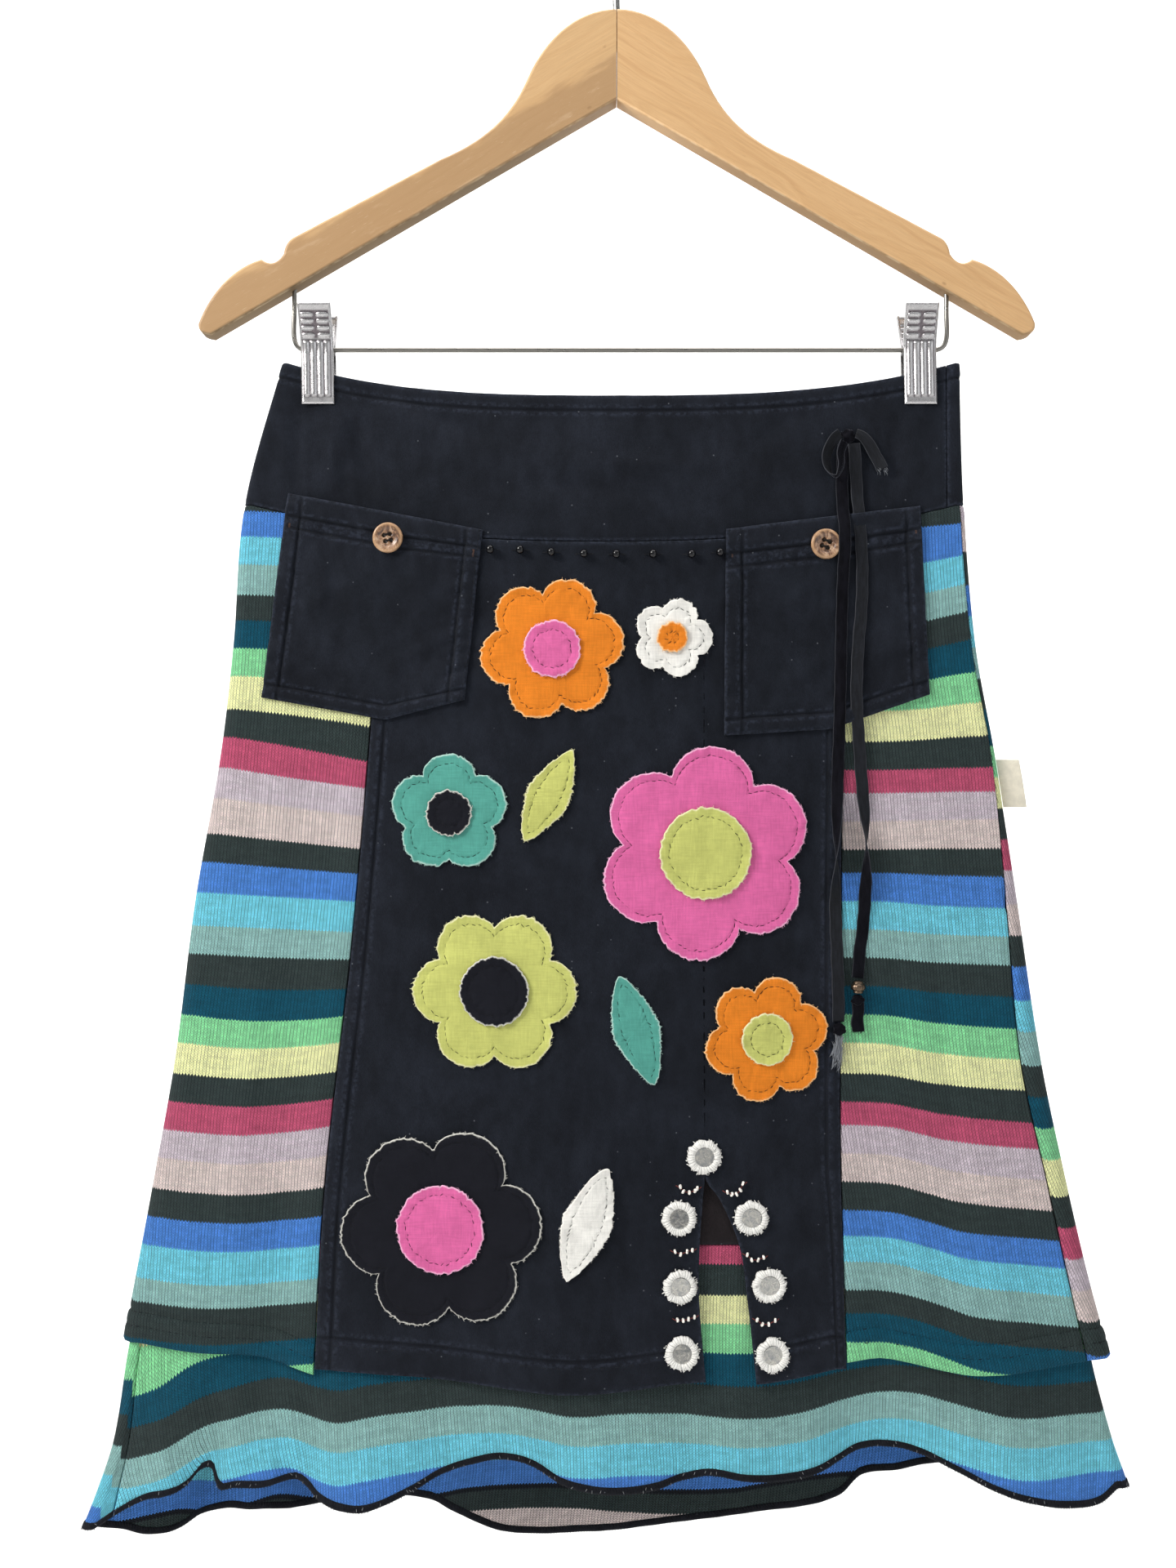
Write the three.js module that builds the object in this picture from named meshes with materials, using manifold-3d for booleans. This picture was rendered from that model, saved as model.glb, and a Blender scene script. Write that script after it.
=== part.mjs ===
// A midi skirt hanging from a wooden clip hanger, in millimetres.
// +X is the viewer's right, +Y points away from the viewer, +Z is up.
// The origin is the inside top of the hanger's hook, which carries everything else.
import * as THREE from 'three';
import { mergeVertices } from 'three/addons/utils/BufferGeometryUtils.js';
import Module from 'manifold-3d';

const wasm = await Module();
wasm.setup();

// ---------------------------------------------------------------- driving sizes

const GAP = 0.3; // between pieces that meet
const LIFT = 0.45; // under a piece that lies on a panel

const TWILL = 1.5; // wall of the yoke, apron and pockets
const KNIT = 2.0; // wall of the striped knit
const LINING = 1.0; // wall of the underskirt
const LAYER = 3.0; // from the skirt's outer face in to the underskirt's outer face
const SEAM = 0.5; // between knit pieces along a slanting seam

const WAIST_SIDE = -251; // height of the waist's upper corners
const WAIST_DIP = 17; // how far the waist edge hangs down at the middle
const YOKE_SIDE = -325.5; // height of the yoke's lower seam at the sides
const YOKE_DIP = 20.5; // how far that seam drops at the middle
const YOKE_SEAM_X = 175.5; // the yoke's right side seam, on the front
const LEFT_SEAM_TURN = -1.5; // the left side seams lie half way round the left fold

// The skirt's outer face, one row for each height: the outline's left and right edges, the right
// side seam, the radius of the side folds and how far each face bows out between them.
const SKIRT = [
  { z: -245, left: -177, right: 182.8, seam: 181, fold: 2.2, bow: 3.6 },
  { z: -325, left: -198.4, right: 185.3, seam: 182.5, fold: 4.5, bow: 7.5 },
  { z: -400, left: -204.5, right: 191.5, seam: 188.5, fold: 5.5, bow: 9.5 },
  { z: -460, left: -211.5, right: 202, seam: 199, fold: 6.5, bow: 11 },
  { z: -535, left: -224.6, right: 213.3, seam: 206, fold: 7.5, bow: 12 },
  { z: -620, left: -235.5, right: 226, seam: 213.5, fold: 8.3, bow: 13 },
  { z: -685, left: -247, right: 239.5, seam: 227.5, fold: 9, bow: 13.5 },
  { z: -740, left: -257.3, right: 252.4, seam: 239.5, fold: 9.5, bow: 14 },
  { z: -795, left: -268, right: 268, seam: 252, fold: 10, bow: 14.5 },
];

// The flounce's outer face, in the same terms; its own seam is the left one.
const FLOUNCE = [
  { z: -712, left: -248.5, right: 243, seam: -241, fold: 6.2, bow: 13.4 },
  { z: -775, left: -260.5, right: 252, seam: -253, fold: 7, bow: 13.6 },
  { z: -822, left: -268, right: 264, seam: -258.5, fold: 7, bow: 14.5 },
  { z: -850, left: -277, right: 273.5, seam: -264.5, fold: 7, bow: 15 },
  { z: -885, left: -291, right: 281, seam: -272, fold: 7, bow: 15.5 },
];

// Soft folds in the skirt. Each runs up from the hem at x = at, fades out at z = top, is reach
// wide to each side and stands out from its face by out at the hem.
const SKIRT_FOLDS = [
  { face: 'front', at: -232, reach: 30, out: 3.5, top: -420 },
  { face: 'front', at: -182, reach: 26, out: -3, top: -500 },
  { face: 'front', at: -98, reach: 34, out: -2.2, top: -520 },
  { face: 'front', at: -24, reach: 36, out: 3.6, top: -560 },
  { face: 'front', at: 42, reach: 26, out: -1.8, top: -600 },
  { face: 'front', at: 134, reach: 30, out: -3.6, top: -430 },
  { face: 'front', at: 208, reach: 34, out: 4.4, top: -480 },
  { face: 'back', at: -190, reach: 42, out: 4, top: -460 },
  { face: 'back', at: -105, reach: 38, out: -3.4, top: -520 },
  { face: 'back', at: -20, reach: 46, out: 4.6, top: -480 },
  { face: 'back', at: 78, reach: 40, out: -3, top: -540 },
  { face: 'back', at: 170, reach: 44, out: 4, top: -450 },
];
const SKIRT_HEM_Z = -790; // where those folds are deepest
const FOLD_LEAN = 0.22; // share by which they close in towards the yoke
const FOLD_GROWTH = 1.5; // how fast they deepen downwards

// The flounce's wavy hem: at each x its height and how far it stands out of its face.
const FLOUNCE_FRONT = [
  { at: -282, hem: -866, out: 0 },
  { at: -258, hem: -853, out: 4 },
  { at: -232, hem: -846, out: 5 },
  { at: -214, hem: -832, out: -5 },
  { at: -199, hem: -840, out: 4 },
  { at: -174, hem: -835, out: -2 },
  { at: -136, hem: -848, out: 8 },
  { at: -98, hem: -839, out: 2 },
  { at: -58, hem: -830, out: -7 },
  { at: -20, hem: -840, out: 3 },
  { at: 14, hem: -841, out: 5 },
  { at: 47, hem: -837, out: 0 },
  { at: 76, hem: -840, out: 3 },
  { at: 104, hem: -836, out: -1 },
  { at: 137, hem: -826, out: -8 },
  { at: 180, hem: -836, out: 0 },
  { at: 238, hem: -847, out: 7 },
  { at: 270, hem: -849, out: 0 },
];
const FLOUNCE_BACK = [
  { at: -282, hem: -871, out: 0 },
  { at: -246, hem: -881, out: 6 },
  { at: -205, hem: -864, out: -5 },
  { at: -176, hem: -869, out: 3 },
  { at: -118, hem: -860, out: -6 },
  { at: -66, hem: -880, out: 5 },
  { at: -36, hem: -883, out: 6 },
  { at: 32, hem: -874, out: 1 },
  { at: 92, hem: -868, out: 2 },
  { at: 134, hem: -847, out: -7 },
  { at: 190, hem: -842, out: 3 },
  { at: 240, hem: -846, out: 5 },
  { at: 270, hem: -850, out: 0 },
];
const FLOUNCE_TOP = -715; // the seam that carries the flounce
const FLOUNCE_WAVES_FROM = -772; // its waves begin under the skirt's hem
const FLOUNCE_WAVES_TO = -845;
const EDGE = { height: 4.5, wall: 3, proud: 0.5, gap: 0.6 }; // the overlocked edge of the flounce

// Lower edges of the knit and of the apron, height against x at the hem.
const KNIT_HEM = [
  { at: -266, z: -769 },
  { at: -237, z: -773 },
  { at: -196, z: -776 },
  { at: -160, z: -785 },
  { at: 121, z: -778 },
  { at: 148, z: -776 },
  { at: 198, z: -784.5 },
  { at: 266, z: -778 },
];
const BACK_HEM = [
  { at: -266, z: -769 },
  { at: -190, z: -784 },
  { at: -20, z: -788 },
  { at: 170, z: -785 },
  { at: 266, z: -778 },
];
const APRON_HEM = [
  { at: -160, z: -781.5 },
  { at: -100, z: -784.5 },
  { at: -24, z: -790 },
  { at: 44, z: -785.5 },
  { at: 76, z: -786.5 },
  { at: 121, z: -780.5 },
];

// The apron's side edges and its slit.
const APRON_SIDES = [
  { z: -325, left: -123, right: 119 },
  { z: -440, left: -130, right: 119 },
  { z: -560, left: -140, right: 118 },
  { z: -650, left: -150.5, right: 117.4 },
  { z: -705, left: -155.5, right: 118.4 },
  { z: -795, left: -160, right: 121 },
];
const SLIT = [
  { z: -325, left: 45.4, right: 46 },
  { z: -679, left: 45.4, right: 46 },
  { z: -714, left: 43, right: 63.5 },
  { z: -742, left: 42.6, right: 67.7 },
  { z: -795, left: 47, right: 73.3 },
];
const SLIT_TOP = -679;

// Patch pockets: the corners of the flap of cloth, tip being the lowest point of the bottom edge.
const POCKETS = {
  pocket_left: {
    topLeft: [-174.5, -319.5], topRight: [-70.6, -340],
    bottomLeft: [-188.2, -428], tip: [-122.2, -440], bottomRight: [-80, -429.6], tipShare: 5 / 8,
  },
  pocket_right: {
    topLeft: [57.2, -339.6], topRight: [160.9, -326.2],
    bottomLeft: [56, -448.5], tip: [112.5, -445], bottomRight: [165.6, -426.4], tipShare: 4 / 8,
  },
};
const BUTTON = { radius: 8, thick: 2.4, round: 0.5, hole: 1.1, holeRing: 2.3 };
const BUTTONS = { button_left: [-120.5, -344.2], button_right: [109.8, -347.4] };

// Faceted beads on the thread under the yoke's seam: x and z of each.
const BEAD = { radius: 2.25, thread: 0.8, tail: 3 };
const BEADS = [
  [-66.6, -350.6], [-50.8, -350.8], [-34.6, -352.2], [-17.4, -353],
  [-0.3, -353.2], [18.9, -353.2], [39, -353.2], [54, -352.2],
];

// Round mirrors with their thread rims, along the slit: x and z of each.
const MIRROR = { glass: 5, rim: 9.5, thick: 2.6, sunk: 1.1, round: 1.1 };
const MIRRORS = [
  [45.5, -668.6], [32.3, -700], [71.5, -700.4], [32.8, -735.3],
  [80, -734.9], [34, -770.2], [81.2, -771.9],
];

// Appliqué: flowers with a round centre, and leaves. size is the flower's width or the leaf's
// length, turn its rotation in degrees.
const PATCH = 1.0;
const FLOWERS = [
  { name: 'orange', x: -34, z: -403, size: 76, petals: 6, turn: 10, centre: 30, dye: 'orange', eye: 'pink' },
  { name: 'white', x: 29, z: -397, size: 42, petals: 5, turn: 0, centre: 16, dye: 'white', eye: 'orange' },
  { name: 'pink', x: 46, z: -510, size: 112, petals: 6, turn: 24, centre: 48, dye: 'pink', eye: 'lime' },
  { name: 'teal', x: -88, z: -489, size: 62, petals: 5, turn: 18, centre: 24, dye: 'teal', eye: 'black' },
  { name: 'lime', x: -64, z: -582, size: 86, petals: 6, turn: 0, centre: 36, dye: 'lime', eye: 'black' },
  { name: 'amber', x: 78, z: -607, size: 66, petals: 6, turn: 15, centre: 27, dye: 'orange', eye: 'lime' },
  { name: 'black', x: -92, z: -706, size: 106, petals: 6, turn: 6, centre: 46, dye: 'black', eye: 'pink' },
];
const LEAVES = [
  { name: 'lime', x: -36, z: -480, size: 54, width: 23, turn: 62, dye: 'lime' },
  { name: 'teal', x: 10, z: -602, size: 60, width: 25, turn: 108, dye: 'teal' },
  { name: 'white', x: -16, z: -702, size: 62, width: 26, turn: 70, dye: 'white' },
];
const PETAL_DEPTH = 0.24; // how far the outline dips between petals, of the radius
const LEAF_POINT = 1.35; // 1 is a diamond and 2 an oval

// The woven side label, standing out of the right side seam.
const TAG = { z: -473.5, reach: 12.5, height: 25.5, wall: 0.8 };

// Ribbon ties. Each route is a list of points; the section is wide across and thin out of the cloth.
const RIBBON = { width: 6.4, wall: 1.1, folded: 1.6 };
const TIE_KNOT = { at: [122.5, -7.5, -289.6], size: [3, 1.8, 3.2] };
const TAIL_LEFT = [
  [120, -6.8, -293.6], [119.4, -7.3, -306], [119, -8.4, -320], [119.4, -11.2, -332],
  [119.8, -13.5, -341], [119.6, -13.5, -352], [119, -12.2, -364], [118.4, -11.6, -384],
  [117.8, -12.2, -408], [117.2, -13.1, -432], [116.8, -13, -447], [116.2, -12.5, -464],
  [115.4, -12.7, -485], [114.8, -13.1, -508], [114.5, -13.5, -536], [115.4, -13.9, -562],
  [116.1, -14.1, -584], [116.2, -14.3, -598.6],
];
const TAIL_RIGHT = [
  [125.4, -8.2, -293.6], [126.2, -8, -306], [127, -7.7, -320], [127.8, -9.4, -332],
  [128.6, -10.2, -344], [129.3, -10.2, -358], [129, -10.6, -378], [127, -11.3, -402],
  [126, -12.1, -426], [126.4, -12.3, -438], [127.4, -11.7, -452], [129, -11.3, -474],
  [130.6, -11.7, -500], [130.7, -12.1, -522], [129.6, -12.5, -546], [127.4, -13, -564],
  [126.4, -14.4, -575.6],
];
const LOOP = [
  [118.2, -7.8, -288.6], [115, -8, -291], [111.6, -8.1, -297], [110.4, -8.3, -303.6],
  [112.2, -8.6, -309.8], [115.4, -9.4, -312], [118, -9.9, -306.2], [118, -10.2, -299],
  [119.8, -10.8, -293.4],
];
const SHORT_END = [
  [126.6, -6.9, -288.2], [130, -6.5, -289.8], [134, -6.3, -294.6], [137.6, -6.3, -301],
  [140.6, -6.5, -307.2],
];
const TIE_BEAD = { at: [126.2, -16.1, -580.2], radius: 3.6, end: 2.5, hole: 0.9, height: 6.6 };
// Each tail ends in a knot and the cut end of its ribbon, which starts under the knot's middle.
const TIE_ENDS = {
  tie_tassel: { at: [116.3, -15.6, -602.4], size: [3.4, 1.9, 3.4], length: 22, width: 7, under: 2 },
  tie_tab: { at: [126.2, -14.5, -587.2], size: [3.2, 1.9, 3.2], length: 15, width: 6.4, under: 2 },
};

// The hanger.
const WOOD = { thick: 12.5, round: 1.6, top: -62.5, middle: -112.5, tip: [215, -240.5] };
// The edge of one arm, from the top of the head out to the underside of its tip. by lists the
// points that bend each stretch, none for a straight one.
const ARM_EDGE = [
  { to: [47.5, -99.5], by: [[19, -62.5], [37, -75.5]] },
  { to: [94, -142.5], by: [[56, -119.5], [70, -132.5]] },
  { to: [172, -184], by: [] },
  { to: [176.8, -192.5], by: [[176, -186.5]] },
  { to: [188.5, -195.3], by: [[182, -200.5]] },
  { to: [222, -233.5], by: [[206, -200.5], [218, -219.5]] },
  { to: WOOD.tip, by: [[222.5, -239.5]] },
  { to: [0, WOOD.middle], by: [] },
];
const WIRE = { radius: 1.25, left: -172, right: 176, bar: -242.2, bend: 6, into: 9 };
const HOOK = {
  radius: 1.9, inner: 17, into: 20, bore: 2.25, swing: 16, lean: 2.5, from: -62, to: 200, step: 20,
};
const CLIP = {
  width: 18.5, sheet: 0.8, lip: -272.5, top: -221.5, splay: 13.5, flange: 2.4, flare: 0.4,
};
const CLIPS = { clip_left: -159.2, clip_right: 161 };
const SPRING = { inner: 1.6, outer: 3.4, length: 11 };

// ---------------------------------------------------------------- materials

function cloth(colour, roughness = 0.9) {
  return new THREE.MeshStandardMaterial({ color: colour, roughness, metalness: 0 });
}

function metal(colour, roughness) {
  return new THREE.MeshStandardMaterial({ color: colour, roughness, metalness: 1 });
}

const MATERIALS = {
  twill: cloth(0x1a1d26),
  knit: cloth(0x8fc0ba),
  lining: cloth(0x101116),
  edge: cloth(0x14151a),
  velvet: cloth(0x0b0b10, 0.8),
  label: cloth(0xf1ead9),
  thread: cloth(0xf2f0ea),
  horn: cloth(0x6b4a35, 0.4),
  glassBead: cloth(0x08080a, 0.15),
  wood: cloth(0xd9ac73, 0.5),
  steel: metal(0xc9c9c6, 0.25),
  darkMetal: metal(0x4a4038, 0.3),
};

// Colours of the appliqué cloth.
const DYES = {
  lime: 0xc9cf6e,
  pink: 0xe46bb2,
  orange: 0xee8a22,
  teal: 0x4ba397,
  white: 0xeceae4,
  black: 0x17181f,
};

// ---------------------------------------------------------------- small maths

const lerp = (a, b, t) => a + (b - a) * t;
const clamp = (value, low, high) => Math.min(high, Math.max(low, value));

// A smooth curve through a table's rows: the value of column key where column along equals x.
function smooth(rows, along, key, x) {
  const down = rows[0][along] > rows[rows.length - 1][along];
  const place = (row) => (down ? -row[along] : row[along]);
  const want = clamp(down ? -x : x, place(rows[0]), place(rows[rows.length - 1]));
  let i = 0;
  while (i < rows.length - 2 && place(rows[i + 1]) < want) {
    i += 1;
  }
  const before = rows[Math.max(i - 1, 0)];
  const after = rows[Math.min(i + 2, rows.length - 1)];
  const span = place(rows[i + 1]) - place(rows[i]);
  const t = (want - place(rows[i])) / span;
  const slope = (a, b) => (span * (b[key] - a[key])) / (place(b) - place(a));
  const start = slope(before, rows[i + 1]);
  const end = slope(rows[i], after);
  const a = rows[i][key];
  const b = rows[i + 1][key];
  const t2 = t * t;
  const t3 = t2 * t;
  const ends = a * (2 * t3 - 3 * t2 + 1) + b * (3 * t2 - 2 * t3);
  return ends + start * (t3 - 2 * t2 + t) + end * (t3 - t2);
}

// ---------------------------------------------------------------- the hanging cloth

// Each level of the skirt is a flat ring. A turn u goes round it: -1 to 1 across the front from
// left to right, 1 to 2 round the right fold, 2 to 4 across the back and 4 to 5 round the left one.
const wrap = (u) => u - 6 * Math.floor((u + 1) / 6);

// The place across the cloth, -1 at the left fold to 1 at the right one.
function across(turn) {
  const u = wrap(turn);
  if (u <= 1) {
    return u;
  }
  if (u < 2) {
    return 1;
  }
  return u <= 4 ? 3 - u : -1;
}

function skirtFolds(face, x, z) {
  const lean = 1 + (FOLD_LEAN * (SKIRT_HEM_Z - z)) / 500;
  let out = 0;
  for (const fold of SKIRT_FOLDS) {
    if (fold.face === face && z < fold.top) {
      const depth = ((fold.top - z) / (fold.top - SKIRT_HEM_Z)) ** FOLD_GROWTH;
      out += fold.out * Math.min(depth, 1) * Math.exp(-(((x - fold.at * lean) / fold.reach) ** 2));
    }
  }
  return out;
}

const NO_WAVES = () => 0;

function flounceWaves(face, s, z) {
  const t = clamp((FLOUNCE_WAVES_FROM - z) / (FLOUNCE_WAVES_FROM - FLOUNCE_WAVES_TO), 0, 1.2);
  const rows = face === 'front' ? FLOUNCE_FRONT : FLOUNCE_BACK;
  const middle = (rows[0].at + rows[rows.length - 1].at) / 2;
  const half = (rows[rows.length - 1].at - rows[0].at) / 2;
  return t ** 1.4 * smooth(rows, 'at', 'out', middle + s * half);
}

// The outer face of a layer of cloth: rows of sizes and the waves that only this layer has.
function layer(rows, waves) {
  const size = (z) => {
    const value = (key) => smooth(rows, 'z', key, z);
    const [left, right, fold] = [value('left'), value('right'), value('fold')];
    return { fold, bow: value('bow'), middle: (left + right) / 2, flat: (right - left) / 2 - fold };
  };
  const onRing = (turn, z) => {
    const u = wrap(turn);
    const s = across(u);
    const { fold, bow, middle, flat } = size(z);
    const x = middle + flat * s;
    if (u > 1 && u < 2) {
      return [x + fold * Math.sin(Math.PI * (u - 1)), -fold * Math.cos(Math.PI * (u - 1))];
    }
    if (u > 4) {
      return [x - fold * Math.sin(Math.PI * (u - 4)), fold * Math.cos(Math.PI * (u - 4))];
    }
    const face = u <= 1 ? 'front' : 'back';
    const free = 1 - s ** 8;
    const out = fold + bow * (1 - s * s) ** 2 + free * (skirtFolds(face, x, z) + waves(face, s, z));
    return [x, face === 'front' ? -out : out];
  };
  // The ring's outward normal at a turn, and how far it goes for one unit of turn.
  const heading = (turn, z) => {
    const step = 1e-3;
    const [ax, ay] = onRing(turn - step, z);
    const [bx, by] = onRing(turn + step, z);
    const length = Math.hypot(bx - ax, by - ay);
    return { nx: (by - ay) / length, ny: (ax - bx) / length, speed: length / (2 * step) };
  };
  const at = (turn, z, out = 0) => {
    const [x, y] = onRing(turn, z);
    const { nx, ny } = heading(turn, z);
    return [x + nx * out, y + ny * out, z];
  };
  // The turn of the front, or of the front half of a side fold, that lies at x.
  const turnAt = (x, z) => {
    const { fold, middle, flat } = size(z);
    const past = (Math.abs(x - middle) - flat) / fold;
    const u = past <= 0 ? Math.abs(x - middle) / flat : 1 + Math.asin(Math.min(past, 0.98)) / Math.PI;
    return x < middle ? -u : u;
  };
  const moved = (turn, z, distance) => turn + distance / heading(turn, z).speed;
  const onFront = (x, z, out = 0) => at(turnAt(x, z), z, out);
  return { at, heading, turnAt, moved, onFront };
}

const skirt = layer(SKIRT, NO_WAVES);
const flounce = layer(FLOUNCE, flounceWaves);

// Heights of edges, against the turn.
const waistLine = (u) => WAIST_SIDE - WAIST_DIP * (1 - Math.abs(across(u)) ** 2.7);
const yokeLine = (u) => YOKE_SIDE - YOKE_DIP * (1 - Math.abs(across(u)) ** 2.2);
const hemLine = (rows) => (u) => smooth(rows, 'at', 'z', across(u) * rows[rows.length - 1].at);
const knitHem = hemLine(KNIT_HEM);
const backHem = hemLine(BACK_HEM);

function apronHemAt(u) {
  return smooth(APRON_HEM, 'at', 'z', across(u) * KNIT_HEM[KNIT_HEM.length - 1].at);
}

function flounceHem(turn) {
  const u = wrap(turn);
  const end = (rows, s) => {
    const middle = (rows[0].at + rows[rows.length - 1].at) / 2;
    const half = (rows[rows.length - 1].at - rows[0].at) / 2;
    return smooth(rows, 'at', 'hem', middle + s * half);
  };
  if (u <= 1) {
    return end(FLOUNCE_FRONT, u);
  }
  if (u < 2) {
    return lerp(end(FLOUNCE_FRONT, 1), end(FLOUNCE_BACK, 1), u - 1);
  }
  if (u <= 4) {
    return end(FLOUNCE_BACK, 3 - u);
  }
  return lerp(end(FLOUNCE_BACK, -1), end(FLOUNCE_FRONT, -1), u - 4);
}

// ---------------------------------------------------------------- solids

function solid(points, triangles) {
  const geometry = new THREE.BufferGeometry();
  geometry.setAttribute('position', new THREE.Float32BufferAttribute(points.flat(), 3));
  geometry.setIndex(triangles.flat());
  return geometry;
}

// A wall of cloth over a grid of columns and rows. point(i, j, inside) gives its corners, and
// has(i, j) says whether the cell right of i and below j is there.
function wall(columns, rows, point, has = () => true) {
  const points = [];
  const triangles = [];
  const corners = new Map();
  const corner = (i, j, inside) => {
    const key = `${i},${j},${inside}`;
    if (!corners.has(key)) {
      corners.set(key, points.length);
      points.push(point(i, j, inside));
    }
    return corners.get(key);
  };
  const quad = (a, b, c, d) => triangles.push([a, b, c], [a, c, d]);
  const there = (i, j) => i >= 0 && j >= 0 && i < columns && j < rows && has(i, j);
  for (let i = 0; i < columns; i += 1) {
    for (let j = 0; j < rows; j += 1) {
      if (!there(i, j)) {
        continue;
      }
      const [a, b, c, d] = [[i, j], [i, j + 1], [i + 1, j + 1], [i + 1, j]];
      quad(...[a, b, c, d].map(([k, l]) => corner(k, l, false)));
      quad(...[b, a, d, c].map(([k, l]) => corner(k, l, true)));
      const sides = [[a, b, i - 1, j], [b, c, i, j + 1], [c, d, i + 1, j], [d, a, i, j - 1]];
      for (const [from, to, k, l] of sides) {
        if (!there(k, l)) {
          const [near, far] = [corner(...to, false), corner(...from, false)];
          quad(near, far, corner(...from, true), corner(...to, true));
        }
      }
    }
  }
  return solid(points, triangles);
}

// A panel of a layer between two turns and two heights. stops lists the turns reached and the
// columns used to get there; a turn may be a number or depend on the height.
function panel({ on, from, stops, top, bottom, rows, outside = 0, thickness, has }) {
  const turnOf = (value, z) => (typeof value === 'function' ? value(z) : value);
  const columns = stops.reduce((sum, stop) => sum + stop.columns, 0);
  const turn = (i, z) => {
    let done = 0;
    let start = turnOf(from, z);
    for (const stop of stops) {
      const end = turnOf(stop.to, z);
      if (i <= done + stop.columns) {
        return lerp(start, end, (i - done) / stop.columns);
      }
      done += stop.columns;
      start = end;
    }
    return start;
  };
  const point = (i, j, inside) => {
    let z = (top(0) + bottom(0)) / 2;
    let u = turn(i, z);
    for (let pass = 0; pass < 8; pass += 1) {
      z = lerp(top(u), bottom(u), j / rows);
      u = turn(i, z);
    }
    return on.at(u, z, inside ? outside - thickness : outside);
  };
  return wall(columns, rows, point, has && ((i, j) => has(i, j)));
}

// A round or lobed piece of cloth that lies on the skirt's front. reach(angle) is its radius.
function patch({ x, z, reach, spokes, rings, lift }) {
  const points = [];
  const triangles = [];
  const place = (ring, spoke, out) => {
    const angle = (2 * Math.PI * spoke) / spokes;
    const radius = (reach(angle) * ring) / rings;
    return skirt.onFront(x + radius * Math.cos(angle), z + radius * Math.sin(angle), out);
  };
  const side = 1 + rings * spokes;
  for (const out of [lift + PATCH, lift]) {
    points.push(skirt.onFront(x, z, out));
    for (let ring = 1; ring <= rings; ring += 1) {
      for (let spoke = 0; spoke < spokes; spoke += 1) {
        points.push(place(ring, spoke, out));
      }
    }
  }
  const id = (ring, spoke) => (ring === 0 ? 0 : 1 + (ring - 1) * spokes + (spoke % spokes));
  for (let spoke = 0; spoke < spokes; spoke += 1) {
    for (let ring = 0; ring < rings; ring += 1) {
      const [a, b] = [id(ring, spoke), id(ring, spoke + 1)];
      const [c, d] = [id(ring + 1, spoke + 1), id(ring + 1, spoke)];
      triangles.push([a, d, c], [side + a, side + c, side + d]);
      if (ring > 0) {
        triangles.push([a, c, b], [side + a, side + b, side + c]);
      }
    }
    const [a, b] = [id(rings, spoke), id(rings, spoke + 1)];
    triangles.push([a, side + a, side + b], [a, side + b, b]);
  }
  return solid(points, triangles);
}

function toManifold(geometry) {
  const bare = new THREE.BufferGeometry();
  bare.setAttribute('position', geometry.getAttribute('position'));
  bare.setIndex(geometry.getIndex());
  const merged = mergeVertices(bare, 1e-4);
  return new wasm.Manifold(new wasm.Mesh({
    numProp: 3,
    vertProperties: new Float32Array(merged.getAttribute('position').array),
    triVerts: new Uint32Array(merged.getIndex().array),
  }));
}

function fromManifold(body) {
  const { vertProperties, triVerts } = body.getMesh();
  const geometry = new THREE.BufferGeometry();
  geometry.setAttribute('position', new THREE.BufferAttribute(vertProperties, 3));
  geometry.setIndex(new THREE.BufferAttribute(triVerts, 1));
  return geometry;
}

function mesh(name, geometry, material) {
  const made = new THREE.Mesh(geometry, material);
  made.name = name;
  return made;
}

// A rod or ribbon along a route: width across and thick out of its route's plane.
function swept(route, width, thick, sides, steps) {
  const section = new THREE.Shape();
  for (let k = 0; k < sides; k += 1) {
    const angle = (2 * Math.PI * (k + 0.5)) / sides;
    const [a, b] = [(thick / 2) * Math.cos(angle), (width / 2) * Math.sin(angle)];
    if (k === 0) {
      section.moveTo(a, b);
    } else {
      section.lineTo(a, b);
    }
  }
  section.closePath();
  const points = route.map((p) => new THREE.Vector3(...p));
  const curve = new THREE.CatmullRomCurve3(points, false, 'centripetal');
  return new THREE.ExtrudeGeometry(section, { steps, extrudePath: curve, bevelEnabled: false });
}

function cylinderAt(x, y, from, to, radius) {
  const geometry = new THREE.CylinderGeometry(radius, radius, Math.abs(to - from), 12);
  geometry.rotateX(Math.PI / 2);
  geometry.translate(x, y, (from + to) / 2);
  return geometry;
}

// ---------------------------------------------------------------- yoke, apron and knit panels

const part = new THREE.Group();
const garment = new THREE.Group();
part.add(garment);

const halfGap = GAP / 2;
const yokeSeam = (side) => (z) => skirt.moved(skirt.turnAt(YOKE_SEAM_X, z), z, side * halfGap);
const rightSeam = (side) => (z) => (
  skirt.moved(skirt.turnAt(smooth(SKIRT, 'z', 'seam', z), z), z, (side * SEAM) / 2));
const leftSeam = (side) => (z) => skirt.moved(LEFT_SEAM_TURN, z, side * halfGap);
const apronSide = (key, side) => (z) => (
  skirt.moved(skirt.turnAt(smooth(APRON_SIDES, 'z', key, z), z), z, (side * SEAM) / 2));
const slitSide = (key) => (z) => skirt.turnAt(smooth(SLIT, 'z', key, z), z);
const below = (line, distance) => (u) => line(u) - distance;
const full = (turn) => (z) => turn(z) + 6;

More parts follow.
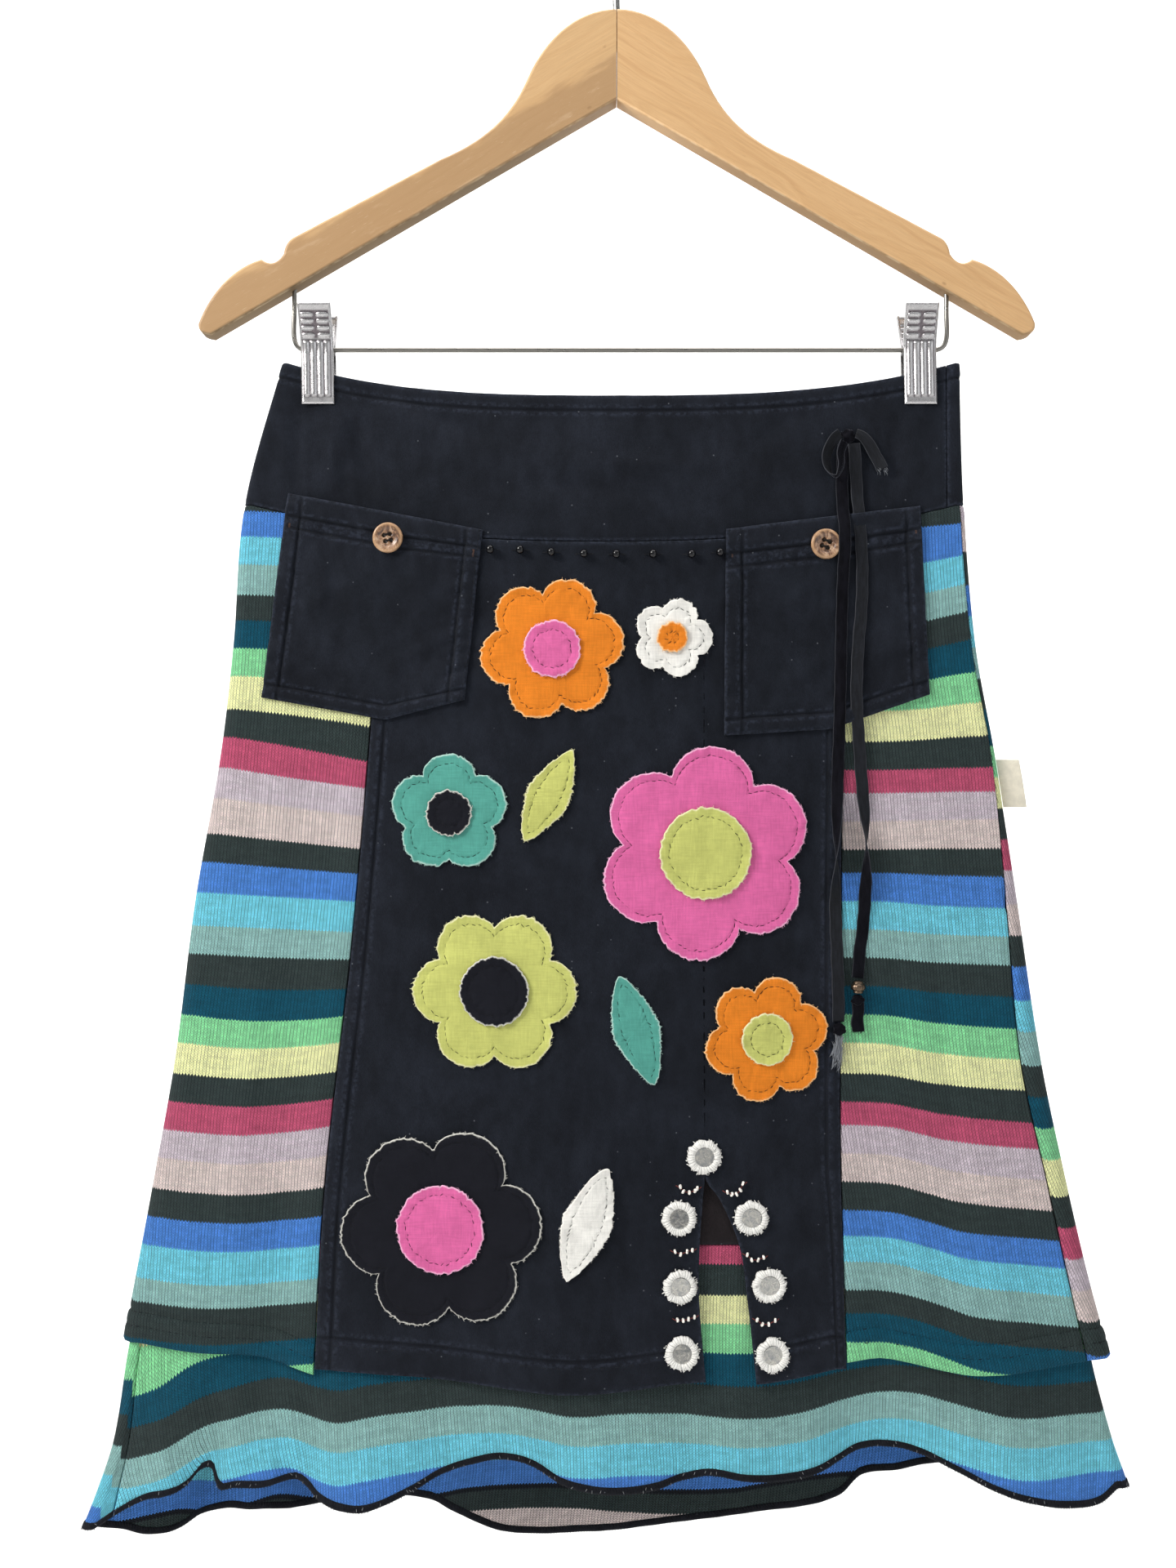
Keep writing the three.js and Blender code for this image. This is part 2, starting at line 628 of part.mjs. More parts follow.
function addPanels() {
  const yoke = { on: skirt, top: waistLine, bottom: yokeLine, rows: 3, thickness: TWILL };
  garment.add(mesh('yoke_front', panel({
    ...yoke,
    from: leftSeam(1),
    stops: [{ to: -1, columns: 2 }, { to: yokeSeam(-1), columns: 14 }],
  }), MATERIALS.twill));
  garment.add(mesh('yoke_back', panel({
    ...yoke,
    from: yokeSeam(1),
    stops: [{ to: 1, columns: 1 }, { to: 2, columns: 4 }, { to: 4, columns: 12 },
      { to: full(leftSeam(-1)), columns: 2 }],
  }), MATERIALS.twill));

  const knit = { on: skirt, top: below(yokeLine, GAP), rows: 10, thickness: KNIT };
  garment.add(mesh('side_front_left', panel({
    ...knit,
    bottom: knitHem,
    from: leftSeam(1),
    stops: [{ to: -1, columns: 2 }, { to: apronSide('left', -1), columns: 6 }],
  }), MATERIALS.knit));
  garment.add(mesh('side_front_right', panel({
    ...knit,
    bottom: knitHem,
    from: apronSide('right', 1),
    stops: [{ to: rightSeam(-1), columns: 7 }],
  }), MATERIALS.knit));
  garment.add(mesh('back_panel', panel({
    ...knit,
    bottom: backHem,
    from: rightSeam(1),
    stops: [{ to: 2, columns: 5 }, { to: 4, columns: 16 }, { to: full(leftSeam(-1)), columns: 2 }],
  }), MATERIALS.knit));

  // The slit's column is missing from slitRow down.
  const slitColumn = 7;
  const columnsPastSlit = 3;
  const slitRow = 8;
  const apronRows = 12;
  const height = (u, j) => {
    const [top, bottom] = [yokeLine(u) - GAP, apronHemAt(u)];
    return j <= slitRow
      ? lerp(top, SLIT_TOP, j / slitRow)
      : lerp(SLIT_TOP, bottom, (j - slitRow) / (apronRows - slitRow));
  };
  const [leftSide, rightSide] = [apronSide('left', 1), apronSide('right', -1)];
  const [leftOfSlit, rightOfSlit] = [slitSide('left'), slitSide('right')];
  const apronPoint = (i, j, inside) => {
    let z = (WAIST_SIDE + SKIRT_HEM_Z) / 2;
    let u = 0;
    for (let pass = 0; pass < 8; pass += 1) {
      if (i <= slitColumn) {
        u = lerp(leftSide(z), leftOfSlit(z), i / slitColumn);
      } else {
        u = lerp(rightOfSlit(z), rightSide(z), (i - slitColumn - 1) / columnsPastSlit);
      }
      z = height(u, j);
    }
    return skirt.at(u, z, inside ? -TWILL : 0);
  };
  const closed = (i, j) => i !== slitColumn || j < slitRow;
  const columns = slitColumn + 1 + columnsPastSlit;
  garment.add(mesh('apron', wall(columns, apronRows, apronPoint, closed), MATERIALS.twill));
}

// ---------------------------------------------------------------- underskirt and flounce

function addUnderskirt() {
  const lining = {
    on: skirt, top: below(yokeLine, GAP), bottom: () => FLOUNCE_TOP + GAP, rows: 8,
    outside: -LAYER, thickness: LINING,
  };
  const side = (turn, sign) => (z) => skirt.moved(turn, z, sign * GAP);
  garment.add(mesh('underskirt_front', panel({
    ...lining,
    from: side(-1.5, 1),
    stops: [{ to: -1, columns: 1 }, { to: 1, columns: 14 }, { to: side(1.5, -1), columns: 1 }],
  }), MATERIALS.lining));
  garment.add(mesh('underskirt_back', panel({
    ...lining,
    from: side(1.5, 1),
    stops: [{ to: 2, columns: 1 }, { to: 4, columns: 14 }, { to: side(4.5, -1), columns: 1 }],
  }), MATERIALS.lining));
}

function addFlounce() {
  const seam = (side) => (z) => flounce.moved(
    flounce.turnAt(smooth(FLOUNCE, 'z', 'seam', z), z), z, side * halfGap);
  const front = {
    on: flounce,
    from: seam(1),
    stops: [{ to: 1, columns: 36 }, { to: (z) => flounce.moved(1.5, z, -halfGap), columns: 2 }],
  };
  const back = {
    on: flounce,
    from: (z) => flounce.moved(1.5, z, halfGap),
    stops: [{ to: 2, columns: 2 }, { to: 4, columns: 32 }, { to: 5, columns: 3 },
      { to: (z) => seam(-1)(z) + 6, columns: 1 }],
  };
  const knit = {
    top: () => FLOUNCE_TOP, bottom: (u) => flounceHem(u) + EDGE.height + EDGE.gap,
    rows: 5, thickness: KNIT,
  };
  const edge = {
    top: (u) => flounceHem(u) + EDGE.height, bottom: flounceHem, rows: 1,
    outside: EDGE.proud, thickness: EDGE.wall,
  };
  garment.add(mesh('flounce_front', panel({ ...front, ...knit }), MATERIALS.knit));
  garment.add(mesh('flounce_back', panel({ ...back, ...knit }), MATERIALS.knit));
  garment.add(mesh('flounce_edge_front', panel({ ...front, ...edge }), MATERIALS.edge));
  garment.add(mesh('flounce_edge_back', panel({ ...back, ...edge }), MATERIALS.edge));
}

// ---------------------------------------------------------------- what lies on the panels

function addPockets() {
  const columns = 8;
  const rows = 6;
  const between = (a, b, t) => [lerp(a[0], b[0], t), lerp(a[1], b[1], t)];
  for (const [name, pocket] of Object.entries(POCKETS)) {
    const bottom = (a) => {
      const [from, to, t] = a <= pocket.tipShare
        ? [pocket.bottomLeft, pocket.tip, a / pocket.tipShare]
        : [pocket.tip, pocket.bottomRight, (a - pocket.tipShare) / (1 - pocket.tipShare)];
      return between(from, to, t);
    };
    const point = (i, j, inside) => {
      const a = i / columns;
      const high = between(pocket.topLeft, pocket.topRight, a);
      const [x, z] = between(high, bottom(a), j / rows);
      return skirt.onFront(x, z, inside ? LIFT : LIFT + TWILL);
    };
    garment.add(mesh(name, wall(columns, rows, point), MATERIALS.twill));
  }
}

// Places a mesh made round its own axis on the skirt's front, with that axis pointing out.
function seat(made, axis, x, z, out) {
  const { nx, ny } = skirt.heading(skirt.turnAt(x, z), z);
  made.position.set(...skirt.onFront(x, z, out));
  made.quaternion.setFromUnitVectors(axis, new THREE.Vector3(nx, ny, 0));
  return made;
}

function addButtons() {
  const { radius, thick, round } = BUTTON;
  const outline = new THREE.Shape().absarc(0, 0, radius - round, 0, 2 * Math.PI);
  for (const [sx, sy] of [[1, 1], [-1, 1], [-1, -1], [1, -1]]) {
    const offset = BUTTON.holeRing / Math.SQRT2;
    const hole = new THREE.Path().absarc(sx * offset, sy * offset, BUTTON.hole, 0, 2 * Math.PI, true);
    outline.holes.push(hole);
  }
  const turning = {
    depth: thick - 2 * round, curveSegments: 4,
    bevelThickness: round, bevelSize: round, bevelSegments: 1,
  };
  for (const [name, [x, z]] of Object.entries(BUTTONS)) {
    const made = mesh(name, new THREE.ExtrudeGeometry(outline, turning), MATERIALS.horn);
    garment.add(seat(made, new THREE.Vector3(0, 0, 1), x, z, LIFT + TWILL + GAP + round));
  }
}

function addBeads() {
  const centres = BEADS.map(([x, z]) => skirt.onFront(x, z, GAP + BEAD.radius));
  const [first, last] = [centres[0], centres[centres.length - 1]];
  const start = [first[0] - BEAD.tail, first[1], first[2]];
  const end = [last[0] + BEAD.tail, last[1], last[2]];
  let row = toManifold(swept([start, ...centres, end], BEAD.thread, BEAD.thread, 4, 12));
  for (const centre of centres) {
    const bead = new THREE.SphereGeometry(BEAD.radius, 7, 4);
    bead.translate(...centre);
    row = row.add(toManifold(bead));
  }
  garment.add(mesh('bead_row', fromManifold(row), MATERIALS.glassBead));
}

function addMirrors() {
  const { glass, rim, thick, sunk, round } = MIRROR;
  const profile = [
    [0, 0], [rim - round, 0], [rim, thick / 2], [rim - round, thick], [glass + round, thick],
    [glass, thick - sunk], [0, thick - sunk],
  ].map(([r, y]) => new THREE.Vector2(r, y));
  MIRRORS.forEach(([x, z], index) => {
    const made = mesh(`mirror_${index + 1}`, new THREE.LatheGeometry(profile, 14), MATERIALS.thread);
    garment.add(seat(made, new THREE.Vector3(0, 1, 0), x, z, LIFT));
  });
}

function addPatches() {
  const round = (radius) => () => radius;
  const flower = (radius, petals, turn) => (angle) => {
    const lobe = Math.abs(Math.cos((petals * (angle - turn)) / 2));
    return radius * (1 - PETAL_DEPTH * (1 - lobe ** 0.7));
  };
  const leaf = (length, width, turn) => (angle) => {
    const a = angle - turn;
    const along = (2 * Math.abs(Math.cos(a))) / length;
    const aside = (2 * Math.abs(Math.sin(a))) / width;
    return (along ** LEAF_POINT + aside ** LEAF_POINT) ** (-1 / LEAF_POINT);
  };
  const ringsFor = (size) => Math.max(1, Math.round(size / 40));
  for (const { name, x, z, size, petals, turn, centre, dye, eye } of FLOWERS) {
    const reach = flower(size / 2, petals, THREE.MathUtils.degToRad(turn));
    const whole = { x, z, reach, spokes: petals * 4, rings: ringsFor(size), lift: LIFT };
    const middle = {
      x, z, reach: round(centre / 2), spokes: 14, rings: ringsFor(centre), lift: 2 * LIFT + PATCH,
    };
    garment.add(mesh(`flower_${name}`, patch(whole), cloth(DYES[dye])));
    garment.add(mesh(`flower_${name}_centre`, patch(middle), cloth(DYES[eye])));
  }
  for (const { name, x, z, size, width, turn, dye } of LEAVES) {
    const reach = leaf(size, width, THREE.MathUtils.degToRad(turn));
    const whole = { x, z, reach, spokes: 16, rings: 2, lift: LIFT };
    garment.add(mesh(`leaf_${name}`, patch(whole), cloth(DYES[dye])));
  }
}

function addTag() {
  const top = TAG.z + TAG.height / 2;
  const edge = (z) => smooth(SKIRT, 'z', 'right', z) + GAP;
  const point = (i, j, inside) => {
    const z = top - j * TAG.height;
    return [edge(z) + i * TAG.reach, inside ? TAG.wall / 2 : -TAG.wall / 2, z];
  };
  garment.add(mesh('side_label', wall(1, 1, point), MATERIALS.label));
}

// ---------------------------------------------------------------- ribbon ties

function addTies() {
  const { width, wall: thick, folded } = RIBBON;
  const ball = (size, at) => {
    const geometry = new THREE.SphereGeometry(1, 10, 6);
    geometry.scale(...size);
    geometry.translate(...at);
    return geometry;
  };
  const ribbon = (name, geometry) => garment.add(mesh(name, geometry, MATERIALS.velvet));
  ribbon('tie_knot', ball(TIE_KNOT.size, TIE_KNOT.at));
  ribbon('tie_tail_left', swept(TAIL_LEFT, width, thick, 8, 24));
  ribbon('tie_tail_right', swept(TAIL_RIGHT, width, thick, 8, 24));
  ribbon('tie_loop', swept(LOOP, folded, folded, 8, 16));
  ribbon('tie_short_end', swept(SHORT_END, folded, folded, 8, 8));

  const { radius, end, hole, height, at } = TIE_BEAD;
  const barrel = [[hole, -height / 2], [end, -height / 2], [radius, 0], [end, height / 2],
    [hole, height / 2], [hole, -height / 2]].map(([r, y]) => new THREE.Vector2(r, y));
  const bead = mesh('tie_bead', new THREE.LatheGeometry(barrel, 12), MATERIALS.darkMetal);
  bead.position.set(...at);
  bead.rotation.x = Math.PI / 2;
  garment.add(bead);

  for (const [name, { at: knot, size, length, width: across, under }] of Object.entries(TIE_ENDS)) {
    const [x, y, z] = knot;
    const fall = new THREE.BoxGeometry(across, thick, length);
    fall.translate(x, y, z - under - length / 2);
    ribbon(name, fromManifold(toManifold(ball(size, knot)).add(toManifold(fall))));
  }
}

// ---------------------------------------------------------------- the hanger

// The whole wooden outline: one arm's edge and its mirror image.
function hangerOutline() {
  const arm = new THREE.Shape();
  arm.moveTo(0, WOOD.top);
  for (const { to, by } of ARM_EDGE) {
    if (by.length === 2) {
      arm.bezierCurveTo(...by.flat(), ...to);
    } else if (by.length === 1) {
      arm.quadraticCurveTo(...by.flat(), ...to);
    } else {
      arm.lineTo(...to);
    }
  }
  const right = arm.getPoints(6);
  const left = right.slice(1, -1).reverse().map((p) => new THREE.Vector2(-p.x, p.y));
  return new THREE.Shape([...right, ...left]);
}

// The height of the arms' straight underside.
function underside(x) {
  return lerp(WOOD.middle, WOOD.tip[1], Math.abs(x) / WOOD.tip[0]);
}

// One half of the bar's wire: down from the arm, round the bend and along the bar.
function wireRoute(x, inward) {
  const { bar, bend, into } = WIRE;
  const wood = underside(x);
  return [[x, 0, wood + into], [x, 0, wood - into], [x, 0, bar + bend],
    [x + inward * bend * 0.3, 0, bar + bend * 0.3], [x + inward * bend, 0, bar],
    [x + inward * bend * 1.6, 0, bar], [x + inward * bend * 5, 0, bar]];
}

function addHanger() {
  const hanger = new THREE.Group();
  part.add(hanger);

  const { thick, round } = WOOD;
  const geometry = new THREE.ExtrudeGeometry(hangerOutline(), {
    depth: thick - 2 * round,
    bevelThickness: round, bevelSize: round, bevelOffset: -round, bevelSegments: 2,
  });
  geometry.rotateX(Math.PI / 2);
  geometry.translate(0, thick / 2 - round, 0);
  let wood = toManifold(geometry);

  for (const x of [WIRE.left, WIRE.right]) {
    const face = underside(x);
    const bore = cylinderAt(x, 0, face - WIRE.into, face + WIRE.into + GAP, WIRE.radius + GAP);
    wood = wood.subtract(toManifold(bore));
  }
  const boreEnd = WOOD.top - HOOK.into - GAP;
  wood = wood.subtract(toManifold(cylinderAt(0, 0, WOOD.top + HOOK.into, boreEnd, HOOK.bore)));
  const room = 2 * WOOD.tip[0];
  for (const [name, side] of [['hanger_arm_left', -1], ['hanger_arm_right', 1]]) {
    const half = new THREE.BoxGeometry(room, room, room);
    half.translate(side * (room / 2 + halfGap), 0, WOOD.middle);
    hanger.add(mesh(name, fromManifold(wood.intersect(toManifold(half))), MATERIALS.wood));
  }

  // The hook: a shank from the wood, a lean to the right and three quarters of a circle.
  const bend = HOOK.inner + HOOK.radius;
  const centreZ = -HOOK.inner;
  const neck = centreZ - bend;
  const route = [[0, 0, WOOD.top - HOOK.into], [0, 0, WOOD.top], [0, 0, neck - HOOK.swing],
    [HOOK.lean, 0, neck - HOOK.swing / 2.5]];
  for (let angle = HOOK.from; angle <= HOOK.to; angle += HOOK.step) {
    const a = THREE.MathUtils.degToRad(angle);
    route.push([bend * Math.cos(a), 0, centreZ + bend * Math.sin(a)]);
  }
  hanger.add(mesh('hanger_hook', swept(route, 2 * HOOK.radius, 2 * HOOK.radius, 8, 34), MATERIALS.steel));

  const bar = [...wireRoute(WIRE.left, 1), ...wireRoute(WIRE.right, -1).reverse()];
  hanger.add(mesh('hanger_wire', swept(bar, 2 * WIRE.radius, 2 * WIRE.radius, 8, 64), MATERIALS.steel));

  for (const [name, x] of Object.entries(CLIPS)) {
    addClip(hanger, name, x);
  }
}

// A spring clip: two sheet jaws that splay above the bar, and the coil spring round the bar.
function addClip(hanger, name, x) {
  const { width, sheet, lip, top, splay, flange, flare } = CLIP;
  const corners = [x - width / 2, x + width / 2];
  const pinched = corners.flatMap((cx) => (
    [lip, WAIST_SIDE - 8].map((z) => -skirt.onFront(cx, z)[1])));
  const lipY = Math.max(...pinched) + GAP + sheet / 2;
  const pivotY = SPRING.outer + GAP + sheet / 2;
  const bend = [[pivotY, WIRE.bar - 1], [pivotY + 1, WIRE.bar + 5], [splay, top]];
  const line = [[lipY + flare, lip], [lipY, lip + 3], [lipY, lip + 10], ...bend];
  const outer = line.map(([y, z]) => new THREE.Vector2(y + sheet / 2, z));
  const inner = line.map(([y, z]) => new THREE.Vector2(y - sheet / 2, z)).reverse();
  const root = WIRE.radius + GAP;
  const cheek = [...bend, [splay - flange, top], [pivotY - 1, WIRE.bar + 6],
    [root, WIRE.bar + 3], [root, WIRE.bar - 3]].map(([y, z]) => new THREE.Vector2(y, z));
  const extruded = (points, depth, from) => {
    const geometry = new THREE.ExtrudeGeometry(
      new THREE.Shape(points), { depth, bevelEnabled: false });
    // The drawing's axes are depth from the bar and height; the extrusion runs along X.
    geometry.applyMatrix4(new THREE.Matrix4().makeBasis(
      new THREE.Vector3(0, 1, 0), new THREE.Vector3(0, 0, 1), new THREE.Vector3(1, 0, 0)));
    geometry.translate(from, 0, 0);
    return toManifold(geometry);
  };
  const jaw = extruded([...outer, ...inner], width, corners[0])
    .add(extruded(cheek, sheet, corners[0]))
    .add(extruded(cheek, sheet, corners[1] - sheet));
  hanger.add(mesh(`${name}_front`, fromManifold(jaw.mirror([0, 1, 0])), MATERIALS.steel));
  hanger.add(mesh(`${name}_back`, fromManifold(jaw), MATERIALS.steel));

  const { inner: bore, outer: coil, length } = SPRING;
  const ring = [[bore, 0], [coil, 0], [coil, length], [bore, length], [bore, 0]]
    .map(([r, y]) => new THREE.Vector2(r, y));
  const spring = mesh(`${name}_spring`, new THREE.LatheGeometry(ring, 14), MATERIALS.steel);
  spring.position.set(x + length / 2, 0, WIRE.bar);
  spring.rotation.z = Math.PI / 2;
  hanger.add(spring);
}

// ---------------------------------------------------------------- assembly

addPanels();
addUnderskirt();
addFlounce();
addPockets();
addButtons();
addBeads();
addMirrors();
addPatches();
addTag();
addTies();
addHanger();

export default part;
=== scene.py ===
"""A midi skirt hanging from its wooden clip hanger, one operator for each piece or group of like pieces."""
import math

import bmesh
import bpy
import numpy as np
from bpy.props import FloatProperty, FloatVectorProperty, PointerProperty
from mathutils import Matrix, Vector


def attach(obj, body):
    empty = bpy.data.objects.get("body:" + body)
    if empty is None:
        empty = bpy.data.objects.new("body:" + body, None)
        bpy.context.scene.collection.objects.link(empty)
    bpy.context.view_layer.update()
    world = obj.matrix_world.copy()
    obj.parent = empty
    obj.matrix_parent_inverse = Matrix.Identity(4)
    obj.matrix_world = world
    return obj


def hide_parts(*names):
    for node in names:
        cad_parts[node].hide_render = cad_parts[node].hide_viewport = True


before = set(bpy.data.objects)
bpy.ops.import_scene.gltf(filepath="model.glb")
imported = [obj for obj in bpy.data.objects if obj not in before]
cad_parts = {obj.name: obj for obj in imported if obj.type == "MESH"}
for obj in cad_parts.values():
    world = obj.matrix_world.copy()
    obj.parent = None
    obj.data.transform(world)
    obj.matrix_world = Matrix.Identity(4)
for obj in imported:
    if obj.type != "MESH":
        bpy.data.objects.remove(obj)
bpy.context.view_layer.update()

bl_info = {
    "name": "Midi skirt on a clip hanger",
    "version": (1, 0, 0),
    "blender": (4, 5, 0),
    "location": "View3D > Sidebar > Skirt",
    "description": "Builds a striped knit and twill skirt, its hanger and a plain stage",
    "category": "Object",
}

MM = 0.001  # every size below is in millimetres


def table(names, *rows):
    """A short table of sizes with named columns."""
    return dict(zip(names.split(), np.array(rows, float).T))


def named(names, *rows):
    """A table whose rows are used one at a time."""
    return [dict(zip(names.split(), row)) for row in rows]


# ------------------------------------------------------------------ driving sizes

LIFT = 0.45  # under a piece that lies on a panel
LINING = 1.0
LAYER = 3.0  # from the skirt's outer face in to the underskirt's
SEAM_GAP = 0.3
CLOSE_SEAM, WIDE_SEAM = 0.15, 0.25  # from a side seam to each panel's edge

WAIST_SIDE, WAIST_DIP = -249.4, 18.6
YOKE_SIDE, YOKE_DIP = -325.5, 20.5
YOKE_SEAM_X = 175.5

SKIRT = table(
    "z left right seam fold bow",
    (-245, -177, 182.8, 181, 2.2, 3.6),
    (-325, -198.4, 185.3, 182.5, 4.5, 7.5),
    (-400, -204.5, 191.5, 188.5, 5.5, 9.5),
    (-460, -211.5, 202, 199, 6.5, 11),
    (-535, -224.6, 213.3, 206, 7.5, 12),
    (-620, -235.5, 226, 213.5, 8.3, 13),
    (-685, -247, 239.5, 227.5, 9, 13.5),
    (-740, -257.3, 252.4, 239.5, 9.5, 14),
    (-795, -268, 268, 252, 10, 14.5),
)
FLOUNCE = table(
    "z left right seam fold bow",
    (-712, -248.5, 243, -241, 6.2, 13.4),
    (-775, -260.5, 252, -253, 7, 13.6),
    (-822, -268, 264, -258.5, 7, 14.5),
    (-850, -277, 273.5, -264.5, 7, 15),
    (-885, -291, 281, -272, 7, 15.5),
)
# Soft folds that run up from the hem: place, half width, height out of the face, and fading height.
FOLDS = {
    "front": named(
        "at reach out top",
        (-232, 30, 3.5, -420), (-182, 26, -3, -500), (-98, 34, -2.2, -520), (-24, 36, 3.6, -560),
        (42, 26, -1.8, -600), (134, 30, -3.6, -430), (208, 34, 4.4, -480),
    ),
    "back": named(
        "at reach out top",
        (-190, 42, 4, -460), (-105, 38, -3.4, -520), (-20, 46, 4.6, -480), (78, 40, -3, -540),
        (170, 44, 4, -450),
    ),
}
HEM_Z = -790
FOLD_LEAN, FOLD_GROWTH = 0.22, 1.5  # towards the middle going up, and from nothing going down
CREASE_GAIN, YOKE_GAIN = 1.75, 0.5  # of every crease, and how much more of the yoke's

# Listed creases: the two ends, half width, depth (negative is a trough) and sideways bend.
CREASES = {
    "front": named(
        "x z to_x to_z wide deep bend",
        # the yoke, under and between the clips
        (-167.5, -262, -170, -326, 3.6, -1.1, 2), (-152, -268, -153, -324, 6.5, 1.0, -2),
        (-145.7, -298, -142.5, -325, 1.6, -0.7, 0.6), (-140.4, -277, -126, -321, 3.8, -1.1, 3),
        (-128, -268, -88, -310, 6, 0.7, -5), (-118, -262, -60, -292, 4.5, -0.5, 4),
        (163, -264, 159, -322, 5.5, 0.8, 2), (149, -268, 143, -326, 4.2, -0.8, -2),
        (172, -262, 176, -330, 3.2, -0.6, 1), (108, -272, 70, -300, 6, -0.45, 4),
        (-50, -300, 70, -303, 5, 0.4, 3), (-70, -318, 40, -324, 4, -0.35, -4),
        # the apron
        (-60, -362, -78, -420, 5, -0.6, 3), (8, -352, 22, -440, 6, -0.55, -4),
        (48, -360, 40, -470, 5, 0.5, 3), (104, -452, 108, -600, 5, -0.8, 3),
        (-128, -448, -140, -560, 4, 0.7, -3), (92, -640, 98, -780, 7, -1.0, -4),
        (-128, -600, -142, -700, 5, -0.8, 4), (4, -640, 12, -760, 7, -0.9, 3),
        (-20, -540, 30, -560, 5, -0.4, 4), (-120, -640, -20, -655, 6, -0.4, 6),
        (-100, -520, -40, -538, 4, 0.35, -3), (60, -560, 112, -548, 5, 0.4, 4),
        (20, -452, 100, -440, 5, -0.4, 5), (-140, -765, -40, -758, 6, 0.5, 5),
        # the striped sides
        (-186, -330, -196, -440, 4, -0.6, 2), (-216, -600, -217, -726, 7, -1.7, 3),
        (-192, -560, -204, -700, 6, 0.9, -4), (-168, -470, -172, -600, 7, -0.7, 4),
        (-238, -640, -245, -775, 6, 0.9, 2), (-176, -650, -186, -780, 6, -1.0, -3),
        (181, -332, 183.5, -442, 4.6, -1.2, -2), (146, -440, 152, -560, 7, -0.6, 3),
        (172, -540, 184, -705, 7.5, -1.8, 4), (150, -600, 156, -770, 8, 0.9, -4),
        (198, -560, 214, -700, 6, 0.8, 3), (208, -700, 226, -785, 8, -1.2, 3),
        (124, -660, 170, -672, 5, -0.4, 4), (136, -720, 142, -785, 7, -0.8, 2),
    ),
    "back": named(
        "x z to_x to_z wide deep bend",
        (-150, -262, -148, -322, 5, -0.9, 2), (-166, -266, -170, -320, 4, 0.7, 1),
        (152, -264, 150, -322, 5, -0.8, -2), (166, -262, 170, -324, 4, 0.6, 2),
        (-60, -300, 60, -306, 6, 0.5, 4), (-110, -276, -40, -300, 5, -0.5, 4),
        (-170, -380, -186, -520, 7, -1.0, 4), (-128, -350, -150, -470, 7, 0.8, -4),
        (-60, -360, -70, -500, 8, -0.8, 5), (6, -340, -4, -470, 8, 0.8, -5),
        (70, -360, 84, -520, 7, -0.9, 4), (132, -350, 150, -480, 7, 0.7, 4),
        (176, -420, 190, -560, 6, -1.1, -3), (-206, -560, -222, -700, 7, 1.0, 3),
        (-150, -560, -160, -720, 8, -1.3, 4), (-70, -580, -76, -750, 8, 0.9, -5),
        (30, -560, 36, -730, 9, -1.2, 5), (110, -600, 120, -760, 8, -1.0, 4),
        (206, -620, 218, -760, 7, -1.1, 3), (-30, -520, 60, -534, 6, -0.5, 5),
        (-120, -660, -20, -672, 6, 0.4, -4),
    ),
}
FLOUNCE_CREASES = {
    "front": named(
        "x z to_x to_z wide deep bend",
        (-236, -790, -243, -862, 7, 1.0, 2), (-222, -792, -226, -850, 4, -1.4, 1),
        (-205, -780, -207, -846, 5, 1.2, 2), (-186, -786, -190, -846, 5, -1.0, 2),
        (-118, -778, -112, -850, 7, -1.0, 3), (-78, -776, -74, -846, 8, 0.7, 2),
        (-38, -778, -34, -848, 7, -0.9, 2), (32, -776, 34, -850, 8, -0.9, 2),
        (62, -778, 66, -846, 7, 0.8, 2), (92, -778, 90, -848, 6, -0.8, 2),
        (160, -776, 166, -846, 8, -1.0, 3), (206, -778, 214, -852, 8, 0.9, 3),
        (232, -780, 240, -858, 6, -1.0, 2),
    ),
    "back": named(
        "x z to_x to_z wide deep bend",
        (-226, -760, -236, -880, 8, -1.2, 3), (-150, -764, -152, -880, 8, 1.0, 3),
        (-90, -760, -92, -880, 9, -1.0, 3), (0, -760, 4, -880, 9, 0.9, 3),
        (66, -770, 70, -876, 8, -1.1, 3), (160, -760, 168, -866, 8, 1.0, 3),
        (216, -764, 228, -860, 8, -1.0, 3),
    ),
}

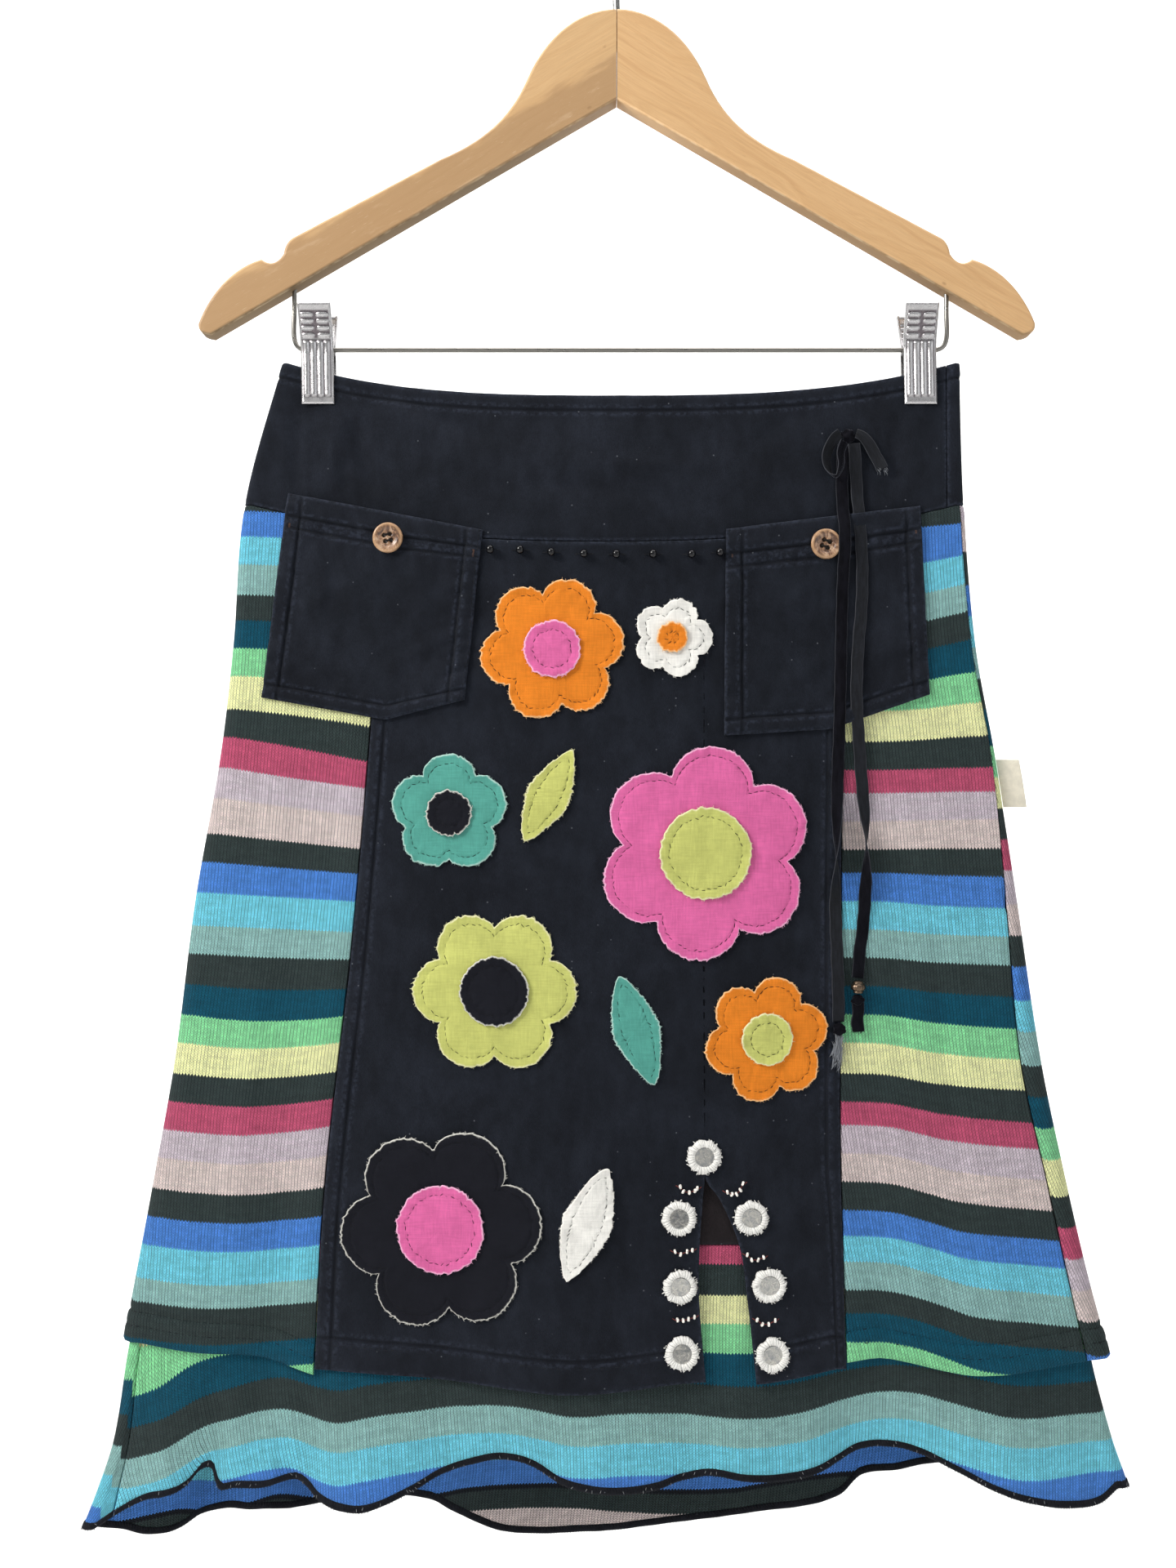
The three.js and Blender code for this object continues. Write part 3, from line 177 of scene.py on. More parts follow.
# The flounce's wavy hem: at each place its height and how far it stands out of its face.
FLOUNCE_HEM = {
    "front": table(
        "at hem out",
        (-282, -869, 0), (-270, -858, 3), (-260, -851.5, 4), (-250, -849, 4), (-243.5, -847, 2), (-239.2, -843.6, -1),
        (-235.6, -837.6, -4), (-229.6, -836.4, -5), (-225.8, -842, -3), (-221.5, -846.6, 0),
        (-214, -845.4, 2), (-198, -845, 3), (-182, -841.6, -2),
        (-174, -844, 0), (-166, -848.9, 4), (-154, -852, 7), (-138, -852, 8), (-119, -845.5, 4),
        (-99, -835.3, -2), (-77, -829, -6), (-62, -828, -7), (-50, -830.6, -5), (-35, -837.4, 0),
        (-9, -841, 5), (16, -840, 4), (32, -837, 1), (47.4, -835.2, 0), (66, -837.6, 2), (88, -837.6, 2),
        (107, -835, 0), (120, -830.6, -4), (133, -826.3, -8), (152, -825.8, -8), (168, -829.5, -4),
        (183, -836, 0), (201, -844.7, 4), (220, -850.5, 7), (243, -854.7, 7), (258, -854.3, 3),
        (270, -847, 0),
    ),
    "back": table(
        "at hem out",
        (-282, -873, 0), (-268, -875, 3), (-256, -879, 5), (-244, -879, 5), (-236, -875, 2), (-228, -866.5, -3),
        (-216, -863, -5), (-205, -866, -2), (-193, -868.7, 3), (-181, -867.5, 1), (-173, -864.2, -2),
        (-140, -856, -6), (-108, -859, -4), (-93, -869.5, 1), (-79, -878.5, 4), (-62, -886.5, 6), (-42, -889, 6),
        (-19, -887.5, 4), (-2, -885, 2), (22, -880, 1), (48, -875, 1), (80, -869.6, 2), (103, -864.8, -1),
        (120, -857, -5), (132, -845.7, -8), (152, -844.5, -5), (190, -842, 3), (240, -846, 5), (270, -849, 0),
    ),
}
FLOUNCE_TOP = -715
WAVES_FROM, WAVES_TO = -772, -845
EDGE_HEIGHT, EDGE_WALL = 4.5, 3.0  # the overlocked strip round the flounce

KNIT_HEM = table(
    "at z", (-266, -769), (-237, -773), (-196, -776), (-160, -785), (121, -778), (148, -776),
    (198, -784.5), (266, -778))
HEM_REACH = 266  # half the width over which the hems' tables run
BACK_HEM = table("at z", (-266, -769), (-190, -784), (-20, -788), (170, -785), (266, -778))
APRON_HEM = table(
    "at z", (-160, -781.5), (-100, -784.5), (-24, -790), (44, -785.5), (76, -786.5), (121, -780.5))
APRON_SIDES = table(
    "z left right",
    (-325, -123, 119), (-440, -130, 119), (-560, -140, 118), (-650, -150.5, 117.4),
    (-705, -155.5, 118.4), (-795, -160, 121))
SLIT_TOP = -679
SLIT = table(
    "z left right",
    (-325, 45.7, 45.7), (-679, 45.6, 45.8), (-690, 44.6, 53.2), (-714, 43, 63.5),
    (-742, 42.6, 67.7), (-795, 47, 73.3))

# ------------------------------------------------------------------ small maths


def lerp(a, b, t):
    return a + (b - a) * t


def smooth(rows, along, key, x):
    """The value of column key of a smooth curve through the rows, where column along is x."""
    place, value = rows[along], rows[key]
    x = np.asarray(x, float)
    if place[0] > place[-1]:
        place, x = -place, -x
    x = np.clip(x, place[0], place[-1])
    i = np.clip(np.searchsorted(place, x) - 1, 0, len(place) - 2)
    before, after = np.maximum(i - 1, 0), np.minimum(i + 2, len(place) - 1)
    span = place[i + 1] - place[i]
    start = span * (value[i + 1] - value[before]) / (place[i + 1] - place[before])
    end = span * (value[after] - value[i]) / (place[after] - place[i])
    t = (x - place[i]) / span
    ends = value[i] * (2 * t**3 - 3 * t**2 + 1) + value[i + 1] * (3 * t**2 - 2 * t**3)
    return ends + start * (t**3 - 2 * t**2 + t) + end * (t**3 - t**2)


def wander(x, z, scale, seed=0.0):
    """Smooth uneven values from about -1 to 1, with bumps about scale across."""
    total = 0.0
    for k in range(7):
        angle = 2.4 * k + 0.7 * seed
        pitch = 2 * math.pi / (scale * (0.7 + 0.23 * ((k * 3) % 5)))
        total = total + np.sin(
            (x * math.cos(angle) + z * math.sin(angle)) * pitch + 1.9 * k * k + 3.1 * seed)
    return total / 3.2


def creased(rows, x, z):
    """How far the listed creases move the cloth out."""
    total = np.zeros(np.broadcast(x, z).shape)
    for c in rows:
        dx, dz = c["to_x"] - c["x"], c["to_z"] - c["z"]
        length = math.hypot(dx, dz)
        along = np.clip(((x - c["x"]) * dx + (z - c["z"]) * dz) / length**2, 0, 1)
        aside = ((x - c["x"]) * dz - (z - c["z"]) * dx) / length - c["bend"] * 4 * along * (1 - along)
        fade = np.sin(math.pi * along) ** 0.8
        total += c["deep"] * fade * np.exp(-((aside / c["wide"]) ** 2))
    return total


# ------------------------------------------------------------------ the hanging cloth
# Each level of the skirt is a flat ring. A turn goes round it: -1 to 1 across the front from left
# to right, 1 to 2 round the right fold, 2 to 4 across the back and 4 to 5 round the left one.


def wrap(turn):
    return turn - 6 * np.floor((turn + 1) / 6)


def across(turn):
    u = wrap(turn)
    return np.where(u <= 1, u, np.where(u < 2, 1, np.where(u <= 4, 3 - u, -1)))


def soft_folds(face, x, z):
    """How far the folds that run up from the hem move the cloth out."""
    lean = 1 + FOLD_LEAN * (HEM_Z - z) / 500
    out = 0.0
    for fold in FOLDS[face]:
        depth = np.clip((fold["top"] - z) / (fold["top"] - HEM_Z), 0, 1) ** FOLD_GROWTH
        out = out + fold["out"] * depth * np.exp(-(((x - fold["at"] * lean) / fold["reach"]) ** 2))
    return out


def along_hem(face, column, s):
    """A column of the flounce's hem, at a share across its face from -1 to 1."""
    rows = FLOUNCE_HEM[face]
    first, last = rows["at"][0], rows["at"][-1]
    return smooth(rows, "at", column, (first + last) / 2 + s * ((last - first) / 2))


def hem_waves(face, s, z):
    """How far the waves move the flounce out: nothing at its top, all at its hem."""
    t = np.clip((WAVES_FROM - z) / (WAVES_FROM - WAVES_TO), 0, 1.2) ** 1.4
    return t * along_hem(face, "out", s)


def skirt_shape(face, s, x, z):
    rumple = 0.22 * wander(x, z, 26) + 0.1 * wander(x, z, 9, 2)
    gain = CREASE_GAIN * (1 + YOKE_GAIN * np.clip((z + 345) / 15, 0, 1))
    return soft_folds(face, x, z) + gain * creased(CREASES[face], x, z) + rumple


def flounce_shape(face, s, x, z):
    rumple = 0.25 * wander(x, z, 22, 1) + 0.1 * wander(x, z, 8, 3)
    waves = soft_folds(face, x, z) + hem_waves(face, s, z)
    return waves + creased(FLOUNCE_CREASES[face], x, z) + rumple


class Layer:
    """The outer face of a layer of cloth: rows of sizes, and the shape of its folds."""

    def __init__(self, rows, shape):
        self.rows, self.shape = rows, shape

    def size(self, z):
        left, right, fold, bow = (smooth(self.rows, "z", k, z) for k in ("left", "right", "fold", "bow"))
        return fold, bow, (left + right) / 2, (right - left) / 2 - fold

    def ring(self, turn, z):
        u = wrap(turn)
        s = across(u)
        fold, bow, middle, flat = self.size(z)
        x = middle + flat * s
        free = 1 - s**8
        front = self.shape("front", s, x, z)
        back = self.shape("back", s, x, z)
        out = fold + bow * (1 - s * s) ** 2 + free * np.where(u <= 1, front, back)
        y = np.where(u <= 1, -out, out)
        right, left = (u > 1) & (u < 2), u > 4
        angle = math.pi * np.where(right, u - 1, np.where(left, u - 4, 0))
        x = x + fold * np.where(right, np.sin(angle), 0) - fold * np.where(left, np.sin(angle), 0)
        y = np.where(right, -fold * np.cos(angle), np.where(left, fold * np.cos(angle), y))
        return x, y

    def heading(self, turn, z):
        """The ring's outward normal at a turn, and how far it goes for one unit of turn."""
        step = 1e-3
        ax, ay = self.ring(turn - step, z)
        bx, by = self.ring(turn + step, z)
        length = np.hypot(bx - ax, by - ay)
        return (by - ay) / length, (ax - bx) / length, length / (2 * step)

    def at(self, turn, z, out=0.0):
        x, y = self.ring(turn, z)
        nx, ny, _ = self.heading(turn, z)
        return np.stack(np.broadcast_arrays(x + nx * out, y + ny * out, z), axis=-1)

    def turn_at(self, x, z):
        """The turn of the front, or of the front half of a side fold, that lies at x."""
        fold, _, middle, flat = self.size(z)
        past = (np.abs(x - middle) - flat) / fold
        beyond = 1 + np.arcsin(np.clip(past, 0, 0.98)) / math.pi
        u = np.where(past <= 0, np.abs(x - middle) / flat, beyond)
        return np.where(x < middle, -u, u)

    def moved(self, turn, z, distance):
        return turn + distance / self.heading(turn, z)[2]

    def on_front(self, x, z, out=0.0):
        return self.at(self.turn_at(x, z), z, out)


skirt = Layer(SKIRT, skirt_shape)
flounce = Layer(FLOUNCE, flounce_shape)


def waist_line(u):
    return WAIST_SIDE - WAIST_DIP * (1 - np.abs(across(u)) ** 2.7)


def yoke_line(u):
    return YOKE_SIDE - YOKE_DIP * (1 - np.abs(across(u)) ** 2.2)


def hem_line(rows):
    return lambda u: smooth(rows, "at", "z", across(u) * HEM_REACH)


def flounce_hem(turn):
    u = wrap(turn)
    s = across(u)
    front, back = along_hem("front", "hem", s), along_hem("back", "hem", s)
    right = lerp(along_hem("front", "hem", 1.0), along_hem("back", "hem", 1.0), u - 1)
    left = lerp(along_hem("back", "hem", -1.0), along_hem("front", "hem", -1.0), u - 4)
    return np.where(u <= 1, front, np.where(u < 2, right, np.where(u <= 4, back, left)))


def edge(turn_of):
    """A side edge of a panel, worked out once at many heights."""
    z = np.linspace(-900, -240, 400)
    turns = turn_of(z)
    return lambda at: np.interp(at, z, turns)


def both_edges(on, turn_of, gap):
    """The panel edges on either side of a seam: -1 ends a panel at it and 1 starts one."""
    return {s: edge(lambda z, s=s: on.moved(turn_of(z), z, s * gap)) for s in (-1, 1)}


def placed(on, rows, column):
    """The turn of a line whose x a table gives."""
    return lambda z: on.turn_at(smooth(rows, "z", column, z), z)


def fixed(turn):
    return lambda z: np.full(np.shape(z), float(turn))


def past_back(turn_of):
    return lambda z: turn_of(z) + 6


yoke_seam = both_edges(skirt, lambda z: skirt.turn_at(YOKE_SEAM_X, z), CLOSE_SEAM)
right_seam = both_edges(skirt, placed(skirt, SKIRT, "seam"), WIDE_SEAM)
left_seam = both_edges(skirt, fixed(-1.5), CLOSE_SEAM)
apron_side = {k: both_edges(skirt, placed(skirt, APRON_SIDES, k), WIDE_SEAM) for k in ("left", "right")}
slit_side = {k: edge(placed(skirt, SLIT, k)) for k in ("left", "right")}
flounce_seam = both_edges(flounce, placed(flounce, FLOUNCE, "seam"), CLOSE_SEAM)
flounce_side = both_edges(flounce, fixed(1.5), CLOSE_SEAM)

# ------------------------------------------------------------------ meshes


def piece(name, points, faces, materials, uv=None, index=None, values=None):
    """A mesh object. uv is one row for each face corner, or one for each point."""
    mesh = bpy.data.meshes.new(name)
    mesh.from_pydata((np.asarray(points, float) * MM).tolist(), [], [list(map(int, f)) for f in faces])
    for material in materials:
        mesh.materials.append(material)
    if uv is not None:
        uv = np.asarray(uv, np.float32)
        if len(uv) == len(mesh.vertices) and len(uv) != len(mesh.loops):
            corner = np.empty(len(mesh.loops), np.int32)
            mesh.loops.foreach_get("vertex_index", corner)
            uv = uv[corner]
        mesh.uv_layers.new(name="cut").data.foreach_set("uv", (uv * MM).ravel())
    for key, value in (values or {}).items():
        layer = mesh.attributes.new(key, "FLOAT", "POINT")
        layer.data.foreach_set("value", np.asarray(value, np.float32))
    if index is not None:
        mesh.polygons.foreach_set("material_index", np.asarray(index, np.int32))
    mesh.polygons.foreach_set("use_smooth", np.ones(len(mesh.polygons), bool))
    mesh.update()
    made = bpy.data.objects.new(name, mesh)
    bpy.context.collection.objects.link(made)
    return made


def grid_faces(rows, columns, closed=False):
    """Faces of a grid of points, rows by columns, closed round its columns or not."""
    i, j = np.meshgrid(np.arange(rows - 1), np.arange(columns if closed else columns - 1), indexing="ij")
    k = (j + 1) % columns
    return np.stack([i * columns + j, i * columns + k, (i + 1) * columns + k, (i + 1) * columns + j],
                    axis=-1).reshape(-1, 4)


ROUNDED = (0, 0.06, 0.3, 1)  # places across a rounded edge, as shares of its radius
SUNK_BY = (-2.2, -1.2, -0.5, 0, 0.5, 1.2, 2.2)  # places across a stitching line
CLOSEST = 0.055


def stops(length, step, lines, rounding):
    """Places across a length: even ones, close ones at both ends, and a few round each line."""
    ends = [share * rounding for share in ROUNDED]
    places = ends + [length - e for e in ends]
    for line in lines:
        places += [line + d for d in SUNK_BY]
    fine = sorted({round(p, 4) for p in places if 0 <= p <= length})
    result = [fine[0]]
    for place in fine[1:]:
        if place - result[-1] < CLOSEST and place != length:
            continue
        count = max(1, int(round((place - result[-1]) / step)))
        result += [lerp(result[-1], place, (k + 1) / count) for k in range(count)]
    return np.array(result) / length


DITCH_WIDE, PUCKER_WIDE, SEAM_WIDE = 1.1, 7, 2.4  # half widths of what a stitching line does


class Cloth:
    """A closed wall of cloth. place(s, t, out) gives its points, s across and t down, both 0 to 1.

    ditches are stitching lines: the edge they follow, their distance from it and their depth.
    swell(left, right, top, bottom) is how much thicker the cloth is, from the distance to each edge.
    """

    def __init__(self, place, width, height, thick, step, ditches=(), swell=None, pucker=0.12):
        self.place, self.width, self.height, self.thick, self.step = place, width, height, thick, step
        self.ditches, self.swell, self.pucker = ditches, swell, pucker

    def sides(self, s, t):
        return {"left": s * self.width, "right": (1 - s) * self.width,
                "top": t * self.height, "bottom": (1 - t) * self.height}

    def relief(self, s, t):
        """How far the stitching pulls the cloth in, with small puckers along it."""
        side = self.sides(s, t)
        total = np.zeros(np.broadcast(s, t).shape)
        for where, distance, depth in self.ditches:
            off = side[where] - distance
            run = side["top"] if where in ("left", "right") else side["left"]
            waver = wander(run, off * 0.4, 9, distance)
            sunk, pulled = np.exp(-((off / DITCH_WIDE) ** 2)), np.exp(-((off / PUCKER_WIDE) ** 2))
            total += -depth * sunk + self.pucker * waver * pulled
        return total

    def face(self, s, t, out=0.0):
        side = self.sides(s, t)
        swell = self.swell(**side) if self.swell else 0.0
        return self.place(s, t, self.relief(s, t) + swell + out)

    def build(self, name, materials, uv, inner=0, slit=None):
        """The closed mesh. inner is the number of the inside's material. slit gives the shares across
        between which the cloth is open, the share down where that starts, and near(points), the
        distance from the opening."""
        from_left = {"left": lambda d: d, "right": lambda d: self.width - d}
        from_top = {"top": lambda d: d, "bottom": lambda d: self.height - d}
        half = self.thick / 2
        s, t = (stops(full, self.step, [to[w](d) for w, d, _ in self.ditches if w in to], half)
                for full, to in ((self.width, from_left), (self.height, from_top)))
        if slit:
            first, last, down, near = slit
            beside = [half * k / self.width for k in (*ROUNDED, 2)]
            s = np.unique(np.concatenate([s[(s < first - beside[1]) | (s > last + beside[1])],
                                          [first - b for b in beside], [last + b for b in beside]]))
            t = np.unique(np.concatenate([t, [down]]))
            column, row = int(np.searchsorted(s, first)), int(np.searchsorted(t, down))
        s, t = np.meshgrid(s, t)
        side = self.sides(s, t)
        nearest = np.minimum.reduce(list(side.values()))
        if slit:
            nearest = np.minimum(nearest, near(self.place(s, t, 0.0)))
        relief = self.relief(s, t)
        swell = self.swell(**side) if self.swell else 0.0
        rows, columns = s.shape
        border = np.zeros((rows, columns), bool)
        border[[0, -1], :] = border[:, [0, -1]] = True
        faces = grid_faces(rows, columns)
        if slit:
            border[row:, column:column + 2] = True
            nearest[row:, column:column + 2] = 0
            faces = faces[~((faces[:, 0] % columns == column) & (faces[:, 0] // columns >= row))]
        bulge = half * np.sqrt(np.clip(1 - (1 - np.clip(nearest / half, 0, 1)) ** 2, 0, 1))
        outer = self.place(s, t, relief + np.where(border, 0, swell) - half + bulge).reshape(-1, 3)
        inside = self.place(s, t, relief - half - bulge).reshape(-1, 3)
        number = np.arange(rows * columns)
        free = ~border.ravel()
        under = number.copy()
        under[free] = rows * columns + np.arange(free.sum())
        outward = faces[:, ::-1]
        sheet = np.stack(uv(s, t, self.place(s, t, 0.0)), axis=-1).reshape(-1, 2)
        seam = np.zeros(s.shape)
        for where, distance, _ in self.ditches:
            if distance > 2:
                seam = np.maximum(seam, np.exp(-(((side[where] - distance) / SEAM_WIDE) ** 2)))
        extra = {"rim": np.concatenate([nearest.ravel(), nearest.ravel()[free]]),
                 "seam": np.concatenate([seam.ravel(), seam.ravel()[free]])}
        return piece(
            name, np.concatenate([outer, inside[free]]), np.concatenate([outward, under[faces]]),
            materials, np.concatenate([sheet[outward.ravel()], sheet[faces.ravel()]]),
            np.repeat([0, inner], len(faces)), values=extra)

    def row(self, where, distance, pitch, start=0.0, end=1.0):
        """Places along a stitching line: points, headings along it, and outward normals."""
        down = where in ("left", "right")
        run, full = (self.height, self.width) if down else (self.width, self.height)
        count = max(2, int(run * (end - start) / pitch))
        along = lerp(start, end, (np.arange(count) + 0.5) / count)
        aside = distance / full
        aside = np.full(count, 1 - aside if where in ("right", "bottom") else aside)
        return self.frames(*((aside, along) if down else (along, aside)), down)

    def frames(self, s, t, down, out=0.0):
        """Points of the face, headings down or across it, and outward normals."""
        step = 1e-3
        p = self.face(s, t, out)
        ds = self.face(s + step, t, out) - self.face(s - step, t, out)
        dt = self.face(s, t + step, out) - self.face(s, t - step, out)
        normal = unit(np.cross(dt, ds))
        return p, unit(dt if down else ds), normal


def unit(v):
    return v / np.maximum(np.linalg.norm(v, axis=-1, keepdims=True), 1e-9)


def panel(on, edges, top, bottom, thick, step, shift=0.0, **more):
    """A wall of cloth on a layer, between side edges that may depend on the height."""
    z = np.array([(float(top(0)) + float(bottom(0))) / 2])
    turns = [float(e(z)[0]) for e in edges]
    lengths = []
    for a, b in zip(turns, turns[1:]):
        u = np.linspace(a, b, 80)
        x, y = on.ring(u, np.full(80, z[0]))
        lengths.append(float(np.hypot(np.diff(x), np.diff(y)).sum()))
    width, height = sum(lengths), float(np.abs(top(0) - bottom(0)))
    shares = np.concatenate([[0], np.cumsum(lengths)]) / width

    def where(s, t):
        s, t = np.broadcast_arrays(np.asarray(s, float), np.asarray(t, float))
        at = np.full(s.shape, z[0])
        for _ in range(7):
            values = [e(at) for e in edges]
            u = values[0] + np.minimum(s, 0) * (values[1] - values[0]) / shares[1]
            for k in range(len(edges) - 1):
                share = np.clip((s - shares[k]) / (shares[k + 1] - shares[k]), 0, 1)
                u = u + share * (values[k + 1] - values[k])
            at = lerp(top(u), bottom(u), t)
        return u, at

    def place(s, t, out):
        u, at = where(s, t)
        return on.at(u, at, out + shift)

    cloth = Cloth(place, width, height, thick, step, **more)
    cloth.where, cloth.shares = where, shares
    return cloth


SECTION = [(-1, 0.05), (-0.6, 0.9), (0.6, 0.9), (1, 0.05)]  # along a stitch, and its girth


def strands(points, heading, normal, length, wide, high, sink=0.5, sides=4):
    """Short rounded threads, one at each point, that dip into the cloth at both ends."""
    count = len(points)
    length, wide, high = (np.broadcast_to(np.asarray(v, float), (count,)) for v in (length, wide, high))
    aside = unit(np.cross(heading, normal))
    rings = []
    for along, girth in SECTION:
        for k in range(sides):
            angle = 2 * math.pi * k / sides
            rings.append(
                points + heading * (along * length / 2)[:, None]
                + aside * (math.cos(angle) * girth * wide / 2)[:, None]
                + normal * ((math.sin(angle) * girth / 2 - sink * along**2) * high)[:, None])
    per = len(rings)
    body = np.stack(rings, axis=1).reshape(-1, 3)
    faces = grid_faces(len(SECTION), sides, closed=True)
    caps = [list(range(sides))[::-1], [per - sides + k for k in range(sides)]]
    offsets = (np.arange(count) * per)[:, None]
    quads = (faces[None] + offsets[:, :, None]).reshape(-1, 4).tolist()
    closed = [[c + o for c in cap] for o in offsets[:, 0].tolist() for cap in caps]
    return body, quads + closed


def join(parts):
    """Points and faces of several parts as one."""
    points, faces, total = [], [], 0
    for p, f in parts:
        points.append(np.asarray(p, float))
        faces += [[c + total for c in face] for face in (f.tolist() if hasattr(f, "tolist") else f)]
        total += len(p)
    return np.concatenate(points), faces


def curve(points, count):
    """Evenly spaced points on a smooth curve through the given ones."""
    p = np.asarray(points, float)
    p = np.vstack([2 * p[0] - p[1], p, 2 * p[-1] - p[-2]])
    knots = np.concatenate([[0], np.cumsum(np.linalg.norm(np.diff(p, axis=0), axis=1) ** 0.5)])
    result = []
    for i in range(1, len(p) - 2):
        k = knots[i - 1:i + 3]
        t = np.linspace(k[1], k[2], 24, endpoint=i == len(p) - 3)[:, None]
        a1 = (k[1] - t) / (k[1] - k[0]) * p[i - 1] + (t - k[0]) / (k[1] - k[0]) * p[i]
        a2 = (k[2] - t) / (k[2] - k[1]) * p[i] + (t - k[1]) / (k[2] - k[1]) * p[i + 1]
        a3 = (k[3] - t) / (k[3] - k[2]) * p[i + 1] + (t - k[2]) / (k[3] - k[2]) * p[i + 2]
        b1 = (k[2] - t) / (k[2] - k[0]) * a1 + (t - k[0]) / (k[2] - k[0]) * a2
        b2 = (k[3] - t) / (k[3] - k[1]) * a2 + (t - k[1]) / (k[3] - k[1]) * a3
        result.append((k[2] - t) / (k[2] - k[1]) * b1 + (t - k[1]) / (k[2] - k[1]) * b2)
    fine = np.concatenate(result)
    run = np.concatenate([[0], np.cumsum(np.linalg.norm(np.diff(fine, axis=0), axis=1))])
    even = np.linspace(0, run[-1], count)
    return np.stack([np.interp(even, run, fine[:, k]) for k in range(3)], axis=-1)


def run_of(line):
    """The length of a line of points."""
    return float(np.linalg.norm(np.diff(line, axis=0), axis=1).sum())


def round_angles(count):
    return np.linspace(0, 2 * math.pi, count, endpoint=False)


def end_caps(total, sides):
    """The two faces that close a grid of rings, each of so many sides."""
    return [list(range(sides))[::-1], list(range(total - sides, total))]


def wire(points, radius, count, sides):
    """A round rod along a route. radius is a number, or gives one at 0 to 1 along."""
    p = curve(points, count)
    way = unit(np.gradient(p, axis=0))
    side = np.zeros_like(p)
    side[0] = unit(np.cross(way[0], [0.31, 0.9, 0.13]))
    for i in range(1, len(p)):
        side[i] = unit(side[i - 1] - way[i] * np.dot(side[i - 1], way[i]))
    side = unit(side - way * np.sum(side * way, axis=1, keepdims=True))
    out = np.cross(side, way)
    ring = np.stack([np.cos(round_angles(sides)), np.sin(round_angles(sides))], axis=-1)
    rings = []
    for i, t in enumerate(np.linspace(0, 1, count)):
        outline = ring * (radius(t) if callable(radius) else radius)
        rings.append(p[i] + outline[:, :1] * side[i] + outline[:, 1:] * out[i])
    return np.concatenate(rings), grid_faces(count, sides, closed=True).tolist() + end_caps(count * sides, sides)

# ------------------------------------------------------------------ colours and materials


def dyed(code):
    """A colour written as a hex code, as the linear values that a shader takes."""
    values = [int(code[k:k + 2], 16) / 255 for k in (1, 3, 5)]
    return tuple(v / 12.92 if v < 0.04045 else ((v + 0.055) / 1.055) ** 2.4 for v in values)


def colour(label, code, what):
    return FloatVectorProperty(name=label, description=what, default=dyed(code), size=3, min=0, max=1,
                               subtype="COLOR")


def length(label, millimetres, what):
    return FloatProperty(name=label, description=what, default=millimetres * MM, min=0, unit="LENGTH",
                         precision=5)


class SkirtSizes(bpy.types.PropertyGroup):
    """Thicknesses and stitches of the cloth."""
    twill_wall: length("Twill", 1.5, "Wall of the yoke, apron and pockets")
    knit_wall: length("Knit", 2.0, "Wall of the striped knit")
    wale: length("Wale", 1.75, "Width of one column of knit stitches")
    course: length("Course", 1.35, "Height of one row of knit stitches")
    stitch: length("Stitch", 2.5, "Length of a topstitch")
    ribbon: length("Ribbon", 6.4, "Width of the ribbon ties")
    patch_wall: length("Patch", 1.0, "Thickness of the cut-out flowers and leaves")


class SkirtColours(bpy.types.PropertyGroup):
    """Colours of the yarns and cloths."""
    twill: colour("Twill", "#171a21", "Washed black twill")
    charcoal: colour("Charcoal", "#2f3a3a", "Dark stripe")
    blue: colour("Blue", "#4a80ce", "Blue stripe")
    turquoise: colour("Turquoise", "#70c9dd", "Turquoise stripe")
    aqua: colour("Aqua", "#8cb6b3", "Grey-green stripe")
    teal: colour("Teal", "#0a4b60", "Dark teal stripe")
    green: colour("Green", "#86d49a", "Green stripe")
    yellow: colour("Yellow", "#e8eaaf", "Pale yellow stripe")
    raspberry: colour("Raspberry", "#bb5271", "Raspberry stripe")
    lilac: colour("Lilac", "#c7bac4", "Lilac stripe")
    pale: colour("Pale pink", "#d5c5c2", "Pale pink stripe")
    lime_cloth: colour("Lime cloth", "#c3c670", "Lime patches")
    pink_cloth: colour("Pink cloth", "#d9679f", "Pink patches")
    orange_cloth: colour("Orange cloth", "#e08026", "Orange patches")
    teal_cloth: colour("Teal cloth", "#549d90", "Teal patches")
    white_cloth: colour("White cloth", "#e9e7e1", "White patches")
    black_cloth: colour("Black cloth", "#17181f", "Black patches")
    wood: colour("Wood", "#cda374", "Beech of the hanger")


class StageSizes(bpy.types.PropertyGroup):
    """Where the camera stands."""
    distance: length("Distance", 850, "Camera's distance in front of the hanger")
    aside: length("Aside", 15.3, "Camera's distance to the left of the hook")
    drop: length("Drop", 473.8, "Camera's depth below the hook")
    seen: length("Seen", 837.12, "Height seen at the hanger's distance")


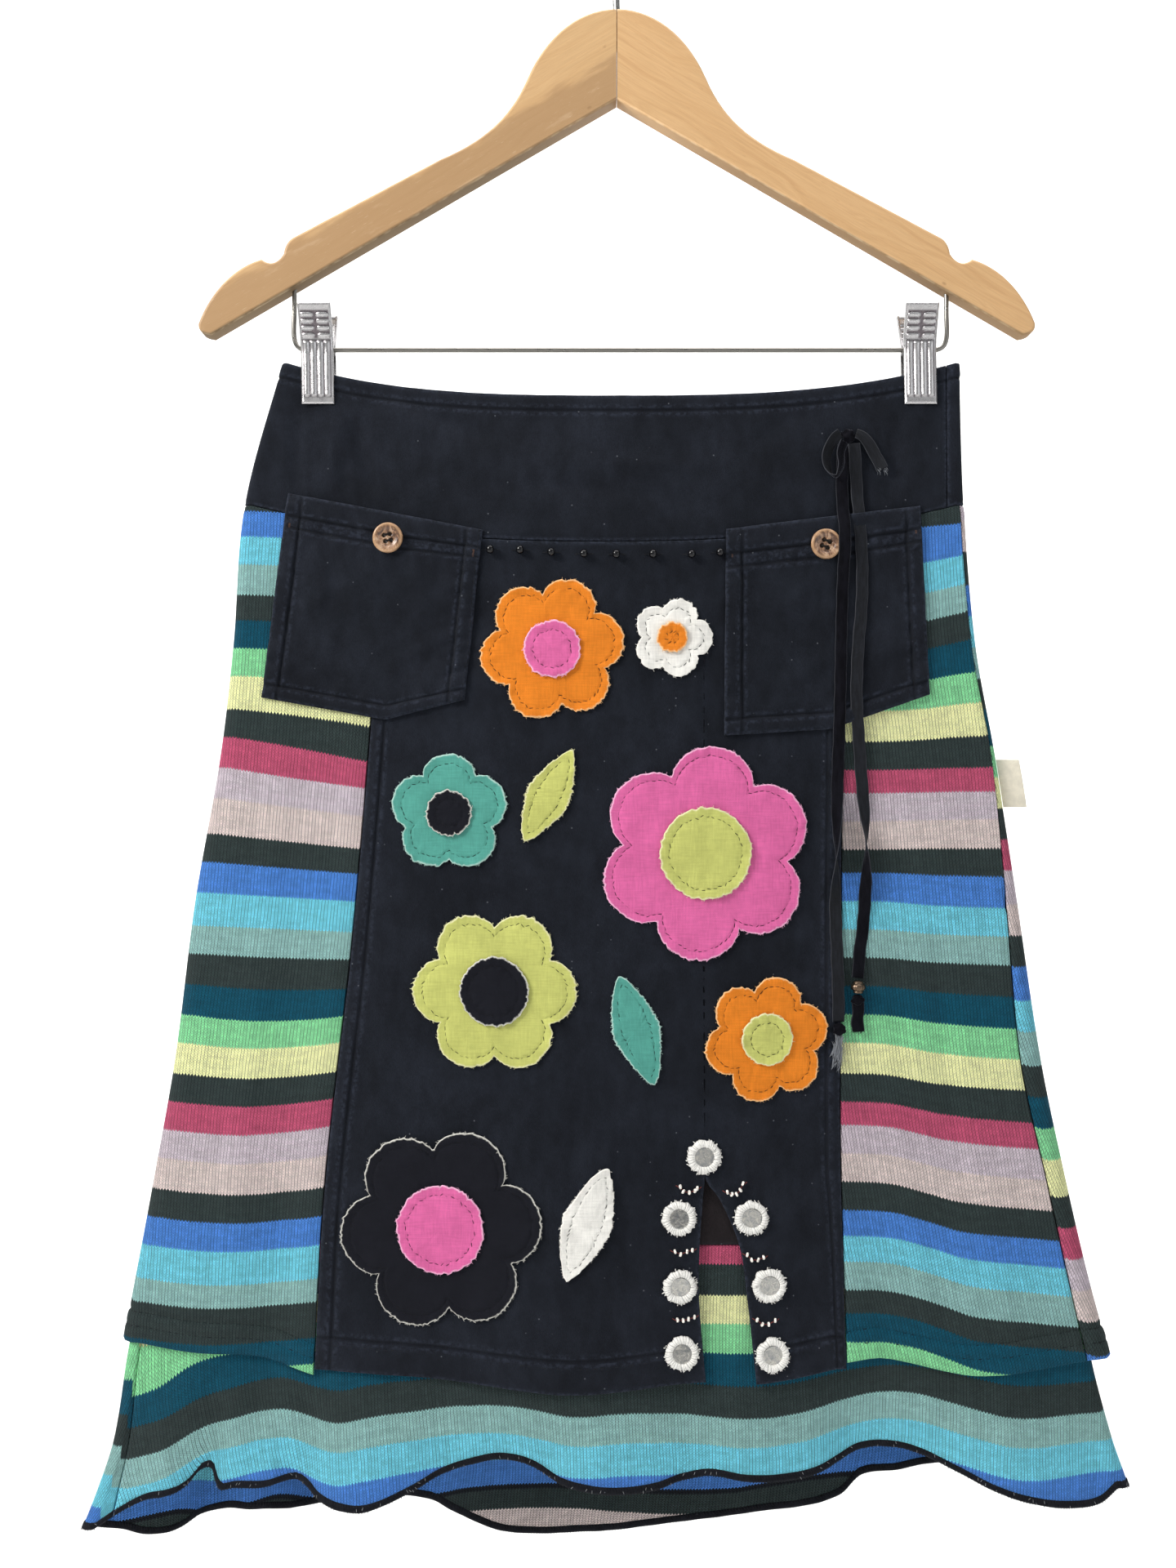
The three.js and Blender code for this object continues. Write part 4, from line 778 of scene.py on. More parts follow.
class Finish:
    """A material being wired: each call adds a node and gives its output."""

    def __init__(self, name, roughness=0.9, **shader):
        self.material = bpy.data.materials.new(name)
        self.material.use_nodes = True
        self.tree = self.material.node_tree
        self.shader = self.tree.nodes["Principled BSDF"]
        self.set(Roughness=roughness)
        for key, value in shader.items():
            self.set(**{key.replace("_", " ").title().replace("Ior", "IOR"): value})

    def put(self, socket, value):
        if isinstance(value, bpy.types.NodeSocket):
            self.tree.links.new(value, socket)
        elif hasattr(value, "__len__") and len(value) == 3 and socket.type == "RGBA":
            socket.default_value = (*value, 1)
        else:
            socket.default_value = value

    def set(self, **values):
        for key, value in values.items():
            self.put(self.shader.inputs[key.replace("_", " ")], value)

    def node(self, kind, inputs=None, output=0, **settings):
        made = self.tree.nodes.new("ShaderNode" + kind)
        for key, value in settings.items():
            setattr(made, key, value)
        for key, value in (inputs or {}).items():
            self.put(made.inputs[key], value)
        return made.outputs[output]

    def maths(self, operation, a, b=0.0):
        return self.node("Math", {0: a, 1: b}, operation=operation)

    def plus(self, a, b):
        return self.maths("ADD", a, b)

    def times(self, a, b):
        return self.maths("MULTIPLY", a, b)

    def wave(self, value, pitch):
        """A sine wave, pitch long."""
        return self.maths("SINE", self.times(value, 2 * math.pi / pitch))

    def sway(self, spot, pitch, detail, span):
        """Uneven values about 0, span from end to end."""
        return self.times(self.maths("SUBTRACT", self.noise(spot, pitch, detail), 0.5), span)

    def stain(self, tint, where, strength, code):
        """A colour partly covered by another one."""
        return self.mix(self.times(where, strength), tint, dyed(code))

    def mix(self, share, a, b, blend="MIX"):
        return self.node("Mix", {0: share, 6: a, 7: b}, 2, data_type="RGBA", blend_type=blend)

    def place(self, stretch=(1, 1, 1)):
        """Where a point is on the object, in millimetres, stretched along the axes."""
        spot = self.node("TexCoord", output="Object")
        return self.node("VectorMath", {0: spot, 1: tuple(v / MM for v in stretch)}, operation="MULTIPLY")

    def cut(self, stretch=(1, 1, 1)):
        """Where a point is on the flat cloth, in millimetres, stretched along the axes."""
        spot = self.node("UVMap", uv_map="cut")
        return self.node("VectorMath", {0: spot, 1: tuple(v / MM for v in stretch)}, operation="MULTIPLY")

    def noise(self, spot, pitch, detail=2.0, roughness=0.5, distortion=0.0):
        """Uneven values about 0.5, with bumps about pitch wide."""
        return self.node("TexNoise", {"Vector": spot, "Scale": 1 / pitch, "Detail": detail,
                                      "Roughness": roughness, "Distortion": distortion})

    def parts(self, vector):
        split = self.node("SeparateXYZ", {0: vector})
        return split, split.node.outputs[1]

    def step(self, value, low, high, to_low=0.0, to_high=1.0):
        return self.node("MapRange", {0: value, 1: low, 2: high, 3: to_low, 4: to_high},
                         interpolation_type="SMOOTHSTEP")

    def value(self, name):
        return self.node("Attribute", output="Fac", attribute_name=name)

    def ramp(self, share, stops, interpolation="LINEAR"):
        made = self.tree.nodes.new("ShaderNodeValToRGB")
        bands = made.color_ramp
        bands.interpolation = interpolation
        for k, (at, shade) in enumerate(stops):
            band = bands.elements[k] if k < 2 else bands.elements.new(at)
            band.position, band.color = at, (*shade, 1)
        self.put(made.inputs[0], share)
        return made.outputs[0]

    def bump(self, height, distance):
        """Height, as a share of distance in millimetres, felt by the surface's light."""
        self.set(Normal=self.node("Bump", {"Height": height, "Distance": distance * MM, "Strength": 1.0}))

    def shade(self, tint, amount):
        """A colour made lighter or darker by an amount about 1."""
        grey = self.node("CombineColor", {0: amount, 1: amount, 2: amount})
        return self.mix(1.0, tint, grey, "MULTIPLY")


def specks(finish, spot, pitch, share):
    """Sparse small spots, such as lint: 1 in a spot and 0 elsewhere."""
    cells = finish.node("TexVoronoi", {"Vector": spot, "Scale": 1 / pitch, "Randomness": 1.0})
    chance = finish.node("SeparateColor", {0: cells.node.outputs["Color"]})
    near = finish.step(cells, 0.05, 0.16, 1.0, 0.0)
    return finish.times(near, finish.maths("LESS_THAN", chance, share))


def twill_finish(name, tint, worn="#3b4150"):
    """Washed black cotton twill, peached, with a fine diagonal, lint, wear at its edges and painted shade along its
    stitching lines.
    """
    f = Finish(name, 0.93)
    f.set(Sheen_Weight=0.05, Sheen_Roughness=0.55, Sheen_Tint=(0.75, 0.82, 1.0, 1.0), Specular_IOR_Level=0.1)
    spot = f.place()
    x, z = f.parts(f.cut())
    slant = f.maths("FRACT", f.plus(f.maths("DIVIDE", x, 0.62), f.maths("DIVIDE", z, 0.98)))
    rib = f.maths("SINE", f.times(slant, math.pi))
    thread = f.noise(f.cut((1, 0.25, 1)), 0.45, 3, 0.6)
    wash = f.noise(spot, 34, 5, 0.6, 0.4)
    cloudy = f.noise(f.place((1, 1, 0.45)), 7, 4, 0.65)
    body = f.shade(tint, f.step(wash, 0.3, 0.72, 0.78, 1.32))
    body = f.shade(body, f.step(cloudy, 0.25, 0.75, 0.8, 1.24))
    body = f.shade(body, f.plus(0.82, f.times(rib, 0.26)))
    body = f.shade(body, f.step(thread, 0.3, 0.7, 0.84, 1.18))
    rub = f.times(f.step(f.value("rim"), 0.1, 2.6, 1.0, 0.0), f.step(f.noise(spot, 1.8, 3), 0.36, 0.7))
    body = f.mix(f.times(rub, 0.5), body, dyed(worn))
    seam = f.value("seam")
    ridge = f.times(f.step(seam, 0.12, 0.5), f.step(seam, 0.6, 0.92, 1.0, 0.0))
    faded = f.times(ridge, f.step(f.noise(spot, 2.6, 3, 0.65), 0.4, 0.68))
    body = f.mix(f.times(faded, 0.36), body, dyed(worn))
    # painted shade: darker right in the ditch of each stitching line
    body = f.shade(body, f.step(seam, 0.8, 1.0, 1.0, 0.82))
    lint = specks(f, spot, 3.4, 0.05)
    body = f.stain(body, lint, 0.35, "#8b8f98")
    f.set(Base_Color=body)
    nap = f.noise(spot, 0.5, 2, 0.7)
    f.bump(f.plus(f.times(rib, 0.6), f.times(nap, 0.9)), 0.16)
    return f.material


CYCLE = "charcoal blue turquoise aqua charcoal teal green yellow charcoal raspberry lilac pale".split()


def knit_finish(name, stripes, sizes, purl=False, grey=1.0):
    """Fine striped stocking stitch. stripes lists each stripe's end, down the cloth, and its colour.

    A wale is a column of Vs: each leg rises to its side, and its colour is its own row's."""
    f = Finish(name, 0.96)
    f.set(Sheen_Weight=0.04, Sheen_Roughness=0.6, Specular_IOR_Level=0.06)
    u, v = f.parts(f.cut())
    wander_u = f.sway(f.place(), 16, 2, 0.5)
    column = f.plus(f.maths("DIVIDE", u, sizes.wale / MM), wander_u)
    beside = f.times(f.maths("ABSOLUTE", f.maths("SUBTRACT", f.maths("FRACT", column), 0.5)), 2)
    rise = 0.0 if purl else 0.95
    waver = f.sway(f.place(), 2.6, 2, 0.35)
    row = f.plus(f.maths("DIVIDE", v, sizes.course / MM), waver)
    if purl:
        arc = f.times(f.maths("SINE", f.times(column, 2 * math.pi)), 0.28)
        phase = f.plus(row, arc)
    else:
        phase = f.plus(row, f.times(beside, rise))
    course = f.maths("FLOOR", phase)
    across_yarn = f.maths("SINE", f.times(f.maths("FRACT", phase), math.pi))
    along_yarn = f.maths("SINE", f.times(beside, math.pi))
    height = f.times(f.maths("POWER", across_yarn, 0.7),
                     f.plus(0.45, f.times(along_yarn, 0.55)))
    first, last = stripes[0][0] - 16, stripes[-1][0] + 2
    where = f.times(f.plus(course, 0.5 - 0.5 * rise), sizes.course / MM)
    share = f.maths("DIVIDE", f.maths("SUBTRACT", where, first), last - first)
    starts = [0.0] + [(end - first) / (last - first) for end, _ in stripes[:-1]]
    tint = f.ramp(share, [(s, c) for s, (_, c) in zip(starts, stripes)], "CONSTANT")
    blotch = f.noise(f.cut((0.35, 1.6, 1)), 5.0, 3, 0.6)
    fleck = f.noise(f.cut((1, 1.6, 1)), 0.9, 2, 0.7)
    # grey dims every colour; below 1 it is painted shade
    body = f.shade(tint, f.step(blotch, 0.25, 0.75, 0.9 * grey, 1.09 * grey))
    body = f.shade(body, f.step(fleck, 0.25, 0.75, 0.9, 1.1))
    stitch = f.node("CombineXYZ", {0: f.maths("FLOOR", column), 1: course})
    each = f.node("TexWhiteNoise", {"Vector": stitch}, noise_dimensions="2D")
    wale = f.node("TexWhiteNoise", {"W": f.maths("FLOOR", column)}, noise_dimensions="1D")
    body = f.shade(body, f.step(each, 0.0, 1.0, 0.92, 1.08))
    body = f.shade(body, f.step(wale, 0.0, 1.0, 0.94, 1.06))
    # painted shade: darker low on each yarn leg and in the gutter between two wales, lighter on the crests
    body = f.shade(body, f.step(height, 0.0, 0.75, 0.45, 1.25))
    body = f.shade(body, f.step(beside, 0.58, 1.0, 1.1, 0.5))  # the gutter between two wales
    f.set(Base_Color=body)
    fuzz = f.noise(f.place(), 0.4, 2, 0.7)
    f.bump(f.plus(height, f.times(fuzz, 0.35)), 0.6)
    return f.material


def patch_finish(name, tint, frayed, dark):
    """Plain-woven cotton with a raw, frayed edge."""
    f = Finish(name, 0.92)
    f.set(Sheen_Weight=0.03, Sheen_Roughness=0.6, Specular_IOR_Level=0.08)
    x, z = f.parts(f.cut())
    warp = f.wave(x, 0.72)
    weft = f.wave(z, 0.78)
    weave = f.times(warp, weft)
    slub = f.noise(f.cut((1, 0.08, 1)), 0.8, 3, 0.6)
    slub_across = f.noise(f.cut((0.08, 1, 1)), 0.8, 3, 0.6)
    cloud = f.noise(f.place(), 13, 4, 0.6)
    body = f.shade(tint, f.step(cloud, 0.25, 0.75, 0.9, 1.07))
    body = f.shade(body, f.step(f.plus(slub, slub_across), 0.6, 1.4, 0.88, 1.1))
    body = f.shade(body, f.plus(0.965, f.times(weave, 0.05)))
    ragged = f.noise(f.place(), 1.1, 3, 0.7)
    reach = f.plus(f.value("rim"), f.times(f.maths("SUBTRACT", ragged, 0.5), 1.6))
    fray = f.step(reach, 0.15, 1.05 if dark else 1.25, 1.0, 0.0)
    body = f.mix(f.times(fray, 0.9), body, frayed)
    f.set(Base_Color=body)
    f.bump(f.plus(f.times(weave, 0.4), f.noise(f.place(), 0.5, 2, 0.7)), 0.14)
    return f.material


def thread_finish(name, tint, gaps=False):
    """Spun thread: a fine twist with uneven tone and, where gaps is set, painted shade in the gaps between laid
    threads.
    """
    f = Finish(name, 0.75)
    f.set(Sheen_Weight=0.03, Sheen_Roughness=0.5, Specular_IOR_Level=0.15)
    twist = f.noise(f.place(), 0.28, 3, 0.7)
    body = f.shade(tint, f.step(twist, 0.3, 0.7, 0.72, 1.18))
    if gaps:
        # painted shade in the gaps between laid threads
        body = f.shade(body, f.step(f.value("hollow"), 0.25, 1.0, 1.0, 0.42))
    f.set(Base_Color=body)
    f.bump(twist, 0.08)
    return f.material


def velvet_finish(name):
    """Black velvet ribbon with unevenly crushed pile and a painted sheen that pales it along its edges."""
    f = Finish(name, 0.8)
    f.set(Sheen_Weight=0.3, Sheen_Roughness=0.25, Sheen_Tint=(0.55, 0.58, 0.7, 1.0), Specular_IOR_Level=0.05)
    pile = f.noise(f.place(), 0.35, 3, 0.75)
    crush = f.noise(f.place((1, 1, 0.3)), 3.2, 3, 0.6)
    body = f.shade(dyed("#0d0d12"), f.step(crush, 0.3, 0.7, 0.7, 1.6))
    # painted sheen: paler towards the ribbon's edges
    body = f.mix(f.times(f.step(f.value("rim"), 0.0, 0.5, 1.0, 0.0), 0.5), body, dyed("#43454b"))
    f.set(Base_Color=body)
    f.bump(pile, 0.22)
    return f.material


def satin_finish(name):
    """The ribbon's grey satin back, ribbed finely across, with a painted sheen along its edges."""
    f = Finish(name, 0.55)
    f.set(Sheen_Weight=0.04, Specular_IOR_Level=0.12, Anisotropic=0.4)
    _, v = f.parts(f.cut())
    rib = f.wave(v, 0.55)
    wave = f.noise(f.cut((1, 0.2, 1)), 1.6, 3, 0.6)
    body = f.shade(dyed("#15171c"), f.step(wave, 0.3, 0.7, 0.7, 1.35))
    # painted sheen: paler towards the ribbon's edges
    body = f.mix(f.times(f.step(f.value("rim"), 0.0, 0.55, 1.0, 0.0), 0.5), body, dyed("#4b4d54"))
    f.set(Base_Color=body)
    f.bump(f.plus(f.times(rib, 0.4), f.noise(f.place(), 0.3, 2)), 0.07)
    return f.material


def wood_finish(name, tint, scuffed_and_shaded):
    """Beech along the arm, with darker rays and small flecks; painted shade darkens its underside and, on one arm, its
    lower half, which also has pale scuffs and scratches, and greys that arm.
    """
    f = Finish(name, 0.42)
    f.set(Specular_IOR_Level=0.3, Coat_Weight=0.08, Coat_Roughness=0.35)
    along, aside = f.parts(f.cut())
    facing = f.node("SeparateXYZ", {0: f.node("NewGeometry", output="Normal")})
    flat = f.maths("ABSOLUTE", facing.node.outputs[1])
    warp = f.sway(f.cut((0.012, 0.05, 1)), 1.0, 2, 26)
    bent = f.plus(aside, warp)
    rings = f.noise(f.node("CombineXYZ", {0: f.times(along, 0.012), 1: f.times(bent, 0.35)}),
                    1.0, 4, 0.62, 0.3)
    fibre = f.noise(f.cut((0.05, 1.5, 1)), 1.0, 4, 0.7)
    flecks = f.step(f.noise(f.cut((0.16, 1.7, 1)), 1.0, 2, 0.5), 0.64, 0.74)
    body = f.ramp(rings, [(0.3, dyed("#b98c5c")), (0.46, dyed("#c99f70")), (0.58, dyed("#d2aa7c")),
                          (0.75, dyed("#c09465"))])
    body = f.mix(0.5, body, tint)
    body = f.shade(body, f.step(fibre, 0.25, 0.75, 0.93, 1.06))
    body = f.stain(body, flecks, 0.3, "#a97c4c")
    # one arm is painted darker as shade, most in its lower half, with pale scuffs and scratches there
    if scuffed_and_shaded:
        low = f.step(f.plus(aside, f.sway(f.cut((0.05, 0.2, 1)), 1.0, 3, 16)), 12, 20, 1.0, 0.0)
        body = f.stain(body, low, 0.7, "#9a7350")
        pale = f.step(f.noise(f.cut((0.035, 0.14, 1)), 1.0, 4, 0.6), 0.57, 0.7)
        body = f.mix(f.times(f.times(pale, 0.45), low), body, dyed("#c7a684"))
        scratch = f.step(f.noise(f.cut((0.12, 3.0, 1)), 1.0, 3, 0.7, 0.4), 0.66, 0.72)
        body = f.mix(f.times(f.times(scratch, 0.55), low), body, dyed("#efdcc2"))
    # painted shade on the faces that look down, stronger on the shaded arm
    under = f.step(facing.node.outputs[2], -0.75, -0.35, 1.0, 0.0)
    body = f.mix(f.times(under, 0.9 if scuffed_and_shaded else 0.6), body, dyed("#59432f"))
    pits = specks(f, f.cut((0.6, 1, 1)), 7.0, 0.2)
    body = f.stain(body, pits, 0.5, "#8a623c")
    # a greyer tone on both arms, more on the shaded arm as painted shade
    body = f.mix(0.22 if scuffed_and_shaded else 0.1, body, dyed("#a0916c"))
    rub = f.times(f.step(flat, 0.5, 0.97, 1.0, 0.0), f.step(f.noise(f.place(), 6, 3), 0.35, 0.65))
    rub = f.times(rub, f.step(flat, 0.05, 0.3))
    body = f.stain(body, rub, 0.3, "#f0d9b4")
    gloss = f.step(fibre, 0.2, 0.8, 0.38, 0.56)
    f.set(Base_Color=body, Roughness=f.plus(gloss, f.times(under, 0.42)))
    f.bump(f.plus(f.times(fibre, 0.6), f.times(pits, -0.8)), 0.1)
    return f.material


def metal_finish(name, code, roughness, brushed=0.06, stain="#6f6c66", metallic=1.0):
    """Plated steel with fine scratches, dull patches and painted shade in its hollows."""
    f = Finish(name, roughness)
    f.set(Metallic=metallic)
    scratch = f.noise(f.place((1, 1, 0.1)), 0.35, 3, 0.7)
    dull = f.noise(f.place(), 3.5, 4, 0.6)
    body = f.shade(dyed(code), f.step(scratch, 0.3, 0.7, 0.93, 1.03))
    body = f.mix(f.times(f.step(dull, 0.6, 0.75), 0.25), body, dyed(stain))
    # painted shade: darker where the piece marks a hollow
    body = f.mix(f.times(f.value("hollow"), 0.85), body, dyed("#554a50"))
    f.set(Base_Color=body, Roughness=f.step(dull, 0.3, 0.75, roughness, roughness + 0.16))
    f.bump(scratch, brushed)
    return f.material


def horn_finish(name):
    """Mottled brown horn with a paler rim."""
    f = Finish(name, 0.32)
    f.set(Specular_IOR_Level=0.5, Coat_Weight=0.3, Coat_Roughness=0.2)
    marble = f.noise(f.place((1, 1, 0.6)), 4.2, 5, 0.62, 1.3)
    veins = f.noise(f.place((0.5, 1, 1.3)), 1.6, 4, 0.65, 0.8)
    body = f.ramp(marble, [(0.3, dyed("#2a1b15")), (0.44, dyed("#5b4030")), (0.56, dyed("#9a765a")),
                           (0.72, dyed("#cbb198"))])
    body = f.mix(f.step(veins, 0.56, 0.68, 0.0, 0.6), body, dyed("#22160f"))
    rim = f.step(f.value("reach"), 0.74, 0.9)
    body = f.stain(body, rim, 0.6, "#c39a72")
    # the holes are painted near black: partly the dark cloth a real hole shows, partly painted shade in the pit
    body = f.mix(f.step(f.value("hole"), 0.3, 0.8, 0.0, 0.92), body, dyed("#120c09"))
    f.set(Base_Color=body)
    f.bump(veins, 0.05)
    return f.material


def glass_finish(name, code, roughness):
    """Dark moulded glass, a little scuffed."""
    f = Finish(name, roughness)
    f.set(Specular_IOR_Level=0.35, Coat_Weight=0.15, Coat_Roughness=0.06)
    scuff = f.noise(f.place(), 0.8, 3, 0.7)
    f.set(Base_Color=f.shade(dyed(code), f.step(scuff, 0.3, 0.7, 0.7, 1.5)),
          Roughness=f.step(scuff, 0.4, 0.75, roughness, roughness + 0.14))
    f.bump(scuff, 0.02)
    return f.material


def mirror_finish(name):
    """Small old mirror glass: bright, with cloudy grey patches."""
    f = Finish(name, 0.06)
    f.set(Metallic=1.0)
    cloud = f.noise(f.place(), 2.2, 4, 0.65, 0.6)
    body = f.ramp(cloud, [(0.3, dyed("#84878a")), (0.5, dyed("#aaa9a5")), (0.7, dyed("#c8c4bb"))])
    f.set(Base_Color=body, Roughness=f.step(cloud, 0.4, 0.7, 0.16, 0.34))
    f.bump(f.noise(f.place(), 1.5, 2), 0.03)
    return f.material


def label_finish(name):
    """A bare woven label: close cream satin with a fine rib."""
    f = Finish(name, 0.7)
    f.set(Sheen_Weight=0.25, Specular_IOR_Level=0.25)
    u, v = f.parts(f.cut())
    rib = f.wave(v, 0.42)
    across_rib = f.wave(u, 0.5)
    grime = f.noise(f.place(), 4, 3, 0.6)
    body = f.shade(dyed("#eee6d3"), f.step(grime, 0.3, 0.72, 0.9, 1.04))
    body = f.shade(body, f.plus(0.96, f.times(rib, 0.05)))
    f.set(Base_Color=body)
    f.bump(f.plus(f.times(rib, 0.5), f.times(across_rib, 0.3)), 0.08)
    return f.material


MADE = {}


def once(key, make):
    """A material that several pieces share."""
    if key not in MADE:
        MADE[key] = make()
    return MADE[key]


def black_thread():
    return once("black_thread", lambda: thread_finish("black_thread", dyed("#101116")))


def washed_twill(colours):
    return once("twill", lambda: twill_finish("washed_twill", tuple(colours.twill)))


def bar_steel():
    return once("wire_steel", lambda: metal_finish("bar_steel", "#8d8a84", 0.26))


def put(made, nodes):
    """Fixes a finished piece to the one body and the nodes that it stands for."""
    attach(made, "root")
    if nodes:
        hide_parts(*nodes)
    return made

# ------------------------------------------------------------------ stage and camera


class SKIRT_OT_stage(bpy.types.Operator):
    """Build the camera, the pale backdrop and the soft lights"""
    bl_idname = "skirt.stage"
    bl_label = "Stage"

    def execute(self, context):
        sizes = context.scene.stage_sizes
        lens = bpy.data.cameras.new("camera")
        lens.sensor_fit = "VERTICAL"
        lens.angle = 2 * math.atan(sizes.seen / 2 / sizes.distance)
        lens.clip_start, lens.clip_end = 0.02, 30
        camera = bpy.data.objects.new("camera", lens)
        camera.location = (-sizes.aside, -sizes.distance, -sizes.drop)
        camera.rotation_euler = (math.pi / 2, 0, 0)
        context.collection.objects.link(camera)
        context.scene.camera = camera

        floor, sweep, wall = -1150, 500, 2400
        profile = [(-3000, floor), (wall - sweep, floor)]
        profile += [(wall - sweep + sweep * math.sin(a), floor + sweep - sweep * math.cos(a))
                    for a in np.linspace(0.1, 1.55, 14)]
        profile += [(wall, -400), (wall, 3800)]
        points = np.array([(x, y, z) for x in (-4200, 4200) for y, z in profile])
        faces = grid_faces(2, len(profile))
        paper = Finish("backdrop_paper", 0.95)
        grain = paper.noise(paper.place(), 40, 3)
        pale = paper.shade(dyed("#f4f4f3"), paper.step(grain, 0.2, 0.8, 0.985, 1.0))
        _, depth = paper.parts(paper.place())
        paper.set(Base_Color=pale, Emission_Color=pale, Emission_Strength=paper.step(depth, 500, 1700, 0, 0.62))
        piece("backdrop", points, faces, [paper.material])

        middle, wall_foot = (-15, 0, -470), (0, 1000, -600)
        for name, place, aim, size, power, warmth in (
                ("wall", (0, 300, 900), wall_foot, 1500, 26, (1.0, 1.0, 1.0)),
                ("key", (-1350, -850, 500), middle, 650, 33, (1.0, 0.985, 0.96)),
                ("fill", (1300, -1300, -300), middle, 1300, 6, (0.96, 0.98, 1.0)),
                ("under", (-200, -1500, -1400), middle, 1200, 2, (1.0, 0.99, 0.97)),
                ("back", (300, 900, 900), middle, 1200, 8, (1.0, 1.0, 1.0))):
            light = bpy.data.lights.new(name, "AREA")
            light.shape, light.size = "SQUARE", size * MM
            light.energy, light.color = power, warmth
            lamp = bpy.data.objects.new(name, light)
            lamp.location = Vector(place) * MM
            lamp.rotation_euler = (Vector(aim) * MM - lamp.location).to_track_quat("-Z", "Y").to_euler()
            context.collection.objects.link(lamp)
        world = bpy.data.worlds.new("soft room")
        world.use_nodes = True
        room = world.node_tree.nodes["Background"]
        room.inputs["Color"].default_value = (0.97, 0.985, 1.0, 1)
        room.inputs["Strength"].default_value = 0.33
        context.scene.world = world
        context.scene.view_settings.view_transform = "Standard"
        return {"FINISHED"}


# ------------------------------------------------------------------ ribbon ties

TAIL_LEFT = [
    (120, -6.8, -293.6), (119.4, -7.3, -306), (119, -8.4, -320), (119.4, -11.2, -332),
    (119.8, -13.5, -341), (119.6, -13.5, -352), (119, -12.2, -364), (118.4, -11.6, -384),
    (117.8, -12.2, -408), (117.2, -13.1, -432), (116.8, -13, -447), (116.2, -12.5, -464),
    (115.4, -12.7, -485), (114.8, -13.1, -508), (114.5, -13.5, -536), (115.4, -13.9, -562),
    (116.1, -14.1, -584), (116.2, -14.3, -598.6)]
TAIL_RIGHT = [
    (125.4, -8.2, -293.6), (126.2, -8, -306), (127, -7.7, -320), (127.8, -9.4, -332),
    (128.6, -10.2, -344), (129.3, -10.2, -358), (129, -10.6, -378), (127, -11.3, -402),
    (126, -12.1, -426), (126.4, -12.3, -438), (127.4, -11.7, -452), (129, -11.3, -474),
    (130.6, -11.7, -500), (130.7, -12.1, -522), (129.6, -12.5, -546), (127.4, -13, -564),
    (126.4, -14.4, -575.6)]
LOOP = [
    (118.2, -7.8, -288.6), (115, -8, -291), (111.6, -8.1, -297), (110.4, -8.3, -303.6),
    (112.2, -8.6, -309.8), (115.4, -9.4, -312), (118, -9.9, -306.2), (118, -10.2, -299),
    (119.8, -10.8, -293.4)]
SHORT_END = [
    (126.6, -6.9, -288.2), (130, -6.5, -289.8), (134, -6.3, -294.6), (137.6, -6.3, -301),
    (140.6, -6.5, -307.2)]
TIE_KNOT = (122.5, -7.5, -289.6)
TIE_BEAD = (126.2, -16.1, -580.2)
TASSEL_KNOT, TAB_KNOT = (116.3, -15.6, -602.4), (126.2, -14.5, -587.2)
# How a ribbon turns about its own line, in degrees, against the share of its length; at 0 the pile
# faces out, at 180 the satin does. lift is how far a turning ribbon stands off the cloth.
ROLLS = {
    "left": table(
        "share roll lift", (0, 4, 0), (0.3, -5, 0), (0.58, 8, 0.3), (0.68, 62, 2.6), (0.74, 120, 2.6),
        (0.8, 172, 0.4), (0.9, 184, 0), (1, 176, 0)),
    "right": table(
        "share roll lift", (0, 182, 0), (0.2, 174, 0), (0.45, 186, 0), (0.66, 176, 0.3), (0.73, 120, 2.6),
        (0.79, 60, 2.6), (0.86, 4, 0.4), (1, -4, 0)),
    "loop": table(
        "share roll lift", (0, 168, 0.6), (0.2, 160, 0.8), (0.4, 144, 1.6), (0.52, 112, 2.4),
        (0.62, 70, 2.4), (0.8, 42, 2.0), (1, 34, 0.8)),
    "short": table("share roll lift", (0, 150, 0.4), (0.3, 170, 0.4), (0.7, 186, 0.4), (1, 196, 0.6)),
}


def ribbon(name, route, width, rolls, materials, wall=0.7, cup=0.35, per_mm=0.9):
    """A flat ribbon along a route that turns about its own line. Returns the piece and its line."""
    run = run_of(curve(route, 400))
    count = int(run * per_mm) + 8
    p = curve(route, count)
    share = np.linspace(0, 1, count)
    p[:, 1] -= smooth(rolls, "share", "lift", share)
    roll = np.radians(smooth(rolls, "share", "roll", share))[:, None]
    way = unit(np.gradient(p, axis=0))
    base = unit(np.cross(way, (0, 1, 0)))
    out = np.cross(way, base)
    aside, normal = np.cos(roll) * base + np.sin(roll) * out, -np.sin(roll) * base + np.cos(roll) * out
    places = np.linspace(-1, 1, 9)
    outline = [(a, 1) for a in places] + [(a, -1) for a in places[::-1]]
    rows = []
    for a, level in outline:
        edge_wave = 0.12 * np.sin(share * run / 2.3 + 2 * a) * abs(a)
        rows.append(p + aside * (a * (width / 2 + edge_wave))[:, None]
                    + normal * (level * wall / 2 * (1 - 0.5 * abs(a)) + cup * (1 - a * a) - cup / 2))
    body = np.stack(rows, axis=1).reshape(-1, 3)
    sides = len(outline)
    quads = grid_faces(count, sides, closed=True)[:, ::-1]
    index = np.tile([0] * 8 + [1] * 10, count - 1)
    faces = quads.tolist() + [list(range(sides)), list(range(len(body) - 1, len(body) - 1 - sides, -1))]
    a = np.tile([o[0] for o in outline], count)
    uv = np.stack([a * width / 2, np.repeat(share * run, sides)], axis=-1)
    rim = (1 - np.abs(a)) * width / 2
    return piece(name, body, faces, materials, uv, np.append(index, [1, 1]), values={"rim": rim}), p


